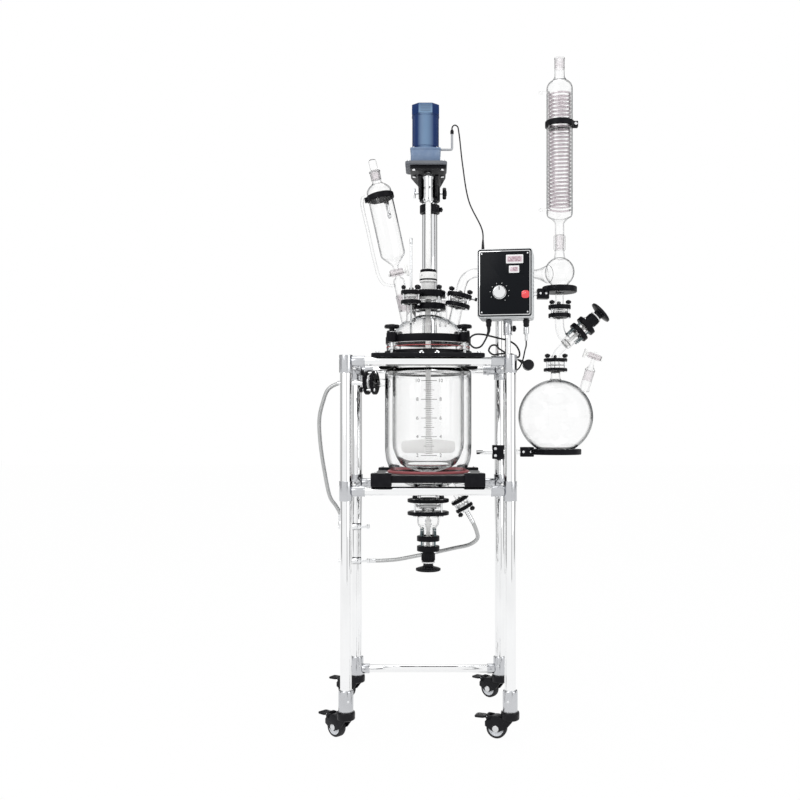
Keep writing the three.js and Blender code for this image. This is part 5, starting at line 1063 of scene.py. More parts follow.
def tube_piece(name, points, diameter, material, node, sides=16, samples=160):
    """Flexible tube along a route, with coordinates along and round it, and the path it follows in metres"""
    path = route(points, samples)
    shape = sweep(path, diameter / 2, sides)
    thing = piece(name, [(material, shape)], stands_for=(node,), sharp=50)
    mesh = thing.data
    layer = mesh.uv_layers.new(name="Run")
    run = [0.0]
    for a, b in zip(path, path[1:]):
        run.append(run[-1] + (b - a).length)
    for polygon in mesh.polygons:
        turns = [mesh.loops[i].vertex_index % sides for i in polygon.loop_indices]
        wrapped = len(turns) == 4 and max(turns) - min(turns) > sides / 2
        for i, turn in zip(polygon.loop_indices, turns):
            row = min(mesh.loops[i].vertex_index // sides, samples)
            share = turn + sides if wrapped and turn < sides / 2 else turn
            layer.data[i].uv = (run[row] * MM, share / sides)
    metres = [VESSEL + point * MM for point in path]
    return thing, metres


def relief(path, radius, tip, reach):
    """Tapered strain relief with ribs around the start of a path given in metres"""
    local = [(point - VESSEL) / MM for point in path]
    run, part = 0.0, [local[0]]
    for a, b in zip(local, local[1:]):
        run += (b - a).length
        part.append(b)
        if run > reach:
            break
    goal = route(part, 26)
    radii = []
    for i in range(len(goal)):
        share = i / (len(goal) - 1)
        rib = 0.35 if i % 3 else -0.35
        radii.append(radius + (tip - radius) * share ** 0.8 + (rib if 2 < i < 22 else 0))
    return sweep(goal, radii, 20)


UPPER_HOSE = [
    (-260.1, 69.7, 1010), (-273.6, 73.3, 1010), (-308, 76, 992), (-326, 84, 952), (-338, 92, 902),
    (-337, 105, 828), (-326, 124, 736), (-310, 146, 652), (-294, 172, 622.3), (-281, 180, 594.3),
    (-281, 180, 576.3),
]
LOWER_HOSE = [
    (125.2, 0, 603.9), (133.1, 0, 590), (146, 16, 559.9), (150, 46, 533.9), (128, 76, 511.9),
    (80, 98, 497.9), (20, 118, 481.9), (-40, 138, 467.9), (-100, 160, 453.9), (-153.7, 176, 448),
    (-175.7, 180, 447), (-187.7, 180, 447),
]
MOTOR_CABLE = [
    (71.7, 0, 1769.3), (72.1, -1, 1776), (78.7, -6, 1781), (87.7, -12, 1775), (91.7, -18, 1755),
    (101.7, -52, 1649), (117.7, -110, 1529), (153.7, -181.6, 1425), (154.7, -181.8, 1391),
    (154.7, -181.8, 1374.3),
]
SENSOR_CABLE = [
    (272.7, -222.7, 1113.7), (272.7, -222.7, 1102), (272, -190, 1088), (268, -172, 1064),
    (260, -163, 1044), (252, -168, 1036), (247, -174.5, 1034),
]
MAINS_CORD = [
    (169.5, -206.4, 1153.7), (169.5, -206.4, 1142), (158, -214, 1114), (146, -214, 1098),
    (130, -214, 1095), (117, -213, 1106), (117, -212, 1122), (130, -210, 1132), (152, -207, 1133),
    (178, -200, 1128), (203, -189, 1123), (226, -183, 1118), (247, -183, 1105), (258, -178, 1086),
    (257, -164, 1073), (243, -150, 1078), (222, -150, 1086), (203, -162, 1096), (190, -182, 1105),
    (176, -198, 1101), (170, -206, 1087), (182, -204, 1076.8), (202, -191, 1080), (224, -179.5, 1081),
    (242, -179, 1077.5), (250.2, -188.9, 1065.3), (256, -191, 1062),
]
PLUG = Vector((281, -200, 1048))
LEAD_DIAMETER = 4
MAINS_DIAMETER = 5


def ferrule(place, direction, radius, reach):
    """Crimped metal end on a braided hose"""
    profile = [(radius - 1.4, 0), (radius + 1.2, 0), (radius + 1.2, 4), (radius + 0.5, 5), (radius + 0.5, 8),
               (radius + 1.2, 9), (radius + 1.2, 13), (radius + 0.5, 14), (radius + 0.5, 17),
               (radius + 1.2, 18), (radius + 1.2, reach - 1), (radius + 0.4, reach),
               (radius - 1.4, reach), (radius - 1.4, 0)]
    return at(lathe(profile, 32), place, direction)


class REACTOR_OT_cords(bpy.types.Operator):
    """Braided jacket hoses, motor and sensor cables, and the mains cord with its plug"""
    bl_idname = "reactor.cords"
    bl_label = "Hoses and Cables"

    def execute(self, context):
        hose = context.scene.reactor_sizes.hose_diameter / MM
        for name, points, node in (('upper_hose', UPPER_HOSE, 'upper_jacket_hose'),
                                   ('lower_hose', LOWER_HOSE, 'lower_jacket_hose')):
            tube, path = tube_piece(name, points, hose, 'braid', node, 20, 200)
            ends = []
            for a, b in ((points[0], points[1]), (points[-1], points[-2])):
                ends.append(('chrome', ferrule(a, Vector(b) - Vector(a), hose / 2, 20)))
            caps = piece(name + '_ferrules', ends)

        cable, path = tube_piece('motor_lead', MOTOR_CABLE, LEAD_DIAMETER, 'cable', 'motor_cable')
        sleeve = piece('motor_lead_relief', [('rubber', relief(path[::-1], 4.6, 2.5, 24))])

        cable, path = tube_piece('sensor_lead', SENSOR_CABLE, LEAD_DIAMETER, 'cable', 'sensor_cable')

        cord, path = tube_piece('mains_lead', MAINS_CORD, MAINS_DIAMETER, 'cable', 'mains_cord', 16, 320)
        guard = piece('mains_lead_relief', [('rubber', relief(path, 5.4, 3.0, 26))])
        axis = (PLUG - Vector(MAINS_CORD[-1])).normalized()
        body = [(0, -17), (11.5, -17), (14.6, -14.5), (15.5, -10), (15.5, 6), (14.4, 13), (12.5, 17),
                (0, 17)]
        shapes = [('plastic', moved(lathe([(0, -17)] + curve_through(body[1:-1], 4) + [(0, 17)], 48),
                                    *PLUG, direction=(0, -1, 0)))]
        shapes.append(('rubber', at(lathe([(0, 0), (3.0, 0), (3.4, 2), (4.6, 8), (4.6, 22), (0, 22)], 24),
                                    MAINS_CORD[-1], axis)))
        for side in (-1, 1):
            x = PLUG.x + 9.5 * side
            shapes.append(('chrome', bar((x, PLUG.y + 16, PLUG.z), (x, PLUG.y + 36, PLUG.z), 2.4, 20, 1.0)))
        plug = piece('mains_plug_body', shapes, stands_for=("mains_plug",))
        return {'FINISHED'}


# ------------------------------------------------------------------ frame


POST_FOOT = 84.2
POST_TOP = 1076
BASE_RAIL_LEVEL = 98
# piece name, node, level of the rails' axes, and reach of the fittings below and above it
RAILS = (('upper', 'upper_rail_frame', 1058, 32, 18), ('shelf', 'shelf_rail_frame', 695, 28, 28))
UNIONS = ((556, True), (447, False))        # level, with an elbow or not


def corner_fitting(x, y, level, below, above):
    """Cast sleeve round a post with two sockets for rails"""
    sx, sy = (1 if x > 0 else -1), (1 if y > 0 else -1)
    parts = [('fitting', moved(ring(18.7, 16.15, level - below, level + above, 48, 1.6), x, y))]
    for dx, dy in ((-sx, 0), (0, -sy)):
        start = (x + dx * 16.8, y + dy * 16.8, level)
        end = (x + dx * 53, y + dy * 53, level)
        lip = (x + dx * 50.5, y + dy * 50.5, level)
        parts.append(('fitting', bar(start, end, 15.5, 40, 1.6)))
        parts.append(('fitting', bar(lip, (x + dx * 53.2, y + dy * 53.2, level), 15.9, 40, 0.5)))
        hub = (x + dx * 38, y + dy * 38, level - 15.2)
        parts.append(screw_at(hub, (0, 0, -1), 3.2, 2.0))
    parts.append(screw_at((x + sx * 18.4, y, level + above - 12), (sx, 0, 0), 3.2, 1.6))
    return parts


def castor_socket(x, y):
    """Socket that clamps a castor's stem at the foot of a post"""
    body = [(5.9, 80.2), (21, 80.2), (21, 134), (19.5, 138.2), (16.1, 139), (16.1, 84), (5.9, 84),
            (5.9, 80.2)]
    sx = 1 if x > 0 else -1
    return [('fitting', moved(lathe(body, 48, 0.9), x, y)),
            screw_at((x - sx * 8, y - 19.3, 110), TO_FRONT, 3.4, 1.8)]


class REACTOR_OT_frame(bpy.types.Operator):
    """Posts, rails and corner fittings of the frame"""
    bl_idname = "reactor.frame"
    bl_label = "Tube Frame"

    def execute(self, context):
        sizes = context.scene.reactor_sizes
        post = sizes.post_diameter / MM / 2
        rail = sizes.rail_diameter / MM / 2
        reach_x = sizes.post_span_x / MM / 2
        reach_y = sizes.post_span_y / MM / 2

        def post_shape(x, y):
            profile = [(0, POST_FOOT), (post, POST_FOOT), (post, POST_TOP - 3), (post - 1, POST_TOP - 0.6),
                       (post - 3, POST_TOP), (0, POST_TOP)]
            return ('steel', moved(lathe(profile, 56), x, y))

        piece('post_left_front', [post_shape(-reach_x, -reach_y), *castor_socket(-reach_x, -reach_y)],
              stands_for=("post_front_left",))
        boss = [(0, 1131.5), (12.5, 1131.5), (12.5, 1134), (11.6, 1135), (11.6, 1139), (12.5, 1140),
                (12.5, 1170),
                (11.4, 1174), (9, 1175.6), (0, 1175.6)]
        piece('post_right_front', [
            post_shape(reach_x, -reach_y), *castor_socket(reach_x, -reach_y),
            ('chrome', moved(rod(8, 1075, 1136, 40, 0.5), 223.3, -reach_y)),
            ('fitting', moved(lathe(boss, 40, 0.5), 223.3, -reach_y)),
            ('plastic', moved(grip(9, 0, 9, 5), 236.5, -reach_y, 1150, direction=(1, 0, 0))),
        ], stands_for=("post_front_right",))

        back = [post_shape(-reach_x, reach_y), post_shape(reach_x, reach_y),
                *castor_socket(-reach_x, reach_y), *castor_socket(reach_x, reach_y),
                ('steel_x',
                 bar((-reach_x + 15, reach_y, BASE_RAIL_LEVEL), (reach_x - 15, reach_y, BASE_RAIL_LEVEL),
                                rail, 40, 0.4)),
                ('steel', moved(rod(10, 1075, 1330, 40, 1.6), 226.5, reach_y))]
        for side in (-1, 1):
            back.append(('fitting', bar((side * 189, reach_y, BASE_RAIL_LEVEL),
                                        (side * 213, reach_y, BASE_RAIL_LEVEL), 15.5, 40, 1.4)))
        for level, elbow in UNIONS:
            back += hose_union(level, elbow)
        piece('rear_posts', back, stands_for=("rear_post_frame",))

        for name, node, level, below, above in RAILS:
            rails = []
            for side in (-1, 1):
                y, x = side * reach_y, side * reach_x
                rails.append(('steel_x', bar((-reach_x + 48, y, level), (reach_x - 48, y, level), rail, 40)))
                rails.append(('steel_y', bar((x, -reach_y + 48, level), (x, reach_y - 48, level), rail, 40)))
            piece(name + '_rails', rails, stands_for=(node,))
            fittings = []
            for x, y in corners(reach_x, reach_y):
                fittings += corner_fitting(x, y, level, below, above)
            piece(name + '_corner_fittings', fittings)
        return {'FINISHED'}


def hose_union(level, elbow):
    """Pass-through hose union on the rear left post"""
    left, right, y = -288, -188, 180
    parts = [('chrome', bar((left, y, level), (right, y, level), 4.8, 24)),
             ('chrome', along_x(ring(9.2, 5, 0, 26, 32, 1.2), -243, y, level)),
             ('chrome', along_x(hexagon(7.6, 0, 9), right - 9, y, level)),
             ('chrome', along_x(hexagon(7.6, 0, 9), left + 14, y, level)),
             ('casting', block(-244, -216, 183, 198, level - 11, level + 11, 3, 1.4))]
    for side in (-1, 1):
        parts.append(screw_at((-230 + side * 9, 184, level + 6), TO_FRONT, 2.6, 2.4))
    if elbow:
        parts.append(('chrome',
                      at(lathe([(0, -7), (6, -7), (7, -3), (7, 12), (6, 14), (5, 20), (0, 20)], 24),
                                   (left + 7, y, level))))
    return parts


# ------------------------------------------------------------------ castors


def castor_parts(radius):
    """Fork, wheel and pedal of one castor, in its own frame: stem at the origin, trailing towards -X"""
    trail, inner, outer = 38.6, 12.5, 15.5
    hood_in, hood_out = radius + 4, radius + 7
    axle = (-trail, radius)
    cover = arc(axle, hood_out, 152, 60, 14) + arc(axle, hood_in, 60, 152, 14)
    cheek = (arc(axle, hood_out, 150, 62, 12) + [(8, 76), (12, 55), (-8, 31), (-trail + 7, 20),
                                                 (-trail - 9, 21), (-trail - hood_out + 5, 35)])
    ear = [(-68, 59), (-65, 66), (-48, 65), (-52, 52), (-64, 50)]
    housing = [(0, 54.7), (21, 54.7), (25, 57), (26, 60), (26, 75), (24.5, 78.6), (20, 79.7), (0, 79.7)]
    fork = [('plastic', upright(cheek, inner, outer, 1.0)), ('plastic', upright(cheek, -outer, -inner, 1.0)),
            ('plastic', upright(cover, -outer + 0.4, outer - 0.4, 0.7)),
            ('plastic', lathe(housing, 48, 0.8)),
            ('turned_steel', ring(22, 6, 79.4, 80.0, 40, 0.2)),
            ('plastic', upright(ear, inner, outer, 0.8)), ('plastic', upright(ear, -outer, -inner, 0.8)),
            ('turned_steel', rod(5.7, 79, 126, 24, 1.0)),
            ('turned_steel', bar((-64, -outer, 62), (-64, outer, 62), 2, 16))]
    for side in (-1, 1):
        hub = (-trail, side * outer, radius)
        fork.append(('turned_steel',
                     at(lathe([(0, -1), (9, -1), (9, 0.6), (6.5, 1.6), (4.2, 1.7), (0, 1.7)], 32),
                                        hub, (0, side, 0))))
    disc = [(4.1, 8.0), (9.0, 8.0), (9.6, 9.8), (12, 9.8), (13, 8.6), (19, 8.4), (20.5, 10.4), (22, 10.4),
            (22, -10.4), (20.5, -10.4), (19, -8.4), (13, -8.6), (12, -9.8), (9.6, -9.8), (9.0, -8.0),
            (4.1, -8.0), (4.1, 8.0)]
    tread = [(21.6, -10.6), (24.5, -11), (27, -10.3), (28.6, -8), (29, -4), (29, 4), (28.6, 8), (27, 10.3),
             (24.5, 11), (21.6, 10.6), (21.6, -10.6)]
    scale = radius / 29.0
    place = (-trail, 0, radius)
    wheel = []
    for material, profile in (('wheel_core', disc), ('rubber', tread)):
        grown = [(r * scale if r > 5 else r, z) for r, z in profile]
        wheel.append((material, at(lathe(grown, 64), place, (0, 1, 0))))
    tip = -101
    pad = rounded(tip, tip + 30, -17, 17, 7)
    pedal = [('plastic', prism(pad, 56, 61.4, 1.4)),
             ('plastic', block(tip + 20, -64, -11.4, 11.4, 56, 61.5, 2, 1.0)),
             ('plastic', bar((-64, -11.5, 62), (-64, 11.5, 62), 5, 28, 0.8))]
    for i in range(4):
        x = tip + 5 + i * 4.2
        pedal.append(('plastic', block(x, x + 1.8, -11, 11, 61.0, 62.0, 0.6, 0.3)))
    return fork, wheel, pedal


CASTORS = (
    ('castor_front_left', -1, -1, -42), ('castor_front_right', 1, -1, -20),
    ('castor_rear_left', -1, 1, -30), ('castor_rear_right', 1, 1, -38),
)


class REACTOR_OT_castors(bpy.types.Operator):
    """Four swivel castors with toe brakes"""
    bl_idname = "reactor.castors"
    bl_label = "Castors"

    def execute(self, context):
        sizes = context.scene.reactor_sizes
        reach_x, reach_y = sizes.post_span_x / MM / 2, sizes.post_span_y / MM / 2
        groups = castor_parts(sizes.wheel_diameter / MM / 2)
        for name, sx, sy, yaw in CASTORS:
            for kind, slot_name, parts in zip(('fork', 'wheel', 'pedal'),
                                              ('black_casting', 'tread_black', 'pedal_black'), groups):
                body = f'{name}_{kind}'
                x, y = sx * reach_x, sy * reach_y
                stood = [(material, moved(shape, x, y, 0, None, yaw)) for material, shape in parts]
                piece(body + '_look', stood, body, (body,))
        return {'FINISHED'}


# ------------------------------------------------------------------ supports


class REACTOR_OT_supports(bpy.types.Operator):
    """Upper plate with its collar, and the lower ring with its seat gasket"""
    bl_idname = "reactor.supports"
    bl_label = "Support Plates"

    def execute(self, context):
        outline = rounded(-160, 160, -212, 212, 22, 8)
        collar = [(113.4, 1071.5), (118, 1071.5), (150, 1081.5), (150, 1083.5), (148, 1084.5), (132, 1096.5),
                  (131, 1098), (131, 1100), (130.2, 1100.7), (114, 1100.7), (113.4, 1100), (113.4, 1071.5)]
        parts = [('casting', holed(outline, 113, 1070.8, 1082, 1.6)), ('casting', lathe(collar, 96, 0.8))]
        for x in (-18.8, 25.7):
            parts.append(('chrome', moved(block(-7, 7, -1.4, 1.4, 0, 17, 1, 0.6), x, -148.6, 1081.5,
                                          direction=(0, 0.72, 0.69))))
            parts.append(screw_at((x, -144.8, 1090.4), (0, -0.69, 0.72), 3.4, 2.4))
        parts += [('chrome', screw(x, y, 1082, 5, 5)) for x, y in corners(142, 200)]
        piece('upper_plate', parts, stands_for=("upper_support_plate",))

        seat = [(109.2, 738), (123, 738), (123, 743), (121.2, 745), (115.4, 745), (113.8, 744.6),
                (109.2, 738)]
        lower = [('casting', holed(outline, 109.6, 718, 738, 1.8)), ('gasket', lathe(seat, 96, 0.8))]
        for x, y in corners(131, 200):
            lower.append(('casting', block(x - 29, x + 29, y - 21, y + 21, 707.8, 745, 5, 1.8)))
            for dx in (-16, 16):
                lower.append(('chrome', screw(x + dx, y, 745, 4.2, 3.6)))
        piece('lower_plate', lower, stands_for=("lower_support_ring",))
        return {'FINISHED'}


# ------------------------------------------------------------------ vessel


def wrapped_mark(level, half_width, height, radius=108.25):
    """Printed line round the front of the inner vessel"""
    steps = max(2, round(half_width / 2))
    points, faces = [], []
    for row in (level - height / 2, level + height / 2):
        for i in range(steps + 1):
            angle = (MARK_CENTRE + half_width * (2 * i / steps - 1)) / radius
            points.append((radius * math.sin(angle), -radius * math.cos(angle), row))
    for i in range(steps):
        faces.append((i, i + 1, steps + 2 + i, steps + 1 + i))
    return points, faces


def wrapped_number(text, centre, level, height, radius=108.25):
    """Printed number on the front of the inner vessel"""
    words = bpy.data.curves.new('number', 'FONT')
    words.body = text
    words.align_x = 'CENTER'
    words.align_y = 'CENTER'
    words.size = height
    words.resolution_u = 3
    thing = bpy.data.objects.new('number', words)
    bpy.context.scene.collection.objects.link(thing)
    mesh = thing.evaluated_get(bpy.context.evaluated_depsgraph_get()).to_mesh()
    points, faces = [], [tuple(polygon.vertices) for polygon in mesh.polygons]
    for vertex in mesh.vertices:
        angle = (centre + vertex.co.x) / radius
        points.append((radius * math.sin(angle), -radius * math.cos(angle), level + vertex.co.y))
    thing.to_mesh_clear()
    bpy.data.objects.remove(thing)
    bpy.data.curves.remove(words)
    return points, faces


MARK_CENTRE = 2.6
SCALE_TOP = 1009.4
SCALE_STEP = 54.37


def scale_marks():
    marks = []
    for i in range(5):
        level = SCALE_TOP - i * SCALE_STEP
        marks.append(('print', wrapped_mark(level, 23, 1.5)))
        number = str(10 - 2 * i)
        marks.append(('print', wrapped_number(number, MARK_CENTRE - 34, level, 15)))
        marks.append(('print', wrapped_number(number, MARK_CENTRE + 34, level, 15)))
        if i < 4:
            marks.append(('print', wrapped_mark(level - SCALE_STEP / 2, 15, 1.2)))
            for k in range(1, 10):
                if k != 5:
                    marks.append(('print', wrapped_mark(level - SCALE_STEP * k / 10, 9.5, 0.8)))
    return marks


def port(start, end, radius, bore, flange_radius, thickness):
    """Glass port along Z with a flange at its end"""
    profile = [(bore, start), (radius, start), (radius, end - thickness - 4), (radius + 2, end - thickness),
               (flange_radius, end - thickness), (flange_radius, end - 0.2), (bore, end - 0.2),
               (bore, start)]
    return lathe(profile, 48, 1.0)


UPPER_PORT_WAY = Vector((-math.cos(math.radians(15)), math.sin(math.radians(15)), 0))
LOWER_PORT_WAY = Vector((math.sin(math.radians(30)), 0, -math.cos(math.radians(30))))
UPPER_PORT_FOOT = Vector((0, 0, 1010))
LOWER_PORT_FACE = Vector((102, 0, 644))


class REACTOR_OT_vessel(bpy.types.Operator):
    """Jacketed glass vessel with its ports and printed scale"""
    bl_idname = "reactor.vessel"
    bl_label = "Jacketed Vessel"

    def execute(self, context):
        sizes = context.scene.reactor_sizes
        jacket = sizes.jacket_diameter / MM / 2
        neck = sizes.inner_diameter / MM / 2
        bore = neck - 5
        bottom = curve_through([(jacket, 815), (jacket - 0.8, 795), (126, 774), (119.5, 757), (113.3, 745),
                                (105, 732), (92, 718.5), (70, 704), (48, 694.5), (36, 690)], 3)
        outside = [(bore, 1112), (125, 1112), (125, 1101.2), (neck + 4, 1101.2), (neck, 1096), (neck, 1056),
                   (neck + 3, 1053), (jacket - 6, 1046), (jacket - 1, 1040), (jacket, 1033), *bottom,
                   (30.5, 684), (30.5, 652), (33, 648), (40, 648), (40, 638.2), (25.5, 638.2), (25.5, 676)]
        bowl = curve_through([(bore, 832), (bore - 1.6, 812), (bore - 9, 787), (bore - 21, 771), (69, 759),
                              (45, 750.5), (24, 747)], 3)
        inside = [(22, 684), (15, 691), (15, 743), *bowl[::-1]]
        wall = [*outside, *inside, (bore, 1112)]
        gap = [(neck, 1044), (jacket - 8, 1038), (jacket - 5, 1029), (jacket - 5, 815), (jacket - 6, 794),
               (121, 775), (114.5, 759), (107, 746), (99, 735), (87, 724), (68, 710.5), (45, 700.5),
               (20, 700.5),
               (20, 738), (45, 745.2), (70, 753.6), (84, 765), (96, 782), (neck - 1.5, 811), (neck, 832),
               (neck, 1044)]
        parts = [('glass', lathe(wall, 96)), ('glass', inside_out(lathe(gap, 96)))]
        parts.append(('glass', at(port(jacket - 5, 181, 11.5, 8.5, 27, 6), UPPER_PORT_FOOT, UPPER_PORT_WAY)))
        parts.append(('glass', at(port(-73, 0, 11.5, 8.5, 20, 7.5), LOWER_PORT_FACE, LOWER_PORT_WAY)))
        piece('vessel_glass', parts, stands_for=("reactor_vessel",), sharp=40)
        piece('vessel_scale', scale_marks())
        return {'FINISHED'}


# ------------------------------------------------------------------ lid


THERMO_JOINT = Vector((-50, -67, 1255.3))
VAPOUR_JOINT = Vector((91.3, 0, 1255))
FUNNEL_JOINT = Vector((-78.5, 0, 1269))
STOPPER_TOP = Vector((46, 62, 1288.3))
VAPOUR_LEAN = 12.0
FUNNEL_LEAN = -12.5


def neck_wall(radius, wall, start, end, flange_radius=0.0, thickness=0.0):
    """Glass neck along Z with its mouth at the end, open at both ends"""
    outer = [(radius, start), (radius, end - thickness - 4)]
    if flange_radius:
        outer += [(radius + 2, end - thickness), (flange_radius, end - thickness),
                  (flange_radius, end - 0.2)]
    else:
        outer += [(radius + 1.2, end - 3), (radius + 1.2, end - 0.3)]
    profile = [(radius - wall, start), *outer, (radius - wall, end - 0.2), (radius - wall, start)]
    return lathe(profile, 48, 0.8)


class REACTOR_OT_lid(bpy.types.Operator):
    """Domed glass lid with its necks, clamp ring and thermowell"""
    bl_idname = "reactor.lid"
    bl_label = "Lid"

    def execute(self, context):
        dome = context.scene.reactor_sizes.dome_radius / MM
        outside = arc((0, 1140), dome, 0, 74, 18, 72)
        inside = arc((0, 1140), dome - 4, 0, 76, 18, 68)
        wall = [(dome - 4, 1112.4), (125, 1112.4), (125, 1123.2), (dome + 3, 1123.2), (dome, 1127), *outside,
                (24.9, 1216), (24.5, 1222), (24.5, 1242), (27, 1245.2), (40.5, 1245.2), (40.5, 1254),
                (20.5, 1254),
                (20.5, 1220), (21.2, 1212), *inside[::-1], (dome - 4, 1112.4)]
        parts = [
            ('pale_glass', lathe(wall, 96)),
            ('glass', at(neck_wall(14, 3, -72, 0, 22, 7.5), THERMO_JOINT)),
            ('glass', at(neck_wall(17, 3, -74, 0, 28, 7.5), VAPOUR_JOINT, lean(VAPOUR_LEAN))),
            ('ground_glass', at(neck_wall(19, 2.6, -44, 0), FUNNEL_JOINT, lean(FUNNEL_LEAN))),
            ('glass', at(lathe([(16.2, -88), (19, -88), (19, -45), (16.2, -44), (16.2, -88)], 48),
                         FUNNEL_JOINT, lean(FUNNEL_LEAN))),
            ('glass',
             at(lathe([(9, -102), (12, -102), (12, -36), (10.5, -29), (10.5, -26), (8.4, -26), (9, -34),
                                (9, -102)], 40), STOPPER_TOP)),
            ('ground_glass', at(lathe([(0, -60), (8.2, -60), (8.2, -26), (0, -26)], 32, 0.6), STOPPER_TOP)),
            ('glass', at(lathe([(0, -26), (8, -25), (8, -19), (12.5, -15), (13, -13), (13, -5), (12, -1.5),
                                (9, 0), (0, 0)], 40, 0.6), STOPPER_TOP)),
        ]
        piece('lid_glass', parts, stands_for=("reactor_lid",), sharp=40)

        band = [(dome + 1.4, 1123.6), (128, 1123.6), (128, 1143), (125.5, 1145.6), (dome + 4, 1145.6),
                (dome + 1.4, 1143.5), (dome + 1.4, 1123.6)]
        clamp = [('casting', lathe(band, 96, 1.2)),
                 ('seal_red', ring(125.9, 120, 1111.2, 1113.2, 96, 0.4)),
                 ('print_grey', ring(126.3, 125.1, 1122.6, 1124.4, 96, 0.3))]
        lug = [(0, 1123.8), (15.2, 1123.8), (16, 1126), (16, 1148), (14.2, 1151.6), (0, 1151.6)]
        for x, y in corners(106, 84):
            tilt = math.degrees(math.atan2(y, x))
            clamp += [
                ('casting', moved(lathe(lug, 40, 0.8), x, y)),
                ('turned_steel', moved(rod(5, 1071.2, 1124, 24, 0.5), x, y)),
                ('chrome', moved(hexagon(8.5, 1100.9, 1107), x, y)),
                ('chrome', moved(ring(9.5, 5, 1151.6, 1153, 32, 0.4), x, y)),
                ('plastic',
                 moved(lathe([(0, 1153), (8.4, 1153), (7.4, 1158), (9.4, 1163), (0, 1163)], 32, 0.5), x, y)),
                ('plastic', moved(grip(23, 1162.6, 1173, 6), x, y, 0, None, tilt)),
                ('plastic', moved(rod(9, 1170, 1173.6, 32, 1.2), x, y)),
            ]
        piece('lid_clamp_ring', clamp, stands_for=("lid_clamp",))

        def at_thermo(shape):
            return at(shape, THERMO_JOINT)

        gland = [(0, 0), (9.8, 0), (9.8, 19.5), (9.0, 20.4), (7, 20.6), (7, 23.6), (5.6, 24.3), (0, 24.3)]
        well = [('chrome', at_thermo(lathe(gland, 40, 0.4))),
                ('white_trim', at_thermo(ring(21.8, 3.4, 0.2, 7.8, 48, 0.6))),
                ('turned_steel', moved(rod(3.25, 1132.4, 1424, 28, 1.6), THERMO_JOINT.x, THERMO_JOINT.y)),
                ('turned_steel',
                 moved(lathe([(0, 1412), (4.2, 1412), (4.6, 1414), (4.6, 1426), (3.4, 1430.2),
                                         (0, 1430.3)], 32, 0.5), THERMO_JOINT.x, THERMO_JOINT.y))]
        well += joint_clamp(THERMO, 14.3, 10, at_thermo)
        piece('thermowell_fitted', well, stands_for=("thermowell",))
        return {'FINISHED'}


# ------------------------------------------------------------------ stirring


class REACTOR_OT_stirring(bpy.types.Operator):
    """Shaft seal with the centre clamp, and the stirrer with its blades and coupling"""
    bl_idname = "reactor.stirring"
    bl_label = "Seal and Stirrer"

    def execute(self, context):
        shaft_radius = context.scene.reactor_sizes.shaft_diameter / MM / 2
        base = Vector((0, 0, 1254.2))

        def on_neck(shape):
            return at(shape, base)

        housing = [(shaft_radius + 0.6, 0.2), (40.4, 0.2), (40.4, 8.9), (20, 9.2), (20, 52), (21.2, 54.4),
                   (24.6, 54.6), (26, 56), (26, 60), (25.2, 61), (25.2, 63), (26, 64), (26, 82), (25, 84.4),
                   (shaft_radius + 0.6, 84.4), (shaft_radius + 0.6, 0.2)]
        knurl = []
        for x, y, angle in round_about(40, 23.0, 0):
            knurl.append(moved(block(-0.9, 0.8, -1.0, 1.0, 85.2, 92.4, 0.3, 0.3), x, y, 0, None, angle))
        parts = [('polymer', on_neck(lathe(housing, 64, 0.6))),
                 ('casting', on_neck(ring(22.9, shaft_radius + 0.6, 84.5, 93.2, 64, 0.9))),
                 ('casting', on_neck(merge(*knurl))),
                 ('polymer', on_neck(ring(12.5, shaft_radius + 0.5, 93, 96.5, 40, 0.8))),
                 ('casting', on_neck(ring(26.2, 25, 59.6, 64.6, 64, 0.5)))]
        for x, y, angle in round_about(4, 26.0, 45):
            way = (math.cos(math.radians(angle)), math.sin(math.radians(angle)), 0)
            parts.append(screw_at((x, y, base.z + 74), way, 2.2, 1.4))
        parts += joint_clamp(CENTRE, 24.9, 18.3, on_neck)
        piece('shaft_seal', parts, stands_for=("seal_housing",))

        shaft_line = [(0, 795), (shaft_radius - 1, 795), (shaft_radius, 796), (shaft_radius, 1552),
                      (0, 1552)]
        sleeve = [(0, 1552), (12.4, 1552), (13.5, 1553.2), (13.5, 1590), (12.9, 1590.8), (12.9, 1597),
                  (13.5, 1597.8),
                  (13.5, 1634.6), (12.6, 1636), (0, 1636)]
        stir = [('polymer', lathe(shaft_line, 48)), ('chrome', lathe(sleeve, 64, 0.4)),
                ('turned_steel', rod(7, 1635.5, 1670, 40, 0.6))]
        for level in (1560, 1626):
            stir.append(('chrome', ring(14.6, 12.9, level - 5.5, level + 5.5, 64, 0.8)))
            for way in ((0, -1, 0), (1, 0, 0), (-1, 0, 0), (0, 1, 0)):
                stir.append(('chrome',
                             moved(ring(3.3, 1.8, 0, 0.9, 24, 0.2), way[0] * 14.4, way[1] * 14.4, level,
                                             direction=way)))
                stir.append(('print', moved(rod(1.9, 0, 0.25, 20, 0.05), way[0] * 14.4, way[1] * 14.4, level,
                                            direction=way)))
        for angle in (20, 110, 200, 290):
            way = (math.cos(math.radians(angle)), math.sin(math.radians(angle)), 0)
            stir.append(('print', moved(rod(2.5, 0, 0.3, 24, 0.05), way[0] * 13.3, way[1] * 13.3, 1594,
                                        direction=way)))
        edge_line = [(4, 797), (69, 797), (76, 800), (80, 806), (81, 812), (81, 826), (78, 831), (70, 834),
                     (4, 839)]
        for turn in (0, 180):
            stir.append(('polymer', moved(upright(edge_line, -3, 3, 1.1), 0, 0, 0, None, turn)))
        stir.append(('polymer',
                     lathe([(0, 795), (10.5, 795), (11.5, 797), (11.5, 838), (8, 846), (0, 846)], 40, 0.6)))
        piece('stirrer_shaft', stir, 'stirrer', ("stirrer",))
        return {'FINISHED'}


# ------------------------------------------------------------------ drive


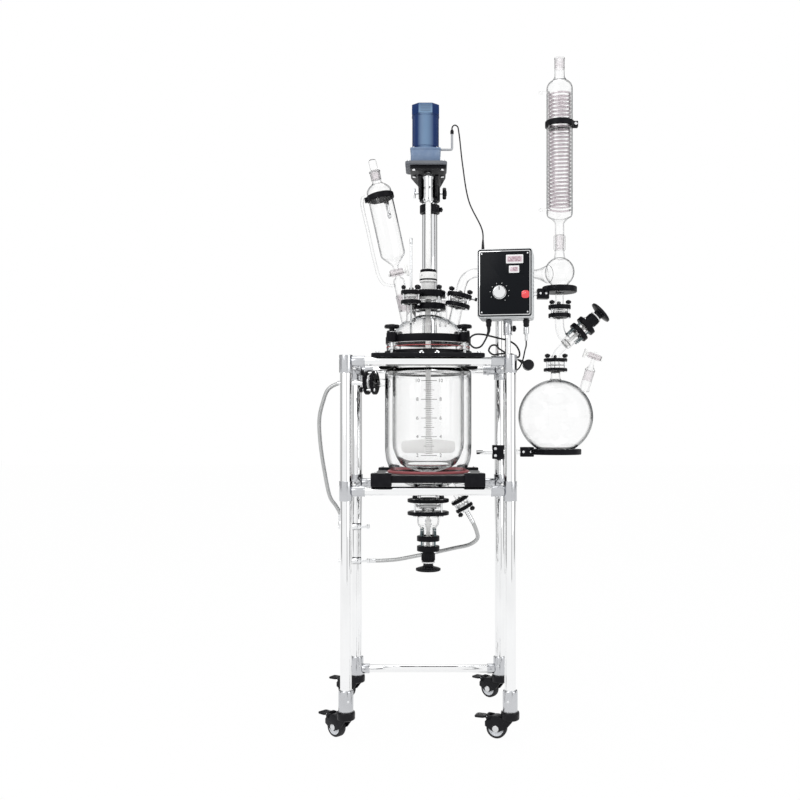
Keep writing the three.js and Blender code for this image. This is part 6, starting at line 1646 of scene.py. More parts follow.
MOTOR_SHIFT = -8        # gearbox and motor stand left of the shaft
PLATE_SHIFT = -6


class REACTOR_OT_drive(bpy.types.Operator):
    """Column, bracket and gear motor above the lid"""
    bl_idname = "reactor.drive"
    bl_label = "Stirring Drive"

    def execute(self, context):
        motor_radius = context.scene.reactor_sizes.motor_diameter / MM / 2
        x0, y0 = 4.5, 200
        foot = [(0, 1082.3), (36.5, 1082.3), (38, 1084), (38, 1090.5), (36.5, 1092.3), (24.2, 1092.3),
                (0, 1092.3)]
        tube = [(0, 1083), (24, 1083), (24, 1648), (23, 1649.6), (0, 1649.6)]
        collar = [(24.1, 1561), (31, 1561), (32, 1562.4), (32, 1585.6), (31, 1587), (24.1, 1587),
                  (24.1, 1561)]
        parts = [('chrome', moved(lathe(tube, 72), x0, y0)),
                 ('fitting', moved(lathe(foot, 64, 0.6), x0, y0)),
                 ('casting', moved(lathe(collar, 64, 0.6), x0, y0)),
                 ('plastic', moved(grip(8, 0, 9, 5), x0 + 31.5, y0, 1574, direction=(1, 0, 0)))]
        for x, y, _ in round_about(4, 31, 45):
            parts.append(('chrome', moved(screw(x, y, 1092.3, 3.6, 3.2), x0, y0)))
        piece('drive_column', parts, stands_for=("motor_column",))

        outline = [(-53, -50), (53, -50), (53, 70), (37.5, 188), (-28.5, 188), (-53, 70)]
        top = [('casting', prism(finer(outline, 12), 1639.8, 1649.7, 1.4)),
               ('casting',
                moved(lathe([(24.5, 1599), (31.6, 1599), (33, 1600.6), (33, 1649.6), (24.5, 1649.6),
                                        (24.5, 1599)], 64, 0.8), x0, y0))]
        for side in (-1, 1):
            rib = [(26, 1649), (26, 1636), (60, 1627), (120, 1612), (192, 1605), (192, 1649)]
            shape = upright(rib, side * 26 - 5, side * 26 + 5, 1.4)
            turned = [(-py, px, pz) for px, py, pz in shape[0]]
            top.append(('casting', outward(turned, shape[1])))
        top += [('chrome', bar((x0 - 30, y0, 1626), (x0 - 47, y0, 1626), 4.4, 24)),
                ('chrome', block(x0 - 52, x0 - 45.5, y0 - 3.2, y0 + 3.2, 1610, 1642, 1.4, 1.2)),
                ('chrome', bar((x0 + 30, y0, 1626), (x0 + 44, y0, 1626), 4.4, 24)),
                ('plastic', moved(grip(19, 0, 12, 6), x0 + 41, y0, 1626, direction=(1, 0, 0)))]
        for x, y in corners(42, 40):
            top.append(('chrome', moved(hexagon(5.6, 1635.4, 1639.8), x, y - 2)))
        piece('drive_bracket', top, stands_for=("motor_bracket",))

        base = 1650
        plate = rounded(PLATE_SHIFT - 62, PLATE_SHIFT + 62, -62, 62, 14, 8)
        box = rounded(MOTOR_SHIFT - 44, MOTOR_SHIFT + 44, -44, 44, 6, 5)
        rim = rounded(MOTOR_SHIFT - 45.4, MOTOR_SHIFT + 45.4, -45.4, 45.4, 7, 5)
        half, cut_corner = 40.5, 20
        cap = [(half, -half + cut_corner), (half, half - cut_corner), (half - cut_corner, half),
               (-half + cut_corner, half), (-half, half - cut_corner), (-half, -half + cut_corner),
               (-half + cut_corner, -half), (half - cut_corner, -half)]
        body = [(0, base + 54), (motor_radius - 1, base + 54), (motor_radius, base + 55),
                (motor_radius, base + 60),
                (motor_radius - 0.9, base + 60.8), (motor_radius - 0.9, base + 62.2),
                (motor_radius, base + 63),
                (motor_radius, base + 153), (41.2, base + 154), (41.2, base + 157.2), (0, base + 157.2)]
        motor = [('drive_plate', prism(plate, base + 0.1, base + 10, 1.6)),
                 ('gearbox', prism(box, base + 10, base + 53.4, 1.8)),
                 ('gearbox', prism(rim, base + 48, base + 54, 1.2)),
                 ('motor', moved(lathe(body, 72), MOTOR_SHIFT)),
                 ('motor', moved(prism(cap, base + 157, base + 188, 2.2), MOTOR_SHIFT)),
                 # inset on the cap's top in the darkened enamel, painted shade
                 ('motor_painted_shade',
                  moved(prism([(x * 0.86, y * 0.86) for x, y in cap], base + 187, base + 189, 0.6),
                                      MOTOR_SHIFT)),
                 ('conduit', bar((27, 0, base + 59), (66, 0, base + 59), 3.5, 28)),
                 ('conduit', sweep(route([(62, 0, base + 59), (69.6, 0, base + 59.6), (71.7, 0, base + 63),
                                          (71.7, 0, base + 70)], 16), 3.5, 24)),
                 ('conduit', moved(rod(3.5, base + 68, base + 119, 28, 0.5), 71.7, 0)),
                 ('chrome', along_x(hexagon(6, 0, 7), 30, 0, base + 59)),
                 ('plastic',
                  moved(lathe([(0, base + 106), (4.8, base + 106), (5.2, base + 107), (5.2, base + 115),
                                          (3.4, base + 119), (0, base + 119)], 28, 0.4), 71.7, 0))]
        motor += [('chrome', screw(x + PLATE_SHIFT, y, base + 10, 4.4, 4.2)) for x, y in corners(51, 51)]
        motor += [('chrome', screw(x + MOTOR_SHIFT, y, base + 54, 3.2, 3.0)) for x, y in corners(34.5, 34.5)]
        # vent slots drawn as thin bars in the darkened enamel, painted shade
        for i in range(5):
            level = base + 163 + i * 4.6
            for side in (-1, 1):
                slots = (block(-15, 15, side * 40.2 - 0.6, side * 40.2 + 0.6, level, level + 1.8, 0.4, 0.4),
                         block(side * 40.2 - 0.6, side * 40.2 + 0.6, -15, 15, level, level + 1.8, 0.4, 0.4))
                motor += [('motor_painted_shade', moved(slot, MOTOR_SHIFT)) for slot in slots]
        piece('gear_motor_body', motor, stands_for=("gear_motor",))
        return {'FINISHED'}


# ------------------------------------------------------------------ dropping funnel


def stopcock_key(barrel, diameter, grip_length):
    """Stopcock key along X: tapered plug, washer and nut at one end, cross grip at the other"""
    reach, radius = barrel / 2, diameter / 2
    parts = [('polymer', bar((-reach - 6, 0, 0), (reach + 12, 0, 0), radius, 32, 0.6)),
             ('polymer', bar((-reach - 6.4, 0, 0), (-reach - 1.6, 0, 0), radius + 2.5, 32, 0.8)),
             ('rubber', along_x(ring(radius + 1.8, radius - 0.4, 0, 1.4, 32, 0.4), -reach - 1.6, 0, 0)),
             ('polymer', along_x(lathe([(0, 0), (radius + 3, 0), (radius + 3, 2), (radius + 0.5, 4), (0, 4)],
                                       32, 0.5), reach + 2, 0, 0)),
             ('polymer',
              bar((reach + 11, 0, -grip_length / 2), (reach + 11, 0, grip_length / 2), 4.5, 32, 1.6))]
    return parts


class REACTOR_OT_funnel(bpy.types.Operator):
    """Dropping funnel with its stopper, stopcock, balance tube and band"""
    bl_idname = "reactor.funnel"
    bl_label = "Dropping Funnel"

    def execute(self, context):
        body = context.scene.reactor_sizes.funnel_diameter / MM / 2

        def on_funnel(shape):
            return at(shape, FUNNEL_JOINT, lean(FUNNEL_LEAN))

        bottom = curve_through([(9, 90), (10.4, 95), (30, 117), (35.4, 123.5), (body, 131)], 4)
        top = curve_through([(body, 318), (body - 1.5, 327), (body - 9, 337), (19, 344), (13.5, 351)], 4)
        outer = [(16.5, 4), (16.5, 48), (14, 53), (9, 57), (7, 61), (7, 84), *bottom, *top, (13.5, 354),
                 (14.6, 358), (15.5, 382), (16.6, 384)]
        male = [(11.6, -44), (14.2, -44), (15.1, -0.4), (18, 0.4), (18, 3), (16.5, 5), (12.8, 5),
                (11.6, -44)]
        lip = [(12.1, 380.5), (16.8, 380.5), (17.4, 382.4), (16.8, 384), (12.1, 384), (12.1, 380.5)]
        balance = route([(-31, 0, 312), (-41, 0, 316.5), (-52, 0, 312), (-57.6, 0, 295), (-58, 0, 220),
                         (-58, 0, 110), (-55, 0, 70), (-46, 0, 48), (-30, 0, 39), (-14, 0, 35)], 90)
        barrel = [(5.9, -20), (8.5, -20), (11, -16), (11, 16), (8.5, 20), (5.9, 20), (5.9, -20)]
        glass = [('glass', lathe(shell_profile(outer, 2.4), 72)), ('ground_glass', lathe(male, 56)),
                 ('glass', lathe(lip, 56, 0.5)), ('pale_glass', sweep(balance, 5, 24, 3.2)),
                 ('coil_glass', along_x(lathe(barrel, 48, 0.6), 0, 0, 72)),
                 ('ground_glass',
                  lathe([(11.7, 357), (15.2, 357), (15.7, 379), (12.2, 379), (11.7, 357)], 48))]
        piece('funnel_glass', placed(glass, on_funnel),
              stands_for=("dropping_funnel",), sharp=40)

        band = [(37.8, 296), (40.6, 296), (41.5, 297.5), (41.5, 310.5), (40.6, 312), (37.8, 312),
                (37.8, 296)]
        fit_out = [('rubber', ring(38.0, 37.0, 294.6, 313.4, 72, 0.4)), ('casting', lathe(band, 80, 0.5)),
                   ('casting', block(8, 24, 38, 57.5, 294, 314, 3, 1.4)),
                   ('chrome', moved(rod(5.4, 262, 312, 32, 1.0), 16, 49.5)),
                   ('turned_steel', moved(grip(6.6, 246, 264, 8), 16, 49.5)),
                   ('chrome', moved(hexagon(7.2, 286, 293.6), 16, 49.5)),
                   ('casting', block(-26, -12, 37.5, 46, 297, 311, 2, 1.2)),
                   screw_at((-41, -2, 304), (-1, 0, 0), 3.0, 2.6),
                   ('casting', block(-48, -37, -7, 7, 297, 311, 2, 1.2))]
        piece('funnel_band', placed(fit_out, on_funnel))

        plug = [(0, 357), (10.9, 357), (11.5, 384), (9.6, 388), (11.2, 392), (11.5, 395), (11.5, 414),
                (10.2, 418), (7, 420), (0, 420)]
        stopper = [('ground_glass', lathe(plug[:3] + [(0, 384)], 48, 0.4)),
                   ('glass', lathe([(0, 384.3), (11.0, 384.3), *plug[3:]], 48, 0.5))]
        piece('funnel_stopper_plug', placed(stopper, on_funnel),
              stands_for=("funnel_stopper",))

        key = placed(stopcock_key(40, 11, 32), lambda shape: on_funnel(moved(shape, 0, 0, 72)))
        piece('funnel_stopcock_key', key, 'funnel_key', ("funnel_key",))
        return {'FINISHED'}


# ------------------------------------------------------------------ condenser line


CHAIN = Vector((418.4, 172, 0))     # axis of the bulb and the condenser
BULB_CENTRE = (0, 1369.0)
BULB_JOINT = CHAIN + Vector((0, 0, 1243))


def helix(radius, bottom, top, turns, steps=30, centre=(0, 0)):
    count = round(turns * steps)
    out = []
    for i in range(count + 1):
        angle = 2 * math.pi * i / steps
        out.append(Vector((centre[0] + radius * math.cos(angle), centre[1] + radius * math.sin(angle),
                           bottom + (top - bottom) * i / count)))
    return out


class REACTOR_OT_condenser(bpy.types.Operator):
    """Vapour tube and bulb with its ring, and the coil condenser above it"""
    bl_idname = "reactor.condenser"
    bl_label = "Condenser Line"

    def execute(self, context):
        radius = context.scene.reactor_sizes.condenser_diameter / MM / 2

        def on_chain(shape):
            return at(shape, CHAIN)

        lift = [VAPOUR_JOINT + lean(VAPOUR_LEAN) * run for run in (0.2, 12, 24, 46)]
        bend, end = Vector((130, 20, 1340)), Vector((374.4, 172, 1362))
        way = (end - bend).normalized()
        tube = route([*lift, (112, 10, 1324), bend + (end - bend) * 0.03, bend.lerp(end, 0.2),
                      bend.lerp(end, 0.45), bend.lerp(end, 0.72), bend.lerp(end, 0.9), end + way * 7.5], 110)
        widths = []
        for point in tube:
            left = (tube[-1] - point).length
            widths.append(14 + 15 * max(0.0, 1 - left / 52) ** 1.5)
        bulb = [(26, 1243.2), (26, 1249.2), (15, 1249.4), (13, 1254), (13, 1308), (14.2, 1313), (35, 1338),
                *arc(BULB_CENTRE, 47, -38, 68, 26), (14.5, 1432), (15.5, 1438), (18.5, 1441), (18.5, 1482),
                (17.8, 1484),
                (14.3, 1484), (13.9, 1442), (12.2, 1436), (12.2, 1430), *arc(BULB_CENTRE, 44.8, 70, -38, 26),
                (33.4, 1339.4), (11.4, 1313.4), (10.8, 1308), (10.8, 1243.2), (26, 1243.2)]
        glass = [('glass', on_chain(lathe(bulb, 72))),
                 ('glass', sweep(tube, widths, 32, [width - 2.2 for width in widths])),
                 ('glass',
                  at(lathe([(13.6, 0.3), (28, 0.3), (28, 7.4), (16, 7.6), (13.9, 11), (13.6, 0.3)], 56, 0.8),
                              VAPOUR_JOINT, lean(VAPOUR_LEAN)))]
        piece('vapour_glass', glass, stands_for=("vapour_bulb",), sharp=40)

        def at_vapour(shape):
            return at(shape, VAPOUR_JOINT, lean(VAPOUR_LEAN))

        clamp = joint_clamp(VAPOUR, 17.3, 14.8, at_vapour, 0.8)
        clamp.append(('chrome', at_vapour(bar((35.5, 0, 14), (54.5, 0, 14), 4, 20))))
        clamp.append(('plastic', at_vapour(bar((47, 0, 14), (54.4, 0, 14), 5.4, 20, 1.2))))
        piece('vapour_joint_clamp', clamp, stands_for=("vapour_clamp",))

        cup = [(13.7, 1303), (53, 1303), (55, 1305), (55, 1320), (53.4, 1322), (22.6, 1322), (14.4, 1312.4),
               (13.7, 1303)]
        ring_parts = [('casting', on_chain(lathe(cup, 80, 1.2))),
                      ('casting', block(346.4, 384.4, 156, 188, 1283, 1315, 5, 2)),
                      ('steel_x', bar((226.5, 172, 1299), (358, 172, 1299), 7.5, 32, 0.6)),
                      ('casting', moved(ring(21, 10.3, 1283, 1315, 56, 1.6), 226.5, 200)),
                      ('casting', block(210.5, 242.5, 160, 192, 1286, 1312, 4, 1.8)),
                      *[screw_at((x, 160.2, 1299), TO_FRONT, 4.2, 3.6) for x in (218.5, 234.5)],
                      *[screw_at((x, 156.2, 1299), TO_FRONT, 3.6, 3.0) for x in (356, 374)]]
        piece('bulb_ring_arm', ring_parts, stands_for=("bulb_ring",))

        joint = joint_clamp(BULB, 15.1, 13.6, lambda shape: at(shape, BULB_JOINT), 0.8)
        piece('bulb_clamp', joint, stands_for=("bulb_joint_clamp",))

        shoulder = curve_through([(14.3, 1521), (16, 1527), (26, 1538), (radius - 3, 1546), (radius, 1556)],
                                 4)
        crown = curve_through([(radius, 1950), (radius - 1, 1960), (radius - 7, 1971), (24, 1979),
                               (16, 1991)], 4)
        outer = [(14.3, 1486), *shoulder, *crown, (16, 2014), (16, 2049)]
        coil = sweep(helix(34, 1567, 1941, 31.5, 30), 3.2, 10, 2.3)
        wall = [('glass', lathe(shell_profile(outer, 2.2), 80)), ('coil_glass', coil),
                ('ground_glass',
                 lathe([(10.2, 1442), (12.6, 1442), (13.45, 1484), (15.4, 1486), (10.2, 1486),
                                        (10.2, 1442)], 48, 0.4)),
                ('ground_glass',
                 lathe([(13.6, 2017), (16.2, 2017), (16.2, 2046), (13.6, 2046), (13.6, 2017)], 56)),
                ('glass',
                 lathe([(13.6, 2047), (16.6, 2047), (17.2, 2049.2), (16.6, 2051), (13.6, 2051),
                        (13.6, 2047)],
                                56, 0.5))]
        for level in (1567, 1941):
            barb = [(0, 0), (3.6, 0), (4.6, 5), (3.7, 5.6), (4.6, 11), (3.7, 11.6), (4.6, 17), (4.2, 18),
                    (4.2, 31),
                    (0, 31)]
            wall.append(('glass', moved(lathe(barb, 28), -65.5, 0, level, direction=(1, 0, 0))))
            wall.append(('glass', bar((-36, 0, level), (-31.5, 0, level), 3.4, 20, 0.4)))
        piece('condenser_glass', placed(wall, on_chain),
              stands_for=("condenser",), sharp=40)

        strap = [(radius + 0.4, 1831), (radius + 4, 1831), (radius + 4.5, 1832), (radius + 4.5, 1847),
                 (radius + 4, 1848), (radius + 0.4, 1848), (radius + 0.4, 1831)]
        band = [('rubber', ring(radius + 0.5, radius - 0.3, 1830, 1849, 80, 0.4)),
                ('casting', lathe(strap, 96, 0.4)),
                ('casting', block(42, 58.4, -9, -2.4, 1830, 1849, 2, 1.2)),
                ('casting', block(42, 58.4, 2.4, 9, 1830, 1849, 2, 1.2)),
                ('chrome', bar((50.5, -14, 1839.5), (50.5, 14, 1839.5), 3.2, 24)),
                ('chrome', at(hexagon(5.4, 0, 4.6), (50.5, -9, 1839.5), (0, -1, 0))),
                ('chrome', at(hexagon(5.4, 0, 4.6), (50.5, 9, 1839.5), (0, 1, 0)))]
        piece('condenser_band', placed(band, on_chain))
        return {'FINISHED'}


# ------------------------------------------------------------------ stem valves


DIVERTER = Vector((474.216, 172, 1172.157))
DIVERTER_WAY = Vector((math.cos(math.radians(42)), 0, math.sin(math.radians(42))))
OUTLET_LEVEL = 547.7
OUTLET_JOINT = Vector((0, 0, 634.8))
FLASK_JOINT = Vector((405.5, 172, 1072.3))


def valve_bonnet():
    """Ring on the glass, spring bolts, flange, tapered bonnet and white seal, along +Z from the ring"""
    collar = [(19.9, 0), (32.6, 0), (34, 1.4), (34, 14.6), (32.6, 16), (19.9, 16), (19.9, 0)]
    body = [(6.5, 30), (32.8, 30), (34, 31.4), (34, 44.6), (32.8, 46), (23, 46), (21, 48), (20.2, 60),
            (19, 77.4),
            (18.4, 78), (6.5, 78), (6.5, 30)]
    parts = [('casting', lathe(collar, 64, 0.5)), ('casting', lathe(body, 64, 0.5)),
             ('white_trim', ring(20, 6.5, 78.1, 82, 56, 0.7))]
    for x, y, _ in round_about(4, 27.5, 45):
        # bolts, nuts and coils in the darkened steel, painted coil shade
        parts.append(('spring_steel_painted_shade', moved(rod(2.6, -22, 30.5, 20, 0.5), x, y)))
        parts.append(('spring_steel_painted_shade', moved(hexagon(4.8, -22, -18.4), x, y)))
        parts.append(('chrome', moved(ring(5.2, 2.5, -18.4, -17.4, 24, 0.2), x, y)))
        coil = []
        for i in range(97):
            angle, share = 2 * math.pi * i / 16, i / 96
            reach = 4.0 + 1.0 * share
            coil.append(Vector((x + reach * math.cos(angle), y + reach * math.sin(angle),
                                -17.0 + 16.4 * share)))
        parts.append(('spring_steel_painted_shade', sweep(coil, 0.75, 8)))
        parts.append(('chrome', moved(hexagon(4.6, 46, 49.4), x, y)))
    for x, y, angle in round_about(24, 20.2, 0):
        parts.append(('casting',
                      moved(block(-0.5, 0.9, -1.1, 1.1, 50, 74, 0.4, 0.4), x * 0.985, y * 0.985, 0, None,
                                       angle)))
    return parts


def valve_stem(head):
    profile = [(0, head), (7.5, head), (13.5, head + 8), (13.5, head + 14), (6, head + 18), (6, 96.8),
               (0, 96.8)]
    return [('polymer', lathe(profile, 48, 0.7)),
            ('rubber', ring(14.0, 12.6, head + 9.5, head + 12.5, 48, 0.8))]


def valve_handwheel():
    wheel = [(0, 97.2), (6.3, 97.2), (6.3, 83), (14, 83), (15, 84), (15, 89), (17, 91.6), (33, 96.2),
             (36.1, 98.2),
             (36.5, 100), (36.5, 103), (35, 105.2), (32, 106), (27, 105.4), (20, 103.6), (8, 103), (0, 103)]
    parts = [('plastic', lathe(wheel, 72, 0.5)),
             ('chrome', lathe([(0, 102.9), (5, 102.9), (5, 104.6), (3.4, 105.4), (0, 105.4)], 32, 0.4))]
    for x, y, _ in round_about(24, 36.0, 0):
        parts.append(('plastic', moved(rod(1.3, 97.4, 104.4, 12, 0.5), x, y)))
    return parts


class REACTOR_OT_valves(bpy.types.Operator):
    """Discharge valve under the vessel and diverter valve beside the flask"""
    bl_idname = "reactor.valves"
    bl_label = "Stem Valves"

    def execute(self, context):
        def hanging(shape):
            return flipped(shape, OUTLET_LEVEL)

        def tilted(shape):
            return at(shape, DIVERTER, DIVERTER_WAY)

        for name, place, head in (('outlet', hanging, -79), ('diverter', tilted, -53)):
            for kind, parts, body, slot_name in (
                    ('bonnet', valve_bonnet(), 'frame', 'valve_black'),
                    ('stem', valve_stem(head), f'{name}_stem', 'ptfe'),
                    ('handwheel', valve_handwheel(), f'{name}_handwheel', 'valve_black')):
                piece(f'{name}_valve_{kind}', placed(parts, place), body,
                      (f'{name}_{kind}',))

        outer = [(25.5, -89.8), (40, -89.8), (40, -75), (33, -74), (30.5, -70), (30.5, -64), (33, -59),
                 (33, -41),
                 (31, -33), (26, -26), (20.5, -20), (19.5, -14), (19.5, 15.6), (23, 16.6), (23, 29.4),
                 (16.5, 29.4),
                 (16.5, -16), (17.5, -21), (23, -27.5), (28, -34), (30, -41), (30, -57), (27, -63),
                 (15, -66),
                 (15, -80), (25.5, -82), (25.5, -89.8)]
        spout = route([(0, 29, 588.7), (0, 42, 582.2), (0, 53, 576.7), (0, 58.6, 573.9)], 16)
        glass = [('glass', hanging(lathe(outer, 64, 0.5))), ('glass', sweep(spout, 12, 32, 9.5))]
        piece('outlet_valve_glass', glass, stands_for=("outlet_glass",), sharp=40)
        seal = joint_clamp(OUTLET, 31.1, 31.1, lambda shape: at(shape, OUTLET_JOINT))
        seal.append(('white_trim', at(ring(41, 27, -1.6, 4.2, 64, 0.6), (0, 0, 636.6))))
        piece('outlet_joint_clamp', seal, stands_for=("outlet_clamp",))

        body = [(0, -56), (11, -56), (16.4, -53.6), (18, -48), (18, -9), (19.5, -5), (19.5, 15.6),
                (23, 16.6),
                (23, 29.4), (16.4, 29.4), (16.4, -6), (15.4, -9), (15.4, -47), (13.6, -51.6), (9, -53.4),
                (0, -53.4)]
        inflow = DIVERTER + DIVERTER_WAY * -38
        low = DIVERTER + DIVERTER_WAY * -50
        upper = route([(418.4, 172, 1242.8), (418.4, 172, 1213), (419.4, 172, 1191), (427.4, 172, 1167),
                       inflow], 48)
        lower = route([low, (422.4, 172, 1122.7), (409.5, 172, 1106.7), (405.5, 172, 1086.3),
                       (405.5, 172, 1072.5)], 48)
        parts = [('glass', tilted(lathe(body, 56, 0.5))), ('pale_glass', sweep(upper, 14.3, 32, 12.1)),
                 ('pale_glass', sweep(lower, 12, 32, 9.6)),
                 ('glass', at(ring(26, 14.2, -6.2, -0.2, 56, 1.2), BULB_JOINT)),
                 ('glass', at(ring(28, 11.9, 0.2, 9.4, 56, 1.2), FLASK_JOINT))]
        piece('diverter_valve_glass', parts, stands_for=("diverter_glass",), sharp=40)
        return {'FINISHED'}


# ------------------------------------------------------------------ receiving flask


FLASK_CENTRE = Vector((405.5, 172, 907.986))
SIDE_NECK = FLASK_CENTRE + Vector((88, 0, 75))
SIDE_LEAN = 17.0
KEY_CENTRE = SIDE_NECK + lean(SIDE_LEAN) * 122
BARREL_WAY = Vector((math.cos(math.radians(20)), 0, -math.sin(math.radians(20))))


class REACTOR_OT_flask(bpy.types.Operator):
    """Round receiving flask with its side neck, stopcock, joint clamp and carrying ring"""
    bl_idname = "reactor.flask"
    bl_label = "Receiving Flask"

    def execute(self, context):
        radius = context.scene.reactor_sizes.flask_diameter / MM / 2

        outside = [(0, -radius), *arc((0, 0), radius, -88, 81, 60), (15.6, radius + 3), (14.5, radius + 8),
                   (14.5, 150),
                   (17, 154.6), (28, 154.8), (28, 164.1), (12, 164.1), (12, radius + 5),
                   *arc((0, 0), radius - 3, 83, -88, 60), (0, -radius + 3)]
        side = [(11.4, 6), (17, 9), (14.4, 20), (15.5, 30), (15.5, 40), (11.8, 40), (11.4, 6)]
        adapter = [(11.6, 40.4), (15.5, 40.4), (15.5, 74), (11.6, 74), (11.6, 40.4)]
        head = [(8, 74.4), (16.6, 74.4), (16.6, 77), (14, 80), (9, 88), (6.4, 94), (6, 100), (6, 116),
                (3.4, 116),
                (3.4, 96), (8, 84), (8, 74.4)]

        def on_side(shape):
            return at(shape, SIDE_NECK, lean(SIDE_LEAN))

        def on_barrel(shape):
            return at(shape, KEY_CENTRE, BARREL_WAY)

        barrel = [(5.6, -21), (7.4, -21), (9.5, -17), (9.5, 17), (7.4, 21), (5.6, 21), (5.6, -21)]
        vent = KEY_CENTRE + lean(SIDE_LEAN) * 16
        parts = [('glass', at(lathe(outside, 96), FLASK_CENTRE)), ('glass', on_side(lathe(side, 48, 0.6))),
                 ('ground_glass', on_side(lathe(adapter, 48))), ('glass', on_side(lathe(head, 48, 0.5))),
                 ('coil_glass', on_barrel(lathe(barrel, 48, 0.5))),
                 ('glass',
                  sweep([KEY_CENTRE.lerp(vent, 0.5), KEY_CENTRE.lerp(vent, 0.75), vent], 4.5, 24, 3.0))]
        piece('flask_glass', parts, stands_for=("receiving_flask",), sharp=40)

        turn = Vector((1, 0, 0)).rotation_difference(-BARREL_WAY).to_matrix()
        key = []
        for material, (points, faces) in stopcock_key(42, 10, 28):
            key.append((material, ([tuple(turn @ Vector(point) + KEY_CENTRE) for point in points], faces)))
        piece('flask_stopcock_key', key, 'flask_key', ("flask_key",))

        clamp = joint_clamp(FLASK, 14.8, 12.6, lambda shape: at(shape, FLASK_JOINT), 0.8)
        piece('flask_clamp', clamp, stands_for=("flask_joint_clamp",))

        hoop = [(55.8, 787), (80, 787), (81.6, 788.8), (81.6, 803), (80, 805), (62, 805), (59.8, 803.4),
                (56.2, 801),
                (55.8, 787)]
        carry = [('casting', moved(lathe(hoop, 96, 1.0), FLASK_CENTRE.x, FLASK_CENTRE.y)),
                 ('rubber', moved(ring(61.8, 59.9, 803.0, 805.6, 96, 0.8), FLASK_CENTRE.x, FLASK_CENTRE.y)),
                 ('casting', block(293, 336, 158, 186, 780, 811, 5, 2)),
                 ('steel_x', bar((153, 172, 795), (304, 172, 795), 7.5, 32, 1.2)),
                 ('casting', moved(ring(25, 16.4, 773, 817, 64, 1.8), 230, 200)),
                 ('casting', block(204.2, 240, 160, 186, 773, 817, 5, 2))]
        carry += [screw_at((213, 160.2, z), TO_FRONT, 4.6, 3.8) for z in (806, 784)]
        carry += [screw_at((x, 158.2, 796), TO_FRONT, 3.8, 3.2) for x in (302, 326)]
        piece('flask_ring_arm', carry, stands_for=("flask_ring",))
        return {'FINISHED'}


# ------------------------------------------------------------------ port clamps


def hose_tail(reach):
    """Flange, nut and grooved tail of a metal hose fitting along Z"""
    line = [(0, 6.4), (9.2, 6.4), (9.2, 9), (7.5, 11), (7.5, reach - 30)]
    level = reach - 30
    while level < reach - 3:
        line += [(7.5, level + 1.2), (6.5, level + 5.6), (7.5, level + 6.4)]
        level += 6.4
    line += [(6.2, reach), (0, reach)]
    return line


class REACTOR_OT_ports(bpy.types.Operator):
    """Clamps and hose tails on the jacket's two ports"""
    bl_idname = "reactor.ports"
    bl_label = "Port Clamps"

    def execute(self, context):
        upper = UPPER_PORT_FOOT + UPPER_PORT_WAY * 181
        for name, node, size, foot, way, disc, reach in (
                ('upper_port', 'upper_port_clamp', UPPER_PORT, upper, UPPER_PORT_WAY, 27, 88),
                ('lower_port', 'lower_port_clamp', LOWER_PORT, LOWER_PORT_FACE, LOWER_PORT_WAY, 20, 46)):
            def on_port(shape, foot=foot, way=way):
                return at(shape, foot, way)

            half, thick = size[2], size[1]
            parts = joint_clamp(size, 11.8, 9.6, on_port)
            parts += [('white_trim', on_port(ring(disc + 0.5, 8, -0.2, 2.6, 56, 0.5))),
                      ('turned_steel', on_port(ring(disc, 6, 2.6, half + 0.4, 56, 0.6))),
                      ('chrome', on_port(lathe([(0, half), *hose_tail(reach)[2:]], 36, 0.2))),
                      ('chrome', on_port(hexagon(10.5, half + thick, half + thick + 8)))]
            piece(name + '_joint', parts, stands_for=(node,))
        return {'FINISHED'}


# ------------------------------------------------------------------ controller


BOX_PLACE = (218.6, -200, 1176)
BOX_YAW = -9.0
BOX_FRONT = -50.0
DIAL_PLACE = (-13.6, 68)
SWITCH_PLACE = (57, 62)
SEGMENTS = {
    'a': (0.12, 0.88, 0.90, 1.0), 'b': (0.86, 1.0, 0.52, 0.94), 'c': (0.86, 1.0, 0.06, 0.48),
    'd': (0.12, 0.88, 0.0, 0.10), 'e': (0.0, 0.14, 0.06, 0.48), 'f': (0.0, 0.14, 0.52, 0.94),
    'g': (0.12, 0.88, 0.45, 0.55),
}
DIGITS = {'0': 'abcdef', '1': 'bc', '2': 'abged', '5': 'afgcd'}


def display_number(text, x, z, width, height, front):
    shapes = []
    for i, digit in enumerate(text):
        left = x + i * width * 1.35
        for key in DIGITS[digit]:
            x0, x1, z0, z1 = SEGMENTS[key]
            shapes.append(block(left + x0 * width, left + x1 * width, front - 0.5, front + 0.3,
                                z + z0 * height,
                                z + z1 * height, 0.3, 0.1))
    return merge(*shapes)


def framed_panel(x0, x1, z0, z1, front, depth, corner=3.0, edge=0.8):
    return towards_front(prism(rounded(x0, x1, z0, z1, corner, 4), -front, -front + depth, edge))


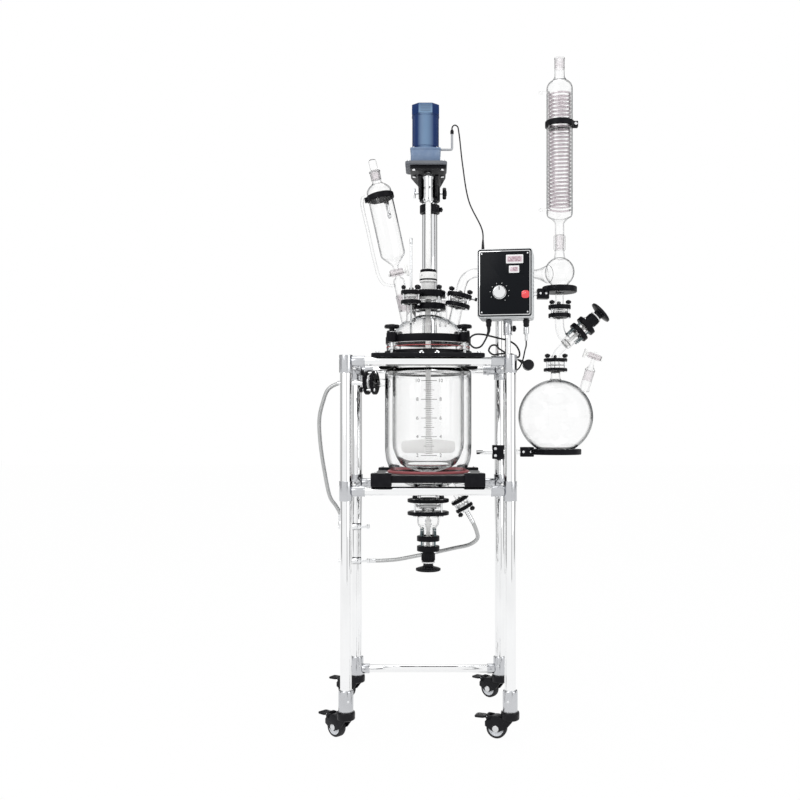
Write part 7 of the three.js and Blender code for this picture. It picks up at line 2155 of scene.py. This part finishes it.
class REACTOR_OT_controller(bpy.types.Operator):
    """Controller box with its panel, displays, speed knob and power switch"""
    bl_idname = "reactor.controller"
    bl_label = "Controller"

    def execute(self, context):
        def on_box(shape):
            return at(shape, BOX_PLACE, spin=BOX_YAW)

        front = BOX_FRONT
        dial_x, dial_z = DIAL_PLACE
        switch_x, switch_z = SWITCH_PLACE
        lid = towards_front(prism(rounded(-75.5, 75.5, 0, 189, 7, 6), front, -front, 2.4))
        rim = framed_panel(-73.8, 73.8, 2.2, 186.8, front, 0.8, 6, 0.3)
        trim = framed_panel(-70.5, 70.5, 6, 183, front, 1.6, 4.5, 0.3)
        face = framed_panel(-68.6, 68.6, 8, 181, front, 2.5, 3.5, 0.4)
        parts = [('cabinet', lid), ('panel', rim), ('chrome', trim), ('panel', face),
                 ('panel', framed_panel(2, 53, 118, 173, front, 3.2, 3, 0.6)),
                 ('white_trim', framed_panel(4, 51, 147, 171, front, 4, 2.0, 0.3)),
                 ('window', framed_panel(7, 48, 151, 167, front, 4.3, 1.2, 0.1)),
                 ('digits', display_number('0250', 9.5, 153.2, 6.6, 11.4, front - 4.3)),
                 ('white_trim', framed_panel(12, 40, 121, 141, front, 4, 2.0, 0.3)),
                 ('window', framed_panel(15, 37, 124.6, 137.4, front, 4.3, 1.2, 0.1)),
                 ('digits', display_number('12', 18.5, 126.4, 6.4, 9.4, front - 4.3))]
        for x, z, _ in round_about(11, 26, 240):
            if z > -22:
                mark = rod(1.0, 2.4, 2.9, 16, 0.1)
                parts.append(('white_trim', towards_front(mark, dial_x + x, front, dial_z + z)))
        for sx in (-1, 1):
            for z in (14, 175):
                parts.append(('chrome', towards_front(screw(0, 0, 2.4, 2.2, 1.0), sx * 63, front, z)))
        parts.append(('rocker',
                      framed_panel(switch_x - 10.6, switch_x + 10.6, switch_z - 10.6, switch_z + 10.6,
                                             front, 3.4, 7.0, 0.5)))
        for x, y, radius, low in ((-47.5, -14, 8.5, -22), (57, -14, 9, -24)):
            parts.append(('plastic', moved(hexagon(radius, low + 12, low + 20), x, y)))
            parts.append(('plastic', moved(lathe([(0, low), (radius - 3, low), (radius - 1, low + 3),
                                                  (radius - 1, low + 12), (radius - 1.6, -0.2), (0, -0.2)],
                                                 32, 0.4),
                                           x, y)))
        plug = [(0, -62), (3.2, -62), (4, -60), (4, -46), (6.2, -44), (7.5, -42), (7.5, -26), (6.6, -24),
                (0, -24)]
        parts.append(('turned_steel', moved(lathe(plug, 36, 0.4), 57, -14)))
        parts.append(('plastic',
                      moved(lathe([(0, 188.6), (7, 188.6), (7, 192), (5.5, 193), (5.5, 197), (4, 198),
                                              (0, 198)], 32, 0.4), -66, 8)))
        for i in range(7):
            for side in (-1, 1):
                level = 62 + i * 11
                parts.append(('print', block(side * 75.2 - 0.5, side * 75.2 + 0.5, -6, 34, level, level + 3,
                                             0.4, 0.3)))
        piece('controller_box', placed(parts, on_box), stands_for=("control_box",))

        knob = [(0, 0.2), (18, 0.2), (19, 1.4), (19, 5), (17.2, 6.6), (17, 14.2), (15.6, 16), (0, 16)]
        turn = [('chrome', lathe(knob, 64, 0.6)), ('turned_steel', rod(3, -13.8, 1, 24, 0.3)),
                ('print', block(-1.2, 1.2, 5, 15.5, 15.9, 16.7, 0.6, 0.2))]
        for x, y, _ in round_about(36, 17.1):
            turn.append(('chrome', moved(rod(0.75, 6.6, 14.2, 8, 0.2), x, y)))
        turn = placed(turn, lambda shape: on_box(towards_front(shape, dial_x, front - 3.5, dial_z)))
        piece('speed_knob_dial', turn,
              'speed_knob', ("speed_knob",))

        side_line = [(-7.5, 1), (0, 3.2), (7.5, 1), (6.2, -4), (3, -6.4), (0, -7), (-3, -6.4), (-6.2, -4)]
        across = prism([(depth, height) for height, depth in side_line], -8.4, 8.4, 0.7)
        shape = outward([(pz, px, py) for px, py, pz in across[0]], across[1])
        rock = [('rocker', moved(shape, switch_x, front + 1, switch_z)),
                ('white_trim', block(switch_x - 0.5, switch_x + 0.5, front - 5.7, front - 5.0,
                                     switch_z + 2.4, switch_z + 5.2, 0.2, 0.1))]
        piece('power_rocker', placed(rock, on_box), 'power_switch', ("power_switch",))
        return {'FINISHED'}


# ------------------------------------------------------------------ panel and running


class REACTOR_PT_panel(bpy.types.Panel):
    """Lists the reactor's building steps, sizes and colours"""
    bl_idname = "REACTOR_PT_panel"
    bl_label = "Jacketed Glass Reactor"
    bl_space_type = 'VIEW_3D'
    bl_region_type = 'UI'
    bl_category = "Reactor"

    def draw(self, context):
        layout = self.layout
        for step in STEPS:
            layout.operator(step.bl_idname)
        for title, group in (("Sizes", context.scene.reactor_sizes),
                             ("Colours", context.scene.reactor_colours)):
            box = layout.box()
            box.label(text=title)
            for name in group.bl_rna.properties.keys():
                if name not in ('rna_type', 'name'):
                    box.prop(group, name)


STEPS = (
    REACTOR_OT_stage, REACTOR_OT_cords, REACTOR_OT_frame, REACTOR_OT_castors, REACTOR_OT_supports,
    REACTOR_OT_vessel, REACTOR_OT_lid, REACTOR_OT_stirring, REACTOR_OT_drive, REACTOR_OT_funnel,
    REACTOR_OT_condenser, REACTOR_OT_valves, REACTOR_OT_flask, REACTOR_OT_ports, REACTOR_OT_controller,
)
CLASSES = (ReactorSizes, ReactorColours, *STEPS, REACTOR_PT_panel)


def register():
    for cls in CLASSES:
        bpy.utils.register_class(cls)
    bpy.types.Scene.reactor_sizes = PointerProperty(type=ReactorSizes)
    bpy.types.Scene.reactor_colours = PointerProperty(type=ReactorColours)


def unregister():
    del bpy.types.Scene.reactor_colours
    del bpy.types.Scene.reactor_sizes
    for cls in reversed(CLASSES):
        bpy.utils.unregister_class(cls)


def main():
    register()
    for step in STEPS:
        name = step.bl_idname.split('.')[1]
        getattr(bpy.ops.reactor, name)()


if __name__ == "__main__":
    main()
